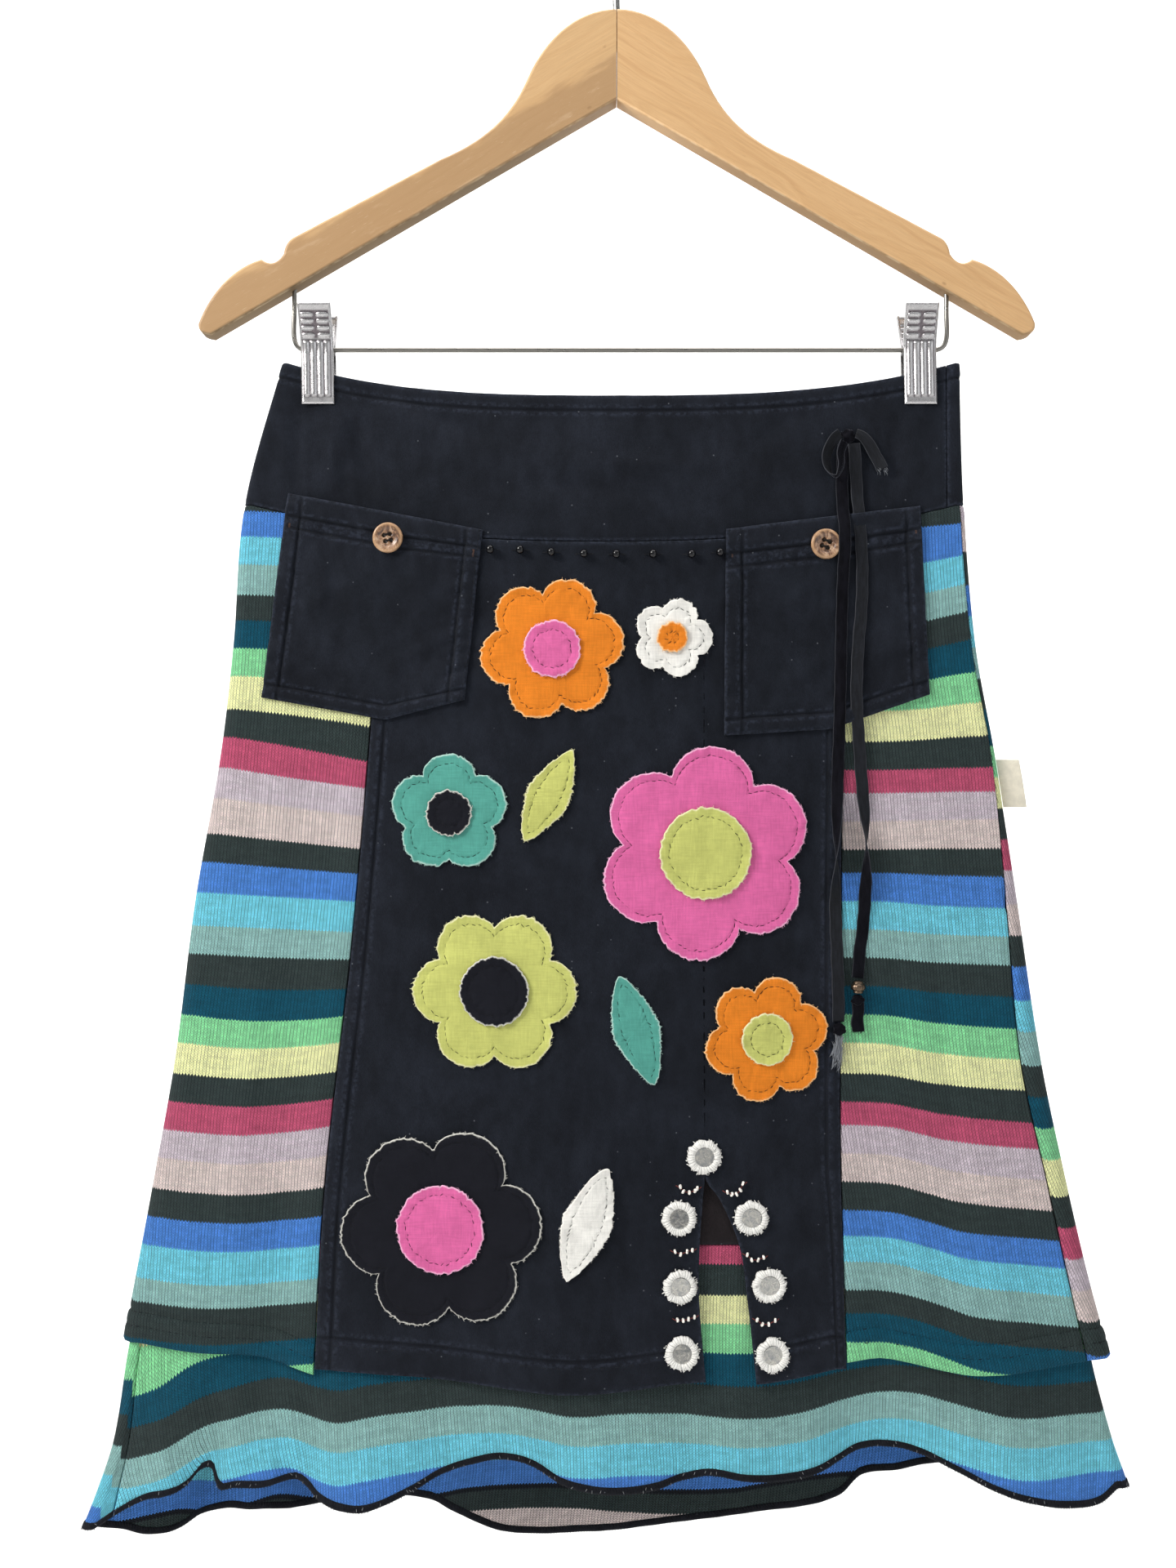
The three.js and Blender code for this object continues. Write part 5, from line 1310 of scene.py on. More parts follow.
def knot(centre, size, seed):
    """A small tight knot: a ball with the ridges of the ribbon wrapped round it."""
    lat, lon = np.meshgrid(np.linspace(0, math.pi, 26), round_angles(36), indexing="ij")
    wrap_over = 0.13 * np.sin(3 * lon + 4 * lat + seed) + 0.1 * np.sin(5 * lat - 2 * lon + 2 * seed)
    r = 1 + wrap_over * np.sin(lat)
    body = np.stack([r * np.sin(lat) * np.cos(lon), r * np.sin(lat) * np.sin(lon), r * np.cos(lat)], axis=-1)
    body = body.reshape(-1, 3) * size + np.asarray(centre)
    return body, grid_faces(26, 36, closed=True)[:, ::-1]


def frays(count, centre, spread, way, length, seed, wide):
    """Loose fibres round a cut end."""
    rng = np.random.default_rng(seed)
    points = np.asarray(centre) + rng.uniform(-1, 1, (count, 3)) * spread
    heading = unit(np.asarray(way) + rng.normal(0, 0.28, (count, 3)))
    normal = unit(np.cross(heading, rng.normal(0, 1, (count, 3))))
    return strands(points, heading, normal, rng.uniform(0.5, 1, count) * length, wide, wide, 1.6, 4)


class SKIRT_OT_ties(bpy.types.Operator):
    """Build the velvet ribbon ties with their knot, bead and cut ends"""
    bl_idname = "skirt.ties"
    bl_label = "Ribbon ties"

    def execute(self, context):
        width = context.scene.skirt_sizes.ribbon / MM
        velvet, satin = velvet_finish("velvet_pile"), satin_finish("satin_back")
        fluff = thread_finish("frayed_ends", dyed("#8e9298"))
        both = [velvet, satin]

        def tied(name, body, faces, materials, nodes, **more):
            """A knot, or frayed fibres, whose surface is pile away from any edge."""
            rim = np.full(len(body), 3.0)
            return put(piece(name, body, faces, materials, values={"rim": rim}, **more), nodes)

        ribbons, lines = {}, {}
        for node, route, wide, turns, per_mm in (
                ("tie_tail_left", TAIL_LEFT, width, ROLLS["left"], 0.9),
                ("tie_tail_right", TAIL_RIGHT, width, ROLLS["right"], 0.9),
                ("tie_loop", LOOP, width * 0.9, ROLLS["loop"], 1.6),
                ("tie_short_end", SHORT_END, width, ROLLS["short"], 1.6)):
            made, lines[node] = ribbon(node + "_ribbon", route, wide, turns, both, per_mm=per_mm)
            ribbons[node] = put(made, [node])
        middle = tied("tie_knot_wrap", *knot(TIE_KNOT, (3.6, 2.3, 3.6), 0.4), [velvet], ["tie_knot"])

        # The left tail's knot and its frayed cut end.
        ball, ball_faces = knot(TASSEL_KNOT, (3.3, 2.0, 3.3), 1.7)
        x, y, z = TASSEL_KNOT
        threads = join([
            (ball, ball_faces),
            frays(70, (x, y + 0.3, z - 8), (1.6, 0.7, 4), (-0.12, 0, -1), 13, 5, 0.3),
            frays(60, (x - 1.2, y, z - 15), (2.2, 0.9, 5), (-0.3, 0, -1), 9, 6, 0.22),
            frays(26, (x + 0.5, y, z - 12), (3.2, 1.0, 5), (0.4, 0, -1), 8, 7, 0.16),
        ])
        shade = np.array([0] * len(ball_faces) + [1] * (len(threads[1]) - len(ball_faces)))
        tassel = tied("tie_tassel_end", *threads, [velvet, fluff], ["tie_tassel"], index=shade)

        # The right tail's knot and squared end.
        x, y, z = TAB_KNOT
        fall = table("share roll lift", (0, 10, 0), (0.5, -14, 0), (1, 22, 0))
        tab, _ = ribbon("tie_tab_fall", [(x, y, z - 1), (x + 0.4, y - 0.4, z - 6), (x - 0.2, y, z - 12),
                                         (x + 0.3, y + 0.2, z - 16.6)], width, fall, both, 1.0, 0.5, 1.8)
        put(tab, ["tie_tab"])
        cut_end = frays(24, (x, y, z - 16.8), (3, 0.4, 0.4), (0, 0, -1), 2.4, 9, 0.14)
        tab_knot = tied("tie_tab_knot", *join([knot(TAB_KNOT, (3.2, 2.1, 3.0), 2.9), cut_end]), [velvet], [])

        body, faces = frays(26, (140.8, -6.6, -307.6), (2.6, 0.5, 1.6), (0.5, 0, -1), 3.4, 12, 0.16)
        fringe = put(piece("tie_short_end_fray", body, faces, [fluff]), [])

        # A ridged metal bead.
        tall, bore, levels, spokes = 6.6, 0.9, 34, 72
        profile = table("at r", (0, bore), (0.02, 2.1), (0.12, 2.6), (0.2, 2.4), (0.3, 3.2), (0.5, 3.6),
                        (0.7, 3.2), (0.8, 2.4), (0.88, 2.6), (0.98, 2.1), (1, bore))
        at, turn = np.meshgrid(np.linspace(0, 1, levels), round_angles(spokes), indexing="ij")
        r = smooth(profile, "at", "r", at) + 0.26 * np.abs(np.cos(5 * turn)) * np.sin(math.pi * at) ** 2
        shell = np.stack([r * np.cos(turn), r * np.sin(turn), (0.5 - at) * tall], axis=-1).reshape(-1, 3)
        inner = np.array([(bore * math.cos(a), bore * math.sin(a), h) for h in (-tall / 2, tall / 2)
                          for a in turn[0]])
        sides = np.concatenate([grid_faces(levels, spokes, closed=True),
                                grid_faces(2, spokes, closed=True) + len(shell)])[:, ::-1]
        bead = put(piece("tie_bead_metal", np.concatenate([shell, inner]) + np.asarray(TIE_BEAD), sides,
                         [metal_finish("aged_metal", "#6a5a4c", 0.28, 0.05, "#2b2421")]), ["tie_bead"])

        return {"FINISHED"}


# ------------------------------------------------------------------ stitches


def stitch_piece(name, rows, thread, length, wide=0.42, high=0.3):
    """Topstitching as one mesh of short threads. rows are the places given by Cloth.row."""
    parts = [strands(p, heading, normal, length, wide, high) for p, heading, normal in rows]
    return put(piece(name, *join(parts), [thread]), [])


def arc_from(reference, turn, points):
    """Distances round the cloth from a reference turn, for a grid of points."""
    steps = np.hypot(np.diff(points[..., 0], axis=1), np.diff(points[..., 1], axis=1))
    arc = np.concatenate([np.zeros((len(points), 1)), np.cumsum(steps, axis=1)], axis=1)
    start = [np.interp(reference, turn[k], arc[k]) for k in range(len(arc))]
    return arc - np.array(start)[:, None]


# ------------------------------------------------------------------ yoke, apron and knit panels

LEFT_ENDS = (
    -328.3, -341.6, -357, -371, -385.4, -400, -415.6, -431.9, -447.9, -464.7, -480.7, -498.4,
    -514.4, -530.8, -548, -562.5, -577.8, -594.6, -609.8, -625.2, -640.4, -656, -671.5, -686.9,
    -701.3, -717.2, -734.1, -746.6, -765.6, -779.4, -795)
RIGHT_ENDS = (
    -339.4, -357, -373, -388.8, -403, -419.2, -434.9, -450, -464.4, -478.5, -493, -507.6,
    -521, -534.2, -549.3, -565, -578.5, -593.5, -608.2, -624.2, -638.4, -652.7, -667.3, -681.2,
    -695, -709.9, -723.3, -737.5, -751, -765.3, -790)
BACK_STRIPE, BACK_FIRST = 15.3, -316.4
FLOUNCE_ENDS = named(
    "end tint", (-724.7, "raspberry"), (-740.5, "charcoal"), (-755.6, "yellow"), (-770.3, "green"),
    (-785.8, "teal"), (-802, "charcoal"), (-817.5, "aqua"), (-833, "turquoise"), (-848, "blue"),
    (-849.4, "twill"), (-860.5, "charcoal"), (-876, "pale"), (-893, "lilac"))
# How far the stripes of the left side drop by its inner edge, and how they bow between.
LEFT_TILT = table(
    "z drop bow", (-420, 3, 0), (-460, 13, 0), (-475, 11, 0), (-505, 8, 0), (-530, 5, 0), (-550, 3, 0),
    (-580, 2, 1.5), (-595, 0, 3), (-625, -2, 3), (-655, -3, 3.5), (-685, -2, 3.5), (-720, -1.5, 3.5))
RIGHT_TILT = table(
    "z drop", (-330, -3.5), (-450, -3.5), (-470, -1.3), (-505, -1), (-520, 2), (-540, 4), (-570, 4.6),
    (-590, 6.8), (-607, 8.8), (-622, 9.9), (-640, 10), (-655, 12.6), (-672, 14.4), (-703, 17.2),
    (-720, 18), (-760, 21.5), (-790, 23))
RIGHT_EASE = table("s share", (0, 0), (0.25, 0.12), (0.42, 0.42), (0.53, 0.65), (0.7, 0.8), (1, 1))
RIGHT_RISE = table("z rise", (-330, 1), (-342, 2), (-358, 4), (-392, 4), (-406, 3.2), (-422, 2.4), (-440, 1),
                   (-460, 0), (-800, 0))
FLOUNCE_LINE = {
    "front": table(
        "x z", (-258.8, -830.8), (-239.6, -824.3), (-220.6, -813.7), (-201.7, -808.1), (-186.3, -804.3),
        (-174.8, -803.3), (-159.9, -807.1), (-146.2, -808.4), (-131.3, -805.2), (-106.6, -802),
        (-78, -798.4), (-53.3, -798.1), (-23.8, -801.3), (4.7, -799.9), (33.3, -802), (61.9, -804.3),
        (90.5, -803.3), (119, -797.5), (141.6, -794.1), (160.8, -795.4), (185.6, -801.3),
        (204.8, -805.6), (223.5, -807.1), (255.1, -806)),
    "back": table(
        "x z", (-280, -826), (-200, -816), (-110, -811), (-40, -815), (60, -812), (134, -797),
        (190, -796), (270, -806)),
}


def striped(context, ends):
    colours = context.scene.skirt_colours
    return [(-end, tuple(getattr(colours, tint))) for end, tint in ends]


# From a panel's edge to the stitching that holds its turning.
WAIST_STITCH = 8.2
APRON_SIDE_STITCH, APRON_HEM_STITCH = 7.6, 17.2
KNIT_STITCHES = (15.8, 8.8)


def below_yoke(u):
    return yoke_line(u) - SEAM_GAP


def twill_cut(cloth):
    """The cut of a plain panel: how far across it, and how far down the skirt."""
    return lambda s, t, p: (s * cloth.width, -p[..., 2])


class SKIRT_OT_panels(bpy.types.Operator):
    """Build the yoke and the apron with their topstitching"""
    bl_idname = "skirt.panels"
    bl_label = "Yoke and apron"

    def execute(self, context):
        sizes, colours = context.scene.skirt_sizes, context.scene.skirt_colours
        wall, stitch = sizes.twill_wall / MM, sizes.stitch / MM
        twill, black = washed_twill(colours), black_thread()

        def waist_fold(left, right, top, bottom):
            return 0.35 * (top < WAIST_STITCH - 0.2) * np.clip(top / 1.5, 0, 1)

        yoke = {"top": waist_line, "bottom": yoke_line, "thick": wall, "step": 2.8, "swell": waist_fold,
                "ditches": [("top", WAIST_STITCH, 0.4), ("bottom", 1.6, 0.22)]}
        front = panel(skirt, [left_seam[1], fixed(-1), yoke_seam[-1]], **yoke)
        back = panel(skirt, [yoke_seam[1], fixed(1), fixed(2), fixed(4), past_back(left_seam[-1])],
                     **{**yoke, "step": 4.0})
        for name, cloth, flat in (("yoke_front", front, (0.375, 0.086)), ("yoke_back", back, (0.385, 0.086))):
            made = put(cloth.build(name + "_cloth", [twill], twill_cut(cloth)), [name])
            rows = [cloth.row("top", WAIST_STITCH, stitch + 0.6)]
            thread = stitch_piece(name + "_stitches", rows, black, stitch)

        def apron_turnings(left, right, top, bottom):
            side = np.minimum(left, right)
            turned = (side < APRON_SIDE_STITCH - 0.2) | (bottom < APRON_HEM_STITCH - 0.2)
            return 0.4 * turned * np.clip(np.minimum(side, bottom) / 1.2, 0, 1)

        lines = [("left", APRON_SIDE_STITCH, 0.5), ("right", APRON_SIDE_STITCH, 0.5),
                 ("bottom", APRON_HEM_STITCH, 0.55), ("bottom", 1.8, 0.25)]
        apron = panel(
            skirt, [apron_side["left"][1], slit_side["left"], slit_side["right"], apron_side["right"][-1]],
            below_yoke, hem_line(APRON_HEM), wall, 3.5, ditches=lines, swell=apron_turnings)
        first, last = apron.shares[1], apron.shares[2]
        x = smooth(SLIT, "z", "left", SLIT_TOP)
        u = skirt.turn_at(np.array([x]), np.array([float(SLIT_TOP)]))
        down = float(((SLIT_TOP - below_yoke(u)) / (hem_line(APRON_HEM)(u) - yoke_line(u) + SEAM_GAP))[0])

        def near(p):
            z = p[..., 2]
            sides = [np.abs(p[..., 0] - smooth(SLIT, "z", k, z)) for k in ("left", "right")]
            return np.hypot(np.minimum(*sides), np.maximum(z - SLIT_TOP, 0))

        made = put(apron.build("apron_cloth", [twill], lambda s, t, p: (p[..., 0], -p[..., 2]),
                               slit=(first, last, down, near)), ["apron"])
        rows = [apron.row(side, APRON_SIDE_STITCH, stitch + 0.6, 0.0, 0.992) for side in ("left", "right")]
        beside_slit = [(0.02, 0.72), (0.93, 0.98)]
        rows += [apron.row("bottom", APRON_HEM_STITCH, stitch + 0.6, *share) for share in beside_slit]
        rows += [apron.row("bottom", APRON_HEM_STITCH - 3.6, stitch + 0.9, *share) for share in beside_slit]
        thread = stitch_piece("apron_stitches", rows, black, stitch)
        return {"FINISHED"}


class SKIRT_OT_knit(bpy.types.Operator):
    """Build the striped knit sides and back with their stitched hem"""
    bl_idname = "skirt.knit"
    bl_label = "Striped knit"

    def execute(self, context):
        sizes = context.scene.skirt_sizes
        wall, stitch = sizes.knit_wall / MM, sizes.stitch / MM
        black = black_thread()

        def hem_turning(left, right, top, bottom):
            return 0.45 * (bottom < KNIT_STITCHES[0] - 0.3) * np.clip(bottom / 1.5, 0, 1)

        band = {"thick": wall, "step": 3.8, "pucker": 0.2, "swell": hem_turning,
                "ditches": [("bottom", KNIT_STITCHES[0], 0.6), ("bottom", KNIT_STITCHES[1], 0.45), ("top", 1.6, 0.3)]}
        hem = hem_line(KNIT_HEM)
        left = panel(skirt, [left_seam[1], fixed(-1), apron_side["left"][-1]], below_yoke, hem, **band)
        right = panel(skirt, [apron_side["right"][1], right_seam[-1]], below_yoke, hem, **band)
        back = panel(skirt, [right_seam[1], fixed(2), fixed(4), past_back(left_seam[-1])],
                     below_yoke, hem_line(BACK_HEM), **{**band, "step": 5.0})

        def left_cut(s, t, p):
            turn, z = left.where(s, t)
            inner = apron_side["left"][-1](z)
            share = np.clip((turn + 1) / (inner + 1), 0, 1)
            drop, bow = smooth(LEFT_TILT, "z", "drop", z), smooth(LEFT_TILT, "z", "bow", z)
            stripe = z + drop * share + bow * 4 * share * (1 - share)
            return arc_from(-0.62, turn, p), -stripe

        def right_cut(s, t, p):
            turn, z = right.where(s, t)
            stripe = z + smooth(RIGHT_TILT, "z", "drop", z) * smooth(RIGHT_EASE, "s", "share", s)
            stripe = stripe - smooth(RIGHT_RISE, "z", "rise", z) * np.clip((p[..., 0] - 165) / 21, 0, 1)
            return arc_from(0.7, turn, p), -stripe

        def back_cut(s, t, p):
            turn, z = back.where(s, t)
            stripe = YOKE_SIDE + (z - YOKE_SIDE) * (1 - 0.1 * across(turn) ** 2)
            return arc_from(3.0, turn, p), -stripe

        back_ends = [(BACK_FIRST - BACK_STRIPE * (k + 1), CYCLE[(k + 10) % 12]) for k in range(31)]
        jobs = [
            ("side_front_left", left, left_cut, list(zip(LEFT_ENDS, CYCLE * 3)), (0.135, 0.47), 0.047),
            ("side_front_right", right, right_cut, list(zip(RIGHT_ENDS, CYCLE * 3)), (0.14, 0.47), 0.046),
            ("back_panel", back, back_cut, back_ends, (0.6, 0.475), 0.235),
        ]
        for name, cloth, cut, ends, flat, area in jobs:
            yarn = knit_finish(name + "_knit", striped(context, ends), sizes)
            made = put(cloth.build(name + "_cloth", [yarn], cut), [name])
            rows = [cloth.row("bottom", distance, stitch + 0.5) for distance in KNIT_STITCHES]
            thread = stitch_piece(name + "_stitches", rows, black, stitch, 0.5, 0.36)
        return {"FINISHED"}


# ------------------------------------------------------------------ underskirt and flounce


class SKIRT_OT_underskirt(bpy.types.Operator):
    """Build the plain dark underskirt that carries the flounce"""
    bl_idname = "skirt.underskirt"
    bl_label = "Underskirt"

    def execute(self, context):
        lining = twill_finish("dark_lining", dyed("#1d191a"), "#2a2c33")
        right, left = (both_edges(skirt, fixed(turn), SEAM_GAP) for turn in (1.5, -1.5))
        common = {"top": below_yoke, "bottom": fixed(FLOUNCE_TOP + SEAM_GAP), "thick": LINING, "step": 9.0,
                  "shift": -LAYER, "pucker": 0}
        front = panel(skirt, [left[1], fixed(-1), fixed(1), right[-1]], **common)
        back = panel(skirt, [right[1], fixed(2), fixed(4), past_back(left[-1])], **common)
        for name, cloth in (("underskirt_front", front), ("underskirt_back", back)):
            made = put(cloth.build(name + "_cloth", [lining], twill_cut(cloth)), [name])
        return {"FINISHED"}


class SKIRT_OT_flounce(bpy.types.Operator):
    """Build the wavy striped flounce and its overlocked black edge"""
    bl_idname = "skirt.flounce"
    bl_label = "Flounce"

    def execute(self, context):
        sizes = context.scene.skirt_sizes
        wall = sizes.knit_wall / MM
        stripes = striped(context, [(row["end"], row["tint"]) for row in FLOUNCE_ENDS])
        outer = knit_finish("flounce_knit", stripes, sizes)
        # the inside is the same yarn, painted darker as shade
        inside = knit_finish("flounce_inside", stripes, sizes, purl=True, grey=0.86)
        edge_cloth = twill_finish("overlocked_edge", dyed("#101116"), "#2b2c33")
        black, pale = black_thread(), thread_finish("pale_lint", dyed("#a9abad"))
        edges = {
            "front": [flounce_seam[1], fixed(1), flounce_side[-1]],
            "back": [flounce_side[1], fixed(2), fixed(4), fixed(5), past_back(flounce_seam[-1])],
        }
        for side, turns in edges.items():
            cloth = panel(flounce, turns, fixed(FLOUNCE_TOP), lambda u: flounce_hem(u) + EDGE_WALL, wall, 3.2)
            middle = 0.0 if side == "front" else 3.0

            def cut(s, t, p, cloth=cloth, middle=middle):
                turn, z = cloth.where(s, t)
                rows = [smooth(FLOUNCE_LINE[k], "x", "z", p[..., 0]) for k in ("front", "back")]
                line = np.where(wrap(turn) <= 1.5, rows[0], rows[1])
                shift = (line + 802) * np.clip((-735 - z) / 60, 0.3, 1)
                return arc_from(middle, turn, p), -(z - shift)

            made = put(cloth.build(f"flounce_{side}_cloth", [outer, inside], cut, inner=1),
                       [f"flounce_{side}"])
            hem = panel(flounce, turns, lambda u: flounce_hem(u) + EDGE_HEIGHT, flounce_hem, EDGE_WALL, 1.3,
                        shift=0.5, pucker=0)
            strip = put(hem.build(f"flounce_edge_{side}_cloth", [edge_cloth], twill_cut(hem)),
                        [f"flounce_edge_{side}"])

            # Overlock threads slanting over the edge, with pale lint caught in them.
            count = int(hem.width / 1.5)
            share = (np.arange(count) + 0.5) / count
            rng = np.random.default_rng(3 if side == "front" else 4)
            parts = []
            for down, slope in ((0.3, 0.35), (0.72, -0.3)):
                p, way, normal = hem.frames(share, np.full(count, down) + rng.uniform(-0.06, 0.06, count), False)
                drop = unit(way * slope + np.cross(way, normal))
                parts.append(strands(p, drop, normal, 2.6, 0.5, 0.42))
            for down in (0.3, 0.7):
                p, way, normal = hem.frames(share, np.full(count, down), False, -EDGE_WALL)
                parts.append(strands(p, unit(way * 0.3 - np.cross(way, normal)), -normal, 2.6, 0.5, 0.42))
            threads = put(piece(f"flounce_edge_{side}_threads", *join(parts), [black]), [])
            some = rng.random(count) < 0.22
            p, way, normal = hem.frames(share[some], rng.uniform(0.2, 0.85, some.sum()), False, 0.25)
            slant = unit(way * rng.normal(0, 0.6, (some.sum(), 1)) + np.cross(way, normal))
            fluff = strands(p, slant, normal, 1.7, 0.2, 0.2)
            lint = put(piece(f"flounce_edge_{side}_lint", *fluff, [pale]), [])
        return {"FINISHED"}

# ------------------------------------------------------------------ pockets and buttons

POCKETS = {
    "pocket_left": {
        "top_left": (-174.5, -319.5), "top_right": (-70.6, -340), "bottom_left": (-188.2, -428),
        "tip": (-122.2, -440), "bottom_right": (-80, -429.6), "tip_share": 5 / 8,
        "creases": named(
            "x z to_x to_z wide deep bend",
            (-150, -352, -141, -398, 4, -0.7, 3), (-100, -356, -92, -402, 6, -0.7, -4),
            (-166, -400, -120, -420, 5, 0.5, 3), (-132, -346, -126, -372, 3, 0.5, 1),
            (-112, -410, -90, -386, 5, 0.5, 3), (-168, -352, -172, -400, 4, -0.5, 2)),
    },
    "pocket_right": {
        "top_left": (57.2, -339.6), "top_right": (160.9, -326.2), "bottom_left": (56, -448.5),
        "tip": (112.5, -445), "bottom_right": (165.6, -426.4), "tip_share": 4 / 8,
        "creases": named(
            "x z to_x to_z wide deep bend",
            (80, -352, 74, -400, 5, -0.7, 3), (140, -352, 150, -402, 5, -0.7, -3),
            (70, -420, 112, -408, 6, 0.5, 4), (96, -372, 120, -392, 5, -0.45, -3),
            (128, -410, 150, -392, 5, 0.45, 2)),
    },
}
POCKET_SIDE, POCKET_TOP, POCKET_BOTTOM = 8.4, (12.8, 19.8), 8.2  # from its edges to its stitching
POCKET_RIM = 1.6  # to the second row, close to each side
BUTTON = {"radius": 8, "thick": 2.4, "hole": 1.1, "ring": 2.3}
BUTTONS = {"button_left": (-120.5, -344.2, 12), "button_right": (109.8, -347.4, -20)}


def pocket_cloth(size, wall):
    """The pocket's wall: its place on the skirt from its corners, its own creases and its stitching."""
    tip = size["tip_share"]
    top_left, top_right, bottom_left, lowest, bottom_right = (
        size[corner] for corner in ("top_left", "top_right", "bottom_left", "tip", "bottom_right"))

    def spot(s, t, k):
        """Where a share across and down the pocket is: its x for k of 0, its z for 1."""
        near, far = np.clip(s / tip, None, 1), np.clip((s - tip) / (1 - tip), 0, None)
        low = np.where(s <= tip, lerp(bottom_left[k], lowest[k], near), lerp(lowest[k], bottom_right[k], far))
        return lerp(lerp(top_left[k], top_right[k], s), low, t)

    def place(s, t, out):
        x, z = spot(s, t, 0), spot(s, t, 1)
        slack = 1.1 * np.sin(math.pi * np.clip(s, 0, 1)) * (1 - np.clip(t, 0, 1)) ** 1.5
        between_rows = np.exp(-(((t * height - 16.3) / 3.4) ** 2))
        ruffle = 0.36 * np.sin(x * 1.15 + 1.8 * wander(x, z, 12, 3)) * between_rows
        own = 1.5 * creased(size["creases"], x, z) + slack + 0.2 * wander(x, z, 13, 5) + ruffle
        return skirt.on_front(x, z, LIFT + wall + out + np.maximum(own, -0.25))

    height = abs(lowest[1] - top_left[1])
    lines = [("left", POCKET_SIDE, 0.75), ("right", POCKET_SIDE, 0.75), ("top", POCKET_TOP[0], 0.75),
             ("top", POCKET_TOP[1], 0.75), ("bottom", POCKET_BOTTOM, 0.55), ("left", POCKET_RIM, 0.3),
             ("right", POCKET_RIM, 0.3)]

    def turnings(left, right, top, bottom):
        turned = ((np.minimum(left, right) < POCKET_SIDE - 0.2) | (bottom < POCKET_BOTTOM - 0.2)
                  | (top < POCKET_TOP[0] - 0.2))
        return 0.75 * turned * np.clip(np.minimum.reduce([left, right, top, bottom]) / 1.2, 0, 1)

    return Cloth(place, math.dist(top_left, top_right), height, wall, 1.9, lines, turnings, 0.45)


class SKIRT_OT_pockets(bpy.types.Operator):
    """Build the two patch pockets with their turned edges and stitching"""
    bl_idname = "skirt.pockets"
    bl_label = "Pockets"

    def execute(self, context):
        sizes, colours = context.scene.skirt_sizes, context.scene.skirt_colours
        twill, black, rust = washed_twill(colours), black_thread(), thread_finish("rust_thread", dyed("#5e4436"))
        stitch, sides = sizes.stitch / MM, ("left", "right")
        for name, size in POCKETS.items():
            cloth = pocket_cloth(size, sizes.twill_wall / MM)
            made = put(cloth.build(name + "_cloth", [twill], twill_cut(cloth)), [name])
            rows = [cloth.row(side, POCKET_SIDE, stitch + 0.5, 0.12, 0.95) for side in sides]
            rows += [cloth.row(side, POCKET_RIM, stitch + 0.6) for side in sides]
            rows += [cloth.row("top", distance, stitch + 0.5) for distance in POCKET_TOP]
            rows += [cloth.row("bottom", POCKET_BOTTOM, stitch + 0.5, 0.06, 0.94)]
            # A short bar of close rust stitches at each top corner.
            bars = [cloth.row(side, 3.4, 0.45, 0.125, 0.165) for side in sides]
            bars = [(p, np.cross(normal, heading), normal) for p, heading, normal in bars]
            parts = [stitch_piece(name + "_stitches", rows, black, stitch, 0.42, 0.34),
                     stitch_piece(name + "_bar_tacks", bars, rust, 1.4, 0.3, 0.3)]
        return {"FINISHED"}


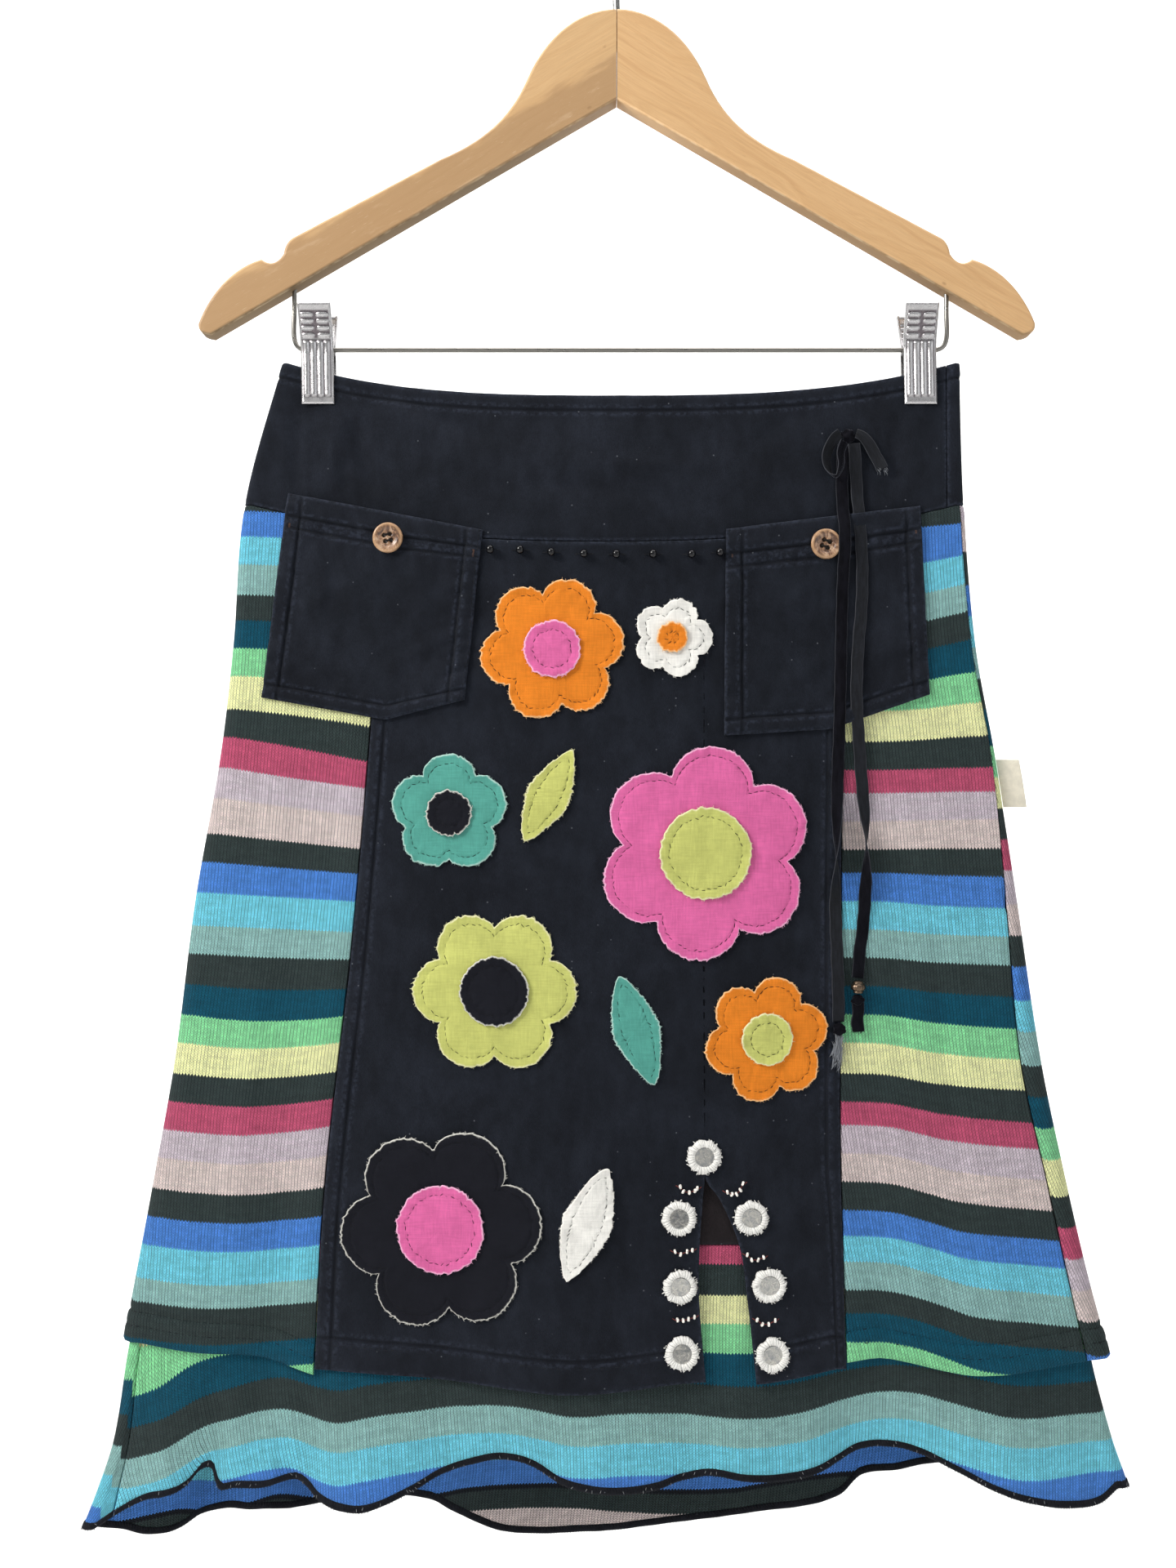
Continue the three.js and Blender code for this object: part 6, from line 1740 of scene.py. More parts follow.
class SKIRT_OT_buttons(bpy.types.Operator):
    """Build the two horn buttons with the thread in their holes"""
    bl_idname = "skirt.buttons"
    bl_label = "Buttons"

    def execute(self, context):
        wall = context.scene.skirt_sizes.twill_wall / MM
        horn = horn_finish("mottled_horn")
        dark = thread_finish("button_thread", dyed("#1b1715"))
        radius, thick = BUTTON["radius"], BUTTON["thick"]
        profile = table("r h", (0, 0.66), (0.3, 0.66), (0.52, 0.7), (0.64, 0.92), (0.76, 1.0), (0.9, 0.97),
                        (0.97, 0.8), (1.0, 0.5))
        holes = [(BUTTON["ring"] * math.cos(a), BUTTON["ring"] * math.sin(a))
                 for a in (math.pi / 4 + k * math.pi / 2 for k in range(4))]
        for name, (x, z, turn) in BUTTONS.items():
            nx, ny, _ = skirt.heading(skirt.turn_at(np.array(x), np.array(z)), np.array(z))
            normal = np.array([float(nx), float(ny), 0.0])
            side = np.array([-normal[1], normal[0], 0.0])
            up = np.array([0.0, 0.0, 1.0])
            spin = math.radians(turn)
            a1, a2 = side * math.cos(spin) + up * math.sin(spin), -side * math.sin(spin) + up * math.cos(spin)
            base = skirt.on_front(np.array(x), np.array(z), LIFT + wall + 1.5)
            rings, spokes = 44, 96
            share = np.sin(np.linspace(0.012, 1, rings) * math.pi / 2)
            angle = round_angles(spokes)
            r, a = np.meshgrid(share * radius, angle, indexing="ij")
            px, pz = r * np.cos(a), r * np.sin(a)
            near = np.minimum.reduce([np.hypot(px - hx, pz - hz) for hx, hz in holes])
            pit = 1 / (1 + np.exp((near - BUTTON["hole"]) / 0.13))
            h = smooth(profile, "r", "h", r / radius) * thick * (1 - 0.8 * pit)
            face = (base + px[..., None] * a1 + pz[..., None] * a2 + h[..., None] * normal).reshape(-1, 3)
            back_h = np.linspace(0.5, 0.0, 6) * thick
            back_r = radius * np.sqrt(np.clip(1 - (1 - back_h / (0.5 * thick)) ** 2 * 0.12, 0, 1))
            back = np.concatenate([base + (rr * np.cos(angle))[:, None] * a1 + (rr * np.sin(angle))[:, None] * a2
                                   + hh * normal for rr, hh in zip(back_r[1:], back_h[1:])])
            body = np.concatenate([face, back])
            faces = grid_faces(rings + 5, spokes, closed=True).tolist() + end_caps(len(body), spokes)
            values = {"reach": np.concatenate([(r / radius).ravel(), np.ones(len(back))]),
                      "hole": np.concatenate([pit.ravel(), np.zeros(len(back))])}
            put(piece(name + "_horn", body, faces, [horn], values=values), [name])
            points, heading = [], []
            for one, other, off in ((0, 1, -0.12), (3, 2, -0.12), (0, 1, 0.28), (3, 2, 0.28)):
                (ax, az), (bx, bz) = holes[one], holes[other]
                points.append(base + a1 * ((ax + bx) / 2) + a2 * ((az + bz) / 2 + off) + normal * (thick * 0.78))
                heading.append(unit(a1 * (bx - ax) + a2 * (bz - az)))
            threads = strands(np.array(points), np.array(heading), np.tile(normal, (4, 1)), 4.4, 0.75, 0.75, 0.9, 8)
            put(piece(name + "_thread", *threads, [dark]), [])
        return {"FINISHED"}


# ------------------------------------------------------------------ beads and mirrors

BEADS = [(-66.6, -350.6), (-50.8, -350.8), (-34.6, -352.2), (-17.4, -353), (-0.3, -353.2), (18.9, -353.2),
         (39, -353.2), (54, -352.2)]
BEAD_RADIUS = 2.25
MIRRORS = [(45.1, -667.9), (32, -699.6), (69.6, -699.8), (32.3, -735), (79, -735), (33.4, -769.6), (80.6, -771)]
GLASS, RIM, RIM_HEIGHT, SUNK = 4.9, 8.9, 2.6, 1.1
# White seed beads in small hanging arcs: x and z of each.
SEED_ARCS = [
    [(32.7, -683.1), (34.2, -685.6), (37.3, -686.1), (40.3, -685.2), (41.5, -684)],
    [(57.2, -686.1), (59.4, -687.3), (61.9, -687.3), (64, -685.2), (65.3, -681.8)],
    [(29.8, -716.7), (32.7, -718.2), (36.1, -716.7), (38.9, -716.1)],
    [(67.5, -718.8), (69.8, -721.4), (73.2, -721.4), (76, -720.1)],
    [(31, -752), (34, -752.4), (36.9, -751.7), (39.9, -750.7)],
    [(72.7, -752.5), (75.3, -754.8), (78.6, -754.8), (82, -753)],
]


def apron_point(x, z):
    return skirt.on_front(np.asarray(x, float), np.asarray(z, float))


def seat(x, z):
    """The outward, sideways and upward directions of the skirt's front at a place."""
    p = apron_point(x, z)
    side = unit(apron_point(x + 2.0, z) - apron_point(x - 2.0, z))
    up = unit(apron_point(x, z + 2.0) - apron_point(x, z - 2.0))
    normal = unit(np.cross(side, up))
    return p, normal, side, unit(np.cross(normal, side))


class SKIRT_OT_beads(bpy.types.Operator):
    """Build the faceted black beads under the yoke and the white seed beads by the slit"""
    bl_idname = "skirt.beads"
    bl_label = "Beads"

    def execute(self, context):
        jet, black = glass_finish("black_glass", "#08080b", 0.16), black_thread()
        parts, knots = [], []
        for k, (x, z) in enumerate(BEADS):
            p, normal, side, up = seat(x, z)
            bead = bmesh.new()
            bmesh.ops.create_icosphere(bead, subdivisions=2, radius=BEAD_RADIUS)
            body = np.array([v.co for v in bead.verts])
            body[:, 0] *= 1.08
            flat_ends = np.clip(body[:, 2] / BEAD_RADIUS, -0.94, 0.94) * BEAD_RADIUS
            ca, sa = math.cos(0.7 * k), math.sin(0.7 * k)
            turned, raised = body[:, 0] * ca - body[:, 1] * sa, body[:, 0] * sa + body[:, 1] * ca
            parts.append((p + normal * (BEAD_RADIUS + 0.3) + flat_ends[:, None] * side + turned[:, None] * up
                          + raised[:, None] * normal, [[v.index for v in f.verts] for f in bead.faces]))
            bead.free()
            for way in (-1, 1):
                knots.append((p + side * way * 3.4 + normal * 1.0, side * way - normal * 0.5, normal))
        points, heading, normals = (np.array(c) for c in zip(*knots))
        put(piece("bead_row_glass", *join(parts), [jet]), ["bead_row"])
        ends = strands(points, unit(heading), normals, 3.2, 0.5, 0.5, 0.7)
        put(piece("bead_row_thread", *ends, [black]), [])

        white = glass_finish("white_seed_glass", "#e9e4dc", 0.2)
        red = thread_finish("reddish_thread", dyed("#7a3a34"))
        rng = np.random.default_rng(21)
        major, minor = np.meshgrid(round_angles(14), round_angles(9), indexing="ij")
        r = 0.78 + 0.5 * np.cos(minor)
        i, j = np.meshgrid(np.arange(14), np.arange(9), indexing="ij")
        over, on = (i + 1) % 14, (j + 1) % 9
        quads = np.stack([i * 9 + j, over * 9 + j, over * 9 + on, i * 9 + on], axis=-1).reshape(-1, 4)
        seeds, threads = [], []
        for arc in SEED_ARCS:
            for k, (x, z) in enumerate(arc):
                p, normal, side, up = seat(x, z)
                axis = unit(side + up * rng.normal(0, 0.35) + normal * rng.normal(0, 0.2))
                across_way = unit(np.cross(axis, normal))
                out = np.cross(across_way, axis)
                body = (r * np.cos(major))[..., None] * across_way + (r * np.sin(major))[..., None] * out
                body = (body + (0.62 * np.sin(minor))[..., None] * axis + p + normal * 1.25).reshape(-1, 3)
                seeds.append((body, quads))
                if k:
                    q = apron_point(*arc[k - 1])
                    threads.append(((p + q) / 2 + normal * 1.25, unit(p - q), normal))
            for end, way in ((0, -1), (-1, 1)):
                p, normal, side, up = seat(*arc[end])
                leaving = unit(side * way + up * 0.5 - normal * 0.6)
                threads.append((p + side * way * 1.5 + normal * 0.6, leaving, normal))
        put(piece("seed_beads", *join(seeds), [white]), [])
        points, heading, normals = (np.array(c) for c in zip(*threads))
        cord = strands(points, heading, normals, 3.0, 0.42, 0.42, 0.3)
        put(piece("seed_bead_thread", *cord, [red]), [])
        return {"FINISHED"}


class SKIRT_OT_mirrors(bpy.types.Operator):
    """Build the small round mirrors in their padded thread rims"""
    bl_idname = "skirt.mirrors"
    bl_label = "Mirrors"

    def execute(self, context):
        silver, black = mirror_finish("old_mirror"), black_thread()
        white = thread_finish("white_floss", dyed("#efede8"), gaps=True)
        for number, (x, z) in enumerate(MIRRORS, 1):
            rng = np.random.default_rng(100 + number)
            p, normal, side, up = seat(x, z)
            p = p + normal * LIFT

            def put_at(r, a, h):
                return (p + (r * np.cos(a))[..., None] * side + (r * np.sin(a))[..., None] * up
                        + np.asarray(h)[..., None] * normal)

            # The rim: a padded ring, ridged by its threads, and uneven round its outer edge.
            turns, rounds = 255, 11
            a, b = np.meshgrid(round_angles(turns), np.linspace(0, math.pi, rounds), indexing="ij")
            uneven = 0.35 * wander(a * 6, b * 0 + number, 3.1, number)
            thread = np.abs(np.sin(a * 17 + 1.3 * wander(a * 9, b * 0, 5, number) + 0.7 * np.cos(b))) ** 0.7
            middle, half = (GLASS + RIM) / 2 - 0.15, (RIM - GLASS) / 2 - 0.1
            r = middle - (half + 0.16 * thread) * np.cos(b) + uneven * (b / math.pi) ** 2 * 1.4
            h = (RIM_HEIGHT - 0.4 + 0.36 * thread) * np.sin(b) ** 0.8 + 0.05
            body = put_at(r, a, h).reshape(-1, 3)
            i, j = np.meshgrid(np.arange(turns), np.arange(rounds - 1), indexing="ij")
            k = (i + 1) % turns
            quads = np.stack([i * rounds + j, k * rounds + j, k * rounds + j + 1, i * rounds + j + 1],
                             axis=-1).reshape(-1, 4)[:, ::-1]
            edges = [[i * rounds for i in range(turns)], [i * rounds + rounds - 1 for i in range(turns)][::-1]]
            # Loops of floss round the outside, some standing free.
            loops = 46
            angle = -0.9 + rng.normal(0, 1.25, loops)
            reach = rng.uniform(RIM - 0.6, RIM + 0.3, loops)
            out_way = (np.cos(angle)[:, None] * side + np.sin(angle)[:, None] * up)
            round_way = np.cross(normal, out_way)
            centre = put_at(reach, angle, np.full(loops, 0.45))
            heading = unit(out_way + round_way * rng.normal(0, 0.8, (loops, 1)) + normal * 0.15)
            floss = strands(centre, heading, np.tile(normal, (loops, 1)), rng.uniform(1.3, 2.4, loops), 0.6, 0.6)
            whole = join([(body, quads.tolist() + edges), floss])
            # hollow is the gap between the rim's threads, where the floss gets painted shade
            gap = np.zeros(len(whole[0]))
            gap[:len(body)] = (1 - thread).ravel()
            put(piece(f"mirror_{number}_rim", *whole, [white], values={"hollow": gap}),
                [f"mirror_{number}"])

            # Black threads that tack the rim down, all round.
            ticks = 15
            angle = round_angles(ticks) + rng.normal(0, 0.12, ticks)
            out_way = np.cos(angle)[:, None] * side + np.sin(angle)[:, None] * up
            centre = put_at(np.full(ticks, RIM + 0.1), angle, np.full(ticks, 0.75))
            heading = unit(out_way + np.cross(normal, out_way) * rng.normal(0, 0.3, (ticks, 1)))
            tacks = strands(centre, heading, np.tile(normal, (ticks, 1)), 2.3, 0.45, 0.4)
            put(piece(f"mirror_{number}_ticks", *tacks, [black]), [])

            # The glass: a flat disc, tipped a little, with a rounded edge under the threads.
            rings, spokes = 9, 40
            rr, a = np.meshgrid(np.linspace(0.04, 1, rings) * (GLASS + 0.5), round_angles(spokes), indexing="ij")
            tip = rng.normal(0, 0.045, 2)
            h = RIM_HEIGHT - SUNK + tip[0] * rr * np.cos(a) + tip[1] * rr * np.sin(a)
            top = put_at(rr, a, h).reshape(-1, 3)
            low = put_at(rr[-1], a[-1], h[-1] - 0.9)
            faces = grid_faces(rings + 1, spokes, closed=True).tolist() + end_caps((rings + 1) * spokes, spokes)
            put(piece(f"mirror_{number}_glass", np.concatenate([top, low]), faces, [silver]), [])
        return {"FINISHED"}


# ------------------------------------------------------------------ cut-out flowers and leaves

FLOWERS = named(
    "name x z size petals turn centre dye eye",
    ("orange", -34, -403, 76, 6, 10, 30, "orange", "pink"),
    ("white", 29, -397, 42, 5, 0, 16, "white", "orange"),
    ("pink", 46, -510, 112, 6, 24, 48, "pink", "lime"),
    ("teal", -88, -489, 62, 5, 18, 24, "teal", "black"),
    ("lime", -64, -582, 86, 6, 0, 36, "lime", "black"),
    ("amber", 78, -607, 66, 6, 15, 27, "orange", "lime"),
    ("black", -92, -706, 106, 6, 6, 46, "black", "pink"),
)
LEAVES = named(
    "name x z size width turn dye",
    ("lime", -36, -480, 54, 23, 62, "lime"),
    ("teal", 10, -602, 60, 25, 108, "teal"),
    ("white", -16, -702, 62, 26, 70, "white"),
)
PETAL_DEPTH, LEAF_POINT = 0.24, 1.35
FRAYED = {"black": "#dcdad2", "white": "#f4f1ea", "lime": "#e3e0b4", "pink": "#f0b9d6", "orange": "#f3c58f",
          "teal": "#b5d3ca"}  # each cloth's threads where its edge frays
RUNNING_STITCH = 5  # from the raw edge
RAW_RINGS = (0.0, 0.08, 0.3, 0.8, 1.6, 2.6, 3.6, 4.4, 4.8, 5.2, 5.8, 6.8)  # places in from the raw edge


def flower_outline(radius, petals, turn):
    def reach(angle):
        lobe = np.abs(np.cos(petals * (angle - turn) / 2))
        return radius * (1 - PETAL_DEPTH * (1 - lobe**0.7))
    return reach


def leaf_outline(size, width, turn):
    def reach(angle):
        along = 2 * np.abs(np.cos(angle - turn)) / size
        aside = 2 * np.abs(np.sin(angle - turn)) / width
        return (along**LEAF_POINT + aside**LEAF_POINT) ** (-1 / LEAF_POINT)
    return reach


def cut_out(name, x, z, reach, size, wide, lift, wall, dye, frayed, slot, seed):
    """A raw-edged piece of cloth sewn flat on the front: its wall, its running stitch and its fray."""
    rng = np.random.default_rng(seed)
    spokes = int(max(80, min(250, size * 2.6)))
    angle = round_angles(spokes)
    outline = reach(angle)
    raw = outline + 0.45 * wander(angle * outline, outline * 0, 3.3, seed) + rng.normal(0, 0.16, spokes)
    narrow = outline.min()
    depth = [d for d in RAW_RINGS if d < narrow * 0.75]
    inner = narrow - depth[-1]
    depth += [depth[-1] + inner * k for k in np.linspace(0, 0.97, int(max(4, inner / 2.4)))[1:]]
    # Near the edge a ring keeps its distance from it; towards the middle the rings close evenly.
    part = (np.array(depth)[::-1] / narrow)[:, None]
    r = lerp(raw * (1 - part), raw - part * narrow, np.exp(-part * narrow / 12))
    r[-1] = raw
    far = raw - r
    px, pz = x + r * np.cos(angle), z + r * np.sin(angle)
    ditch = -0.34 * np.exp(-(((far - RUNNING_STITCH) / 0.9) ** 2))
    curl = np.exp(-((far / 2.2) ** 2)) * (0.25 + 0.35 * wander(px, pz, 7, seed))
    soft = 0.16 * wander(px, pz, 12, seed + 1) + 0.1 * wander(px, pz, 5, seed + 2)
    puckers = 0.12 * np.sin(angle * outline / 1.15) * np.exp(-(((far - RUNNING_STITCH) / 3) ** 2))
    half = wall / 2
    bulge = half * np.sqrt(np.clip(1 - (1 - np.clip(far / half, 0, 1)) ** 2, 0, 1))
    height = lift + half + ditch + np.maximum(curl + soft + puckers, -0.2)
    top = skirt.on_front(px, pz, height + bulge)
    low = skirt.on_front(px[:-1], pz[:-1], height[:-1] - bulge[:-1])
    rings = len(r)
    total = rings * spokes
    faces = grid_faces(rings, spokes, closed=True)
    under_index = np.concatenate([total + np.arange((rings - 1) * spokes), np.arange(total - spokes, total)])
    below = under_index[faces][:, ::-1]
    body = np.concatenate([top.reshape(-1, 3), low.reshape(-1, 3)])
    quads = faces.tolist() + below.tolist() + [list(range(spokes))[::-1], [total + k for k in range(spokes)]]
    rim = np.concatenate([far.ravel(), far[:-1].ravel()])
    spread = np.stack([px, -pz], axis=-1)
    flat = np.concatenate([spread.reshape(-1, 2), spread[:-1].reshape(-1, 2)])
    made = put(piece(name + "_cloth", body, quads, [dye], flat, values={"rim": rim}), [name])

    # The running stitch.
    line = np.stack([np.cos(angle), np.sin(angle)], axis=-1) * (raw - RUNNING_STITCH)[:, None]
    loop = np.vstack([line, line[:1]])
    run = np.concatenate([[0], np.cumsum(np.linalg.norm(np.diff(loop, axis=0), axis=1))])
    count = max(8, int(run[-1] / 3.1))
    at = (np.arange(count) + 0.5) / count * run[-1]
    (sx, sz), (fx, fz) = (
        (x + np.interp(place, run, loop[:, 0]), z + np.interp(place, run, loop[:, 1]))
        for place in (at, (at + 0.8) % run[-1]))
    level = lift + wall - 0.24 + 0.16 * wander(sx, sz, 12, seed + 1)
    p, q = skirt.on_front(sx, sz, level), skirt.on_front(fx, fz, level)
    normal = unit(p - skirt.on_front(sx, sz, level - 1))
    thread = strands(p, unit(q - p), normal, 2.5, 0.34, 0.34)
    stitches = put(piece(name + "_stitches", *thread, [black_thread()]), [])

    # Frayed threads along the raw edge, lying mostly along it.
    loose = int(run[-1] / 0.8)
    pick = rng.integers(0, spokes, loose)
    out_by = rng.uniform(-0.9, 0.35, loose)
    a = angle[pick] + rng.uniform(-0.5, 0.5, loose) * 2 * math.pi / spokes
    ex, ez = x + (raw[pick] + out_by) * np.cos(a), z + (raw[pick] + out_by) * np.sin(a)
    lean = rng.normal(0, 0.75, loose) + math.pi / 2 * rng.choice([-1, 1], loose) * (rng.random(loose) < 0.6)
    hx, hz = np.cos(a + lean), np.sin(a + lean)
    level = lift + wall * 0.75 + rng.uniform(-0.1, 0.35, loose)
    p, q = skirt.on_front(ex, ez, level), skirt.on_front(ex + hx, ez + hz, level + rng.uniform(-0.1, 0.25, loose))
    normal = unit(p - skirt.on_front(ex, ez, level - 1))
    thread = strands(p, unit(q - p), normal, rng.uniform(0.9, 2.3, loose), 0.2, 0.2, 0.4)
    fray = put(piece(name + "_fray", *thread, [frayed]), [])


class SKIRT_OT_patches(bpy.types.Operator):
    """Build the cut-out flowers and leaves sewn on the apron"""
    bl_idname = "skirt.patches"
    bl_label = "Flowers and leaves"

    def execute(self, context):
        colours, wall = context.scene.skirt_colours, context.scene.skirt_sizes.patch_wall / MM
        dyes = {}
        for key, pale in FRAYED.items():
            tint = tuple(getattr(colours, key + "_cloth"))
            dyes[key] = (patch_finish(f"{key}_cotton", tint, dyed(pale), key == "black"),
                         thread_finish(f"{key}_fray", dyed(pale)), "cloth_" + key)
        seed = 40
        for f in FLOWERS:
            seed += 3
            name, size, eye = "flower_" + f["name"], f["size"], f["centre"]
            reach = flower_outline(size / 2, f["petals"], math.radians(f["turn"]))
            cut_out(name, f["x"], f["z"], reach, size, size, LIFT, wall, *dyes[f["dye"]], seed)
            cut_out(name + "_centre", f["x"], f["z"], lambda angle, eye=eye: np.full_like(angle, eye / 2), eye, eye,
                    2 * LIFT + wall, wall, *dyes[f["eye"]], seed + 1)
        for leaf in LEAVES:
            seed += 3
            reach = leaf_outline(leaf["size"], leaf["width"], math.radians(leaf["turn"]))
            cut_out("leaf_" + leaf["name"], leaf["x"], leaf["z"], reach, leaf["size"], leaf["width"], LIFT, wall,
                    *dyes[leaf["dye"]], seed)
        return {"FINISHED"}


# ------------------------------------------------------------------ label

LABEL = {"z": -473.5, "reach": 12.5, "height": 25.5, "wall": 0.8}


class SKIRT_OT_label(bpy.types.Operator):
    """Build the bare woven label in the right side seam"""
    bl_idname = "skirt.label"
    bl_label = "Side label"

    def execute(self, context):
        def place(s, t, out):
            z = LABEL["z"] + LABEL["height"] / 2 - t * LABEL["height"]
            x = smooth(SKIRT, "z", "right", z) + 0.3 + s * LABEL["reach"] + 0.5 * (t - 0.5) * s
            y = -LABEL["wall"] / 2 + 1.1 * s * s * (t - 0.4) - 0.35 * np.sin(math.pi * t) * s - out
            return np.stack(np.broadcast_arrays(x, y, z), axis=-1)

        cloth = Cloth(place, LABEL["reach"], LABEL["height"], LABEL["wall"], 0.8,
                      [("right", 1.0, 0.1), ("top", 0.9, 0.08), ("bottom", 0.9, 0.08)], None, 0.05)
        made = put(cloth.build("side_label_tab", [label_finish("woven_label")],
                               lambda s, t, p: (s * LABEL["reach"], t * LABEL["height"])), ["side_label"])
        pale = thread_finish("label_thread", dyed("#d9cfb8"))
        thread = stitch_piece("side_label_stitches", [cloth.row("left", 1.2, 1.6)], pale, 1.3, 0.25, 0.2)
        return {"FINISHED"}


# ------------------------------------------------------------------ hanger

WOOD = {"thick": 12.5, "round": 1.6, "top": -62.5, "middle": -110.6, "tip": (215, -235.6)}
ARM_EDGE = [
    ((47.5, -99.5), [(19, -62.5), (37, -75.5)]), ((94, -142.5), [(56, -119.5), (70, -132.5)]),
    ((172, -184), []), ((176.8, -192.5), [(176, -186.5)]), ((188.5, -195.3), [(182, -200.5)]),
    ((222, -229.5), [(206, -200.5), (217, -216)]), (WOOD["tip"], [(222.5, -235)]), ((0, WOOD["middle"]), [])]
WIRE = {"radius": 1.25, "left": -172, "right": 176, "bar": -242.2, "bend": 6, "into": 9}
HOOK = {"radius": 1.9, "inner": 17, "into": 20, "swing": 16, "lean": 2.5, "from": -62, "to": 200, "step": 20}
CLIP = {"width": 17.3, "sheet": 0.8, "lip": -272, "top": -220.7, "splay": 13.5, "flange": 2.4, "flare": 0.4,
        "lean": 0.017}
CLIPS = {"clip_left": -159.2, "clip_right": 161}
SPRING = {"inner": 1.6, "outer": 3.4, "length": 11}


def arm_outline():
    """The right arm's edge, closed along the mitre."""
    points = [(0.15, WOOD["top"])]
    last = np.array((0.0, WOOD["top"]))
    for to, by in ARM_EDGE:
        knots = [last] + [np.array(b, float) for b in by] + [np.array(to, float)]
        for t in (np.linspace(0, 1, 15)[1:] if by else [1.0]):
            level = knots
            while len(level) > 1:
                level = [lerp(a, b, t) for a, b in zip(level, level[1:])]
            points.append((max(float(level[0][0]), 0.15), float(level[0][1])))
        last = np.array(to, float)
    return points


def flat_solid(name, outline, thick, rounded):
    """An outline in the plane of the hanger, given a thickness and rounded edges."""
    line = bpy.data.curves.new(name, "CURVE")
    line.dimensions, line.fill_mode = "2D", "BOTH"
    line.extrude = (thick / 2 - rounded) * MM
    line.bevel_depth, line.offset, line.bevel_resolution = rounded * MM, -rounded * MM, 4
    spline = line.splines.new("POLY")
    spline.points.add(len(outline) - 1)
    for point, (x, z) in zip(spline.points, outline):
        point.co = (x * MM, z * MM, 0, 1)
    spline.use_cyclic_u = True
    holder = bpy.data.objects.new(name + "_line", line)
    bpy.context.collection.objects.link(holder)
    made = bpy.data.meshes.new_from_object(holder.evaluated_get(bpy.context.evaluated_depsgraph_get()))
    bpy.data.objects.remove(holder)
    bpy.data.curves.remove(line)
    raw = np.empty(len(made.vertices) * 3)
    made.vertices.foreach_get("co", raw)
    raw = raw.reshape(-1, 3)
    body = np.stack([raw[:, 0], -raw[:, 2], raw[:, 1]], axis=-1) / MM
    faces = [list(f.vertices) for f in made.polygons]
    bpy.data.meshes.remove(made)
    return body, faces


def underside(x):
    return lerp(WOOD["middle"], WOOD["tip"][1], abs(x) / WOOD["tip"][0])


def clean(name, body, faces, materials, uv=None, values=None):
    """A mesh object with its doubled points joined and its faces turned outwards."""
    made = piece(name, body, faces, materials, values=values)
    work = bmesh.new()
    work.from_mesh(made.data)
    bmesh.ops.remove_doubles(work, verts=work.verts, dist=1e-6)
    bmesh.ops.recalc_face_normals(work, faces=work.faces)
    if uv:
        layer = work.loops.layers.uv.new("cut")
        for face in work.faces:
            for corner in face.loops:
                corner[layer].uv = uv(corner.vert.co)
    for face in work.faces:
        face.smooth = len(face.verts) < 5 and abs(face.normal.y) < 0.995
    work.to_mesh(made.data)
    work.free()
    return made


class SKIRT_OT_hanger(bpy.types.Operator):
    """Build the wooden arms, the hook and the bar"""
    bl_idname = "skirt.hanger"
    bl_label = "Hanger"

    def execute(self, context):
        tint = tuple(context.scene.skirt_colours.wood)
        steel = metal_finish("bright_steel", "#a9a9a7", 0.2)
        outline = arm_outline()
        down = Vector((WOOD["tip"][0], WOOD["tip"][1] - WOOD["middle"])).normalized()
        for name, side in (("hanger_arm_left", -1), ("hanger_arm_right", 1)):
            line = [(side * x, z) for x, z in outline]
            body, faces = flat_solid(name, line if side > 0 else line[::-1], WOOD["thick"], WOOD["round"])
            # The edge at the mitre is nearly sharp.
            near = np.abs(body[:, 0]) < 0.2 + WOOD["round"]
            body[near, 0] = side * (0.12 + (np.abs(body[near, 0]) - 0.12) * 0.12)

            def along_arm(co, side=side):
                x, z = side * co.x, co.z - WOOD["middle"] * MM
                return (x * down.x + z * down.y + (0.5 if side < 0 else 0), z * down.x - x * down.y + co.y * 0.6)

            beech = wood_finish(name + "_beech", tint, side < 0)
            put(clean(name + "_wood", body, faces, [beech], along_arm), [name])

        bend = HOOK["inner"] + HOOK["radius"]
        neck = -HOOK["inner"] - bend
        route = [(0, 0, WOOD["top"] - HOOK["into"]), (0, 0, WOOD["top"]), (0, 0, neck - HOOK["swing"]),
                 (HOOK["lean"], 0, neck - HOOK["swing"] / 2.5)]
        for angle in np.radians(np.arange(HOOK["from"], HOOK["to"] + 1, HOOK["step"])):
            route.append((bend * math.cos(angle), 0, -HOOK["inner"] + bend * math.sin(angle)))
        tip = table("share radius", (0, 1), (0.985, 1), (0.992, 0.9), (0.997, 0.6), (1, 0.12))
        body, faces = wire(route, lambda t: HOOK["radius"] * float(smooth(tip, "share", "radius", t)), 240, 20)
        put(clean("hanger_hook_wire", body, faces, [steel]), ["hanger_hook"])

        ends = []
        for x, inward in ((WIRE["left"], 1), (WIRE["right"], -1)):
            wood, bar, bow = underside(x), WIRE["bar"], WIRE["bend"]
            ends.append([(x, 0, wood + WIRE["into"]), (x, 0, wood - WIRE["into"]), (x, 0, bar + bow),
                         (x + inward * bow * 0.3, 0, bar + bow * 0.3), (x + inward * bow, 0, bar),
                         (x + inward * bow * 1.6, 0, bar), (x + inward * bow * 5, 0, bar)])
        body, faces = wire(ends[0] + ends[1][::-1], WIRE["radius"], 260, 12)
        put(clean("hanger_wire_bar", body, faces, [bar_steel()]), ["hanger_wire"])
        return {"FINISHED"}


# Raised bars on a clip's upper part, and flutes on its lower part: middles from the clip's centre
# line and heights above its lip.
PILLS = {"across": (-4.2, 4.2), "up": (46.7, 43.4, 39.8, 36.0), "half_wide": 3.5, "half_high": 1.35, "proud": 1.05}
FLUTES = {"across": (-5.5, -1.85, 1.85, 5.5), "half_wide": 1.65, "low": 3.8, "high": 33.7, "proud": 1.0}


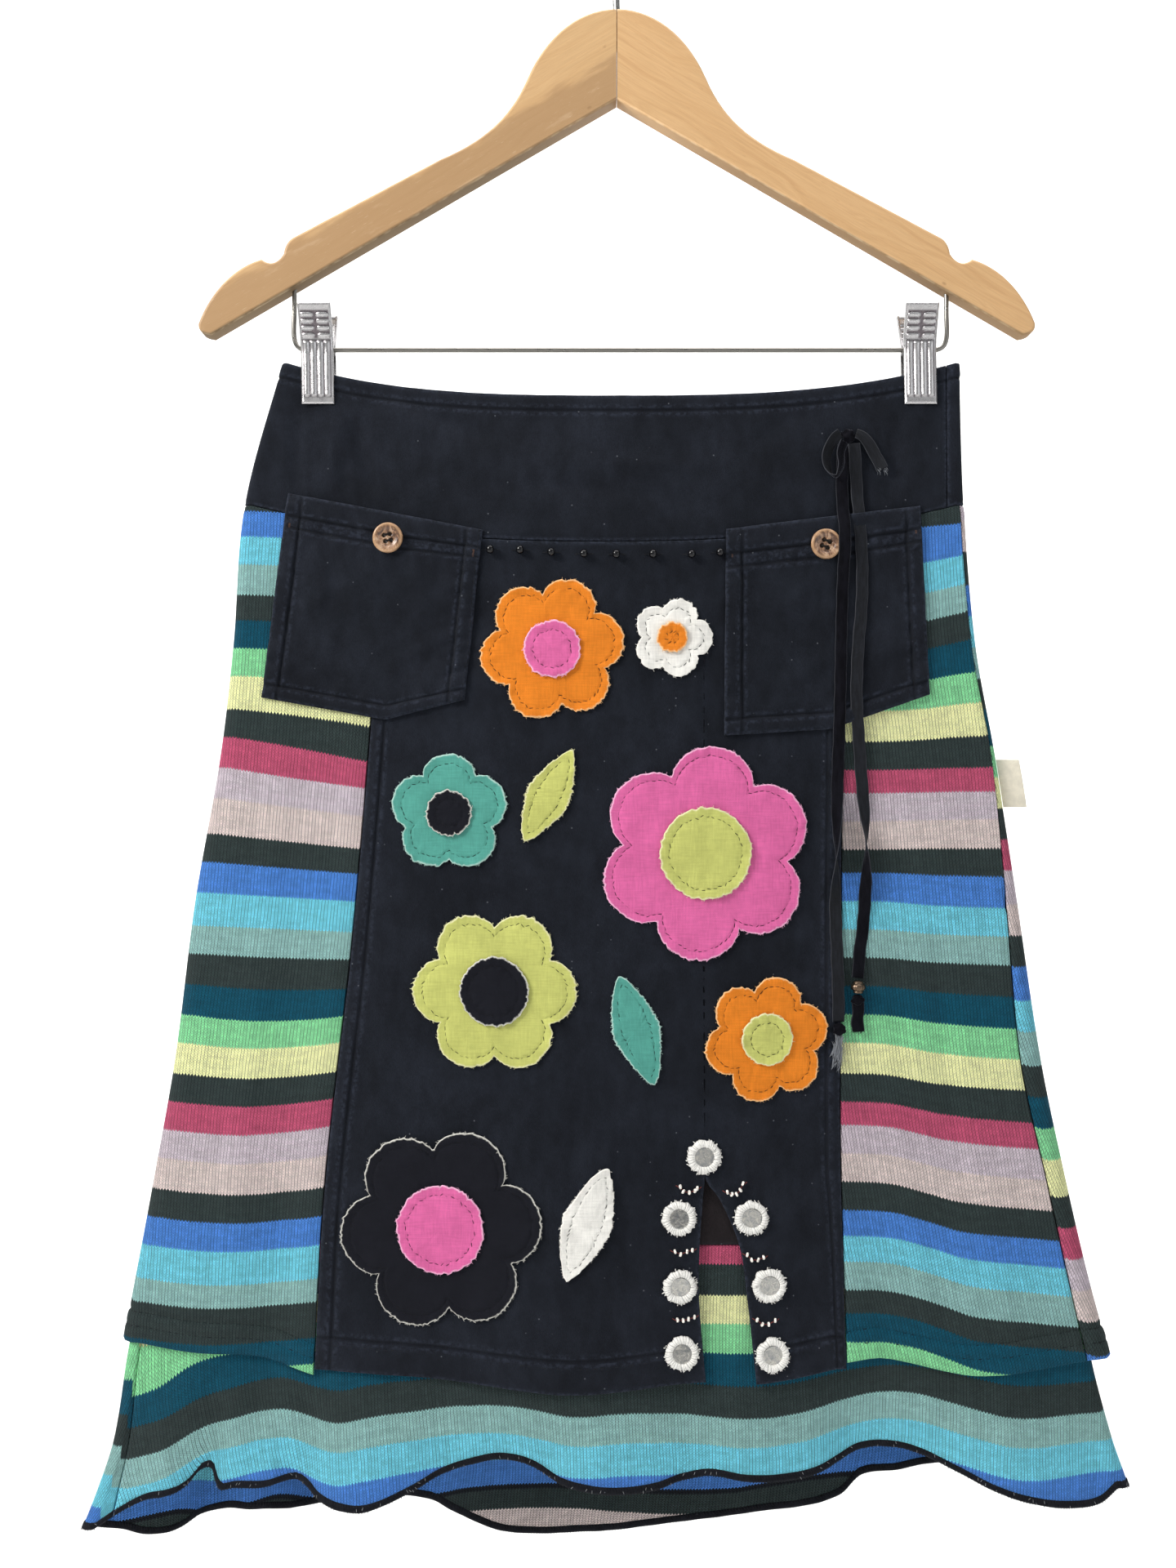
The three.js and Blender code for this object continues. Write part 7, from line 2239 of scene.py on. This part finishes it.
def clip_relief(a, h):
    """How far a clip's face stands out, at a across and h above its lip."""
    total = np.zeros(np.broadcast(a, h).shape)
    for up in PILLS["up"]:
        for middle in PILLS["across"]:
            inside = 1 - np.abs((a - middle) / PILLS["half_wide"]) ** 4 - np.abs((h - up) / PILLS["half_high"]) ** 2
            total = np.maximum(total, PILLS["proud"] * np.clip(inside, 0, 1) ** 0.5)
    ends = np.clip((h - FLUTES["low"]) / 0.8, 0, 1) * np.clip((FLUTES["high"] - h) / 1.2, 0, 1)
    for middle in FLUTES["across"]:
        inside = 1 - ((a - middle) / FLUTES["half_wide"]) ** 2
        total = np.maximum(total, FLUTES["proud"] * np.clip(inside, 0, 1) ** 0.6 * ends)
    return total


class SKIRT_OT_clips(bpy.types.Operator):
    """Build the two embossed spring clips"""
    bl_idname = "skirt.clips"
    bl_label = "Clips"

    def execute(self, context):
        steel, spring_steel = metal_finish("clip_steel", "#c2c0c1", 0.22, 0.05, metallic=0.85), bar_steel()
        plain = Layer(SKIRT, lambda face, s, x, z: 0.0 * x)
        width, sheet = CLIP["width"], CLIP["sheet"]
        for name, middle in CLIPS.items():
            corners = np.array([middle - width / 2, middle + width / 2])
            pinched = max(float((-plain.on_front(corners, np.full(2, z))[:, 1]).max())
                          for z in (CLIP["lip"], WAIST_SIDE - 8))
            lip_y = pinched + SEAM_GAP + sheet / 2
            pivot = SPRING["outer"] + SEAM_GAP + sheet / 2
            line = np.array([(lip_y + CLIP["flare"], CLIP["lip"]), (lip_y, CLIP["lip"] + 3), (lip_y, CLIP["lip"] + 10),
                             (pivot, WIRE["bar"] - 1), (pivot + 1, WIRE["bar"] + 5), (CLIP["splay"], CLIP["top"])])
            run = np.concatenate([[0], np.cumsum(np.hypot(*np.diff(line, axis=0).T))])
            tall = run[-1]

            def place(s, t, out, line=line, run=run, tall=tall, middle=middle):
                h = (1 - t) * tall
                ease = [np.interp(h + d, run, line[:, 0]) for d in (-1.5, 0, 1.5)]
                y = (ease[0] + 2 * ease[1] + ease[2]) / 4
                z = np.interp(h, run, line[:, 1])
                return np.stack(np.broadcast_arrays(middle + (s - 0.5) * width, -(y + out), z), axis=-1)

            nearest = lambda s, t: np.minimum.reduce([s * width, (1 - s) * width, t * tall, (1 - t) * tall])

            def face_out(s, t):
                box = 0.9 * np.clip(nearest(s, t) / 1.1, 0, 1) ** 0.7
                return box + clip_relief((s - 0.5) * width, (1 - t) * tall)

            near_edge = np.array([0.12, 0.4, 0.8, 1.2])
            s, t = np.meshgrid(*(
                np.unique(np.concatenate(
                    [np.linspace(0, 1, int(full / pitch)), near_edge / full, 1 - near_edge / full]))
                for full, pitch in ((width, 0.46), (tall, 0.5))))
            front = place(s, t, sheet / 2 - 0.25 + face_out(s, t)).reshape(-1, 3)
            back = place(s, t, -sheet / 2 + np.maximum(face_out(s, t) - 0.35, 0) * 0.9).reshape(-1, 3)
            rows, columns = s.shape
            faces = grid_faces(rows, columns)[:, ::-1].tolist()
            faces += (grid_faces(rows, columns) + rows * columns).tolist()
            loop = ([(0, j) for j in range(columns)] + [(i, columns - 1) for i in range(1, rows)]
                    + [(rows - 1, j) for j in range(columns - 2, -1, -1)] + [(i, 0) for i in range(rows - 2, 0, -1)])
            ids = [i * columns + j for i, j in loop]
            for a, b in zip(ids, ids[1:] + ids[:1]):
                faces.append([a, b, b + rows * columns, a + rows * columns])
            plate = (np.concatenate([front, back]), faces)

            # The side cheeks, which reach in to the bar.
            cheeks = []
            profile = [(y, z) for y, z in line[3:]] + [
                (CLIP["splay"] - CLIP["flange"], CLIP["top"]), (pivot - 1, WIRE["bar"] + 6),
                (WIRE["radius"] + SEAM_GAP, WIRE["bar"] + 3), (WIRE["radius"] + SEAM_GAP, WIRE["bar"] - 3)]
            for x in (corners[0] + 0.1, corners[1] - 0.1 - sheet):
                low = np.array([(x, -y, z) for y, z in profile])
                high = low + (sheet, 0, 0)
                n = len(profile)
                walls = [[k, (k + 1) % n, n + (k + 1) % n, n + k] for k in range(n)]
                cheeks.append((np.concatenate([low, high]), walls + [list(range(n))[::-1], list(range(n, 2 * n))]))
            body, faces = join([plate] + cheeks)
            body[:, 0] -= CLIP["lean"] * (body[:, 2] - WIRE["bar"])
            aside, high = (s - 0.5) * width, (1 - t) * tall
            framed = (np.clip((7.7 - np.abs(aside)) / 0.5, 0, 1) * np.clip((high - 3.4) / 0.6, 0, 1)
                      * np.clip((49.6 - high) / 0.6, 0, 1) * np.where((high > 33.9) & (high < 34.8), 0.3, 1))
            # hollow: painted shade in the grooves round the raised bars and flutes, and a little over the cheeks
            groove = (framed * np.clip(1.1 - clip_relief(aside, high) / 0.5, 0, 1)).ravel()
            hollow = np.zeros(len(body))
            hollow[:len(groove)] = groove
            hollow[2 * len(groove):] = 0.3
            for side, sign in (("front", 1), ("back", -1)):
                flipped = body * (1, sign, 1)
                made = put(clean(f"{name}_{side}_jaw", flipped, faces, [steel], values={"hollow": hollow}),
                           [f"{name}_{side}"])
                small = [len(p.vertices) == 4 and p.area < 2e-6 for p in made.data.polygons]
                made.data.polygons.foreach_set("use_smooth", small)

            # The coil spring, with a leg up each jaw.
            turns, radius = 7.5, 0.6
            mean = SPRING["outer"] - radius
            angle = np.linspace(0, turns * 2 * math.pi, 300)
            x = middle - SPRING["length"] / 2 + radius + (SPRING["length"] - 2 * radius) * angle / angle[-1]
            coil = np.stack([x, -mean * np.cos(angle), WIRE["bar"] + mean * np.sin(angle)], axis=-1)
            legs = [[(coil[0, 0], -5.4, WIRE["bar"] + 11), (coil[0, 0], -4.0, WIRE["bar"] + 5)],
                    [(coil[-1, 0], 4.0, WIRE["bar"] + 5), (coil[-1, 0], 5.4, WIRE["bar"] + 11)]]
            body, faces = wire(np.concatenate([legs[0], coil[::5], legs[1]]), radius, 420, 10)
            put(clean(name + "_spring_coil", body, faces, [spring_steel]), [name + "_spring"])
        return {"FINISHED"}

# ------------------------------------------------------------------ the add-on


OPERATORS = (
    SKIRT_OT_stage, SKIRT_OT_ties, SKIRT_OT_panels, SKIRT_OT_knit, SKIRT_OT_underskirt, SKIRT_OT_flounce,
    SKIRT_OT_pockets, SKIRT_OT_buttons, SKIRT_OT_beads, SKIRT_OT_mirrors, SKIRT_OT_patches, SKIRT_OT_label,
    SKIRT_OT_hanger, SKIRT_OT_clips,
)


class SKIRT_PT_sidebar(bpy.types.Panel):
    """Sizes, colours and the steps that build the skirt"""
    bl_idname = "SKIRT_PT_sidebar"
    bl_label = "Midi skirt"
    bl_space_type = "VIEW_3D"
    bl_region_type = "UI"
    bl_category = "Skirt"

    def draw(self, context):
        scene = context.scene
        for group in (scene.skirt_sizes, scene.skirt_colours, scene.stage_sizes):
            box = self.layout.box()
            for key in group.__annotations__:
                box.prop(group, key)
        for operator in OPERATORS:
            self.layout.operator(operator.bl_idname)


GROUPS = {"skirt_sizes": SkirtSizes, "skirt_colours": SkirtColours, "stage_sizes": StageSizes}


def register():
    for group in (*GROUPS.values(), *OPERATORS, SKIRT_PT_sidebar):
        bpy.utils.register_class(group)
    for name, group in GROUPS.items():
        setattr(bpy.types.Scene, name, PointerProperty(type=group))


def unregister():
    for name in GROUPS:
        delattr(bpy.types.Scene, name)
    for group in reversed((*GROUPS.values(), *OPERATORS, SKIRT_PT_sidebar)):
        bpy.utils.unregister_class(group)


def main():
    register()
    for operator in OPERATORS:
        call = getattr(bpy.ops.skirt, operator.bl_idname.split(".")[1])
        if call() != {"FINISHED"}:
            raise RuntimeError(f"{operator.bl_label} was not built")


if __name__ == "__main__":
    main()
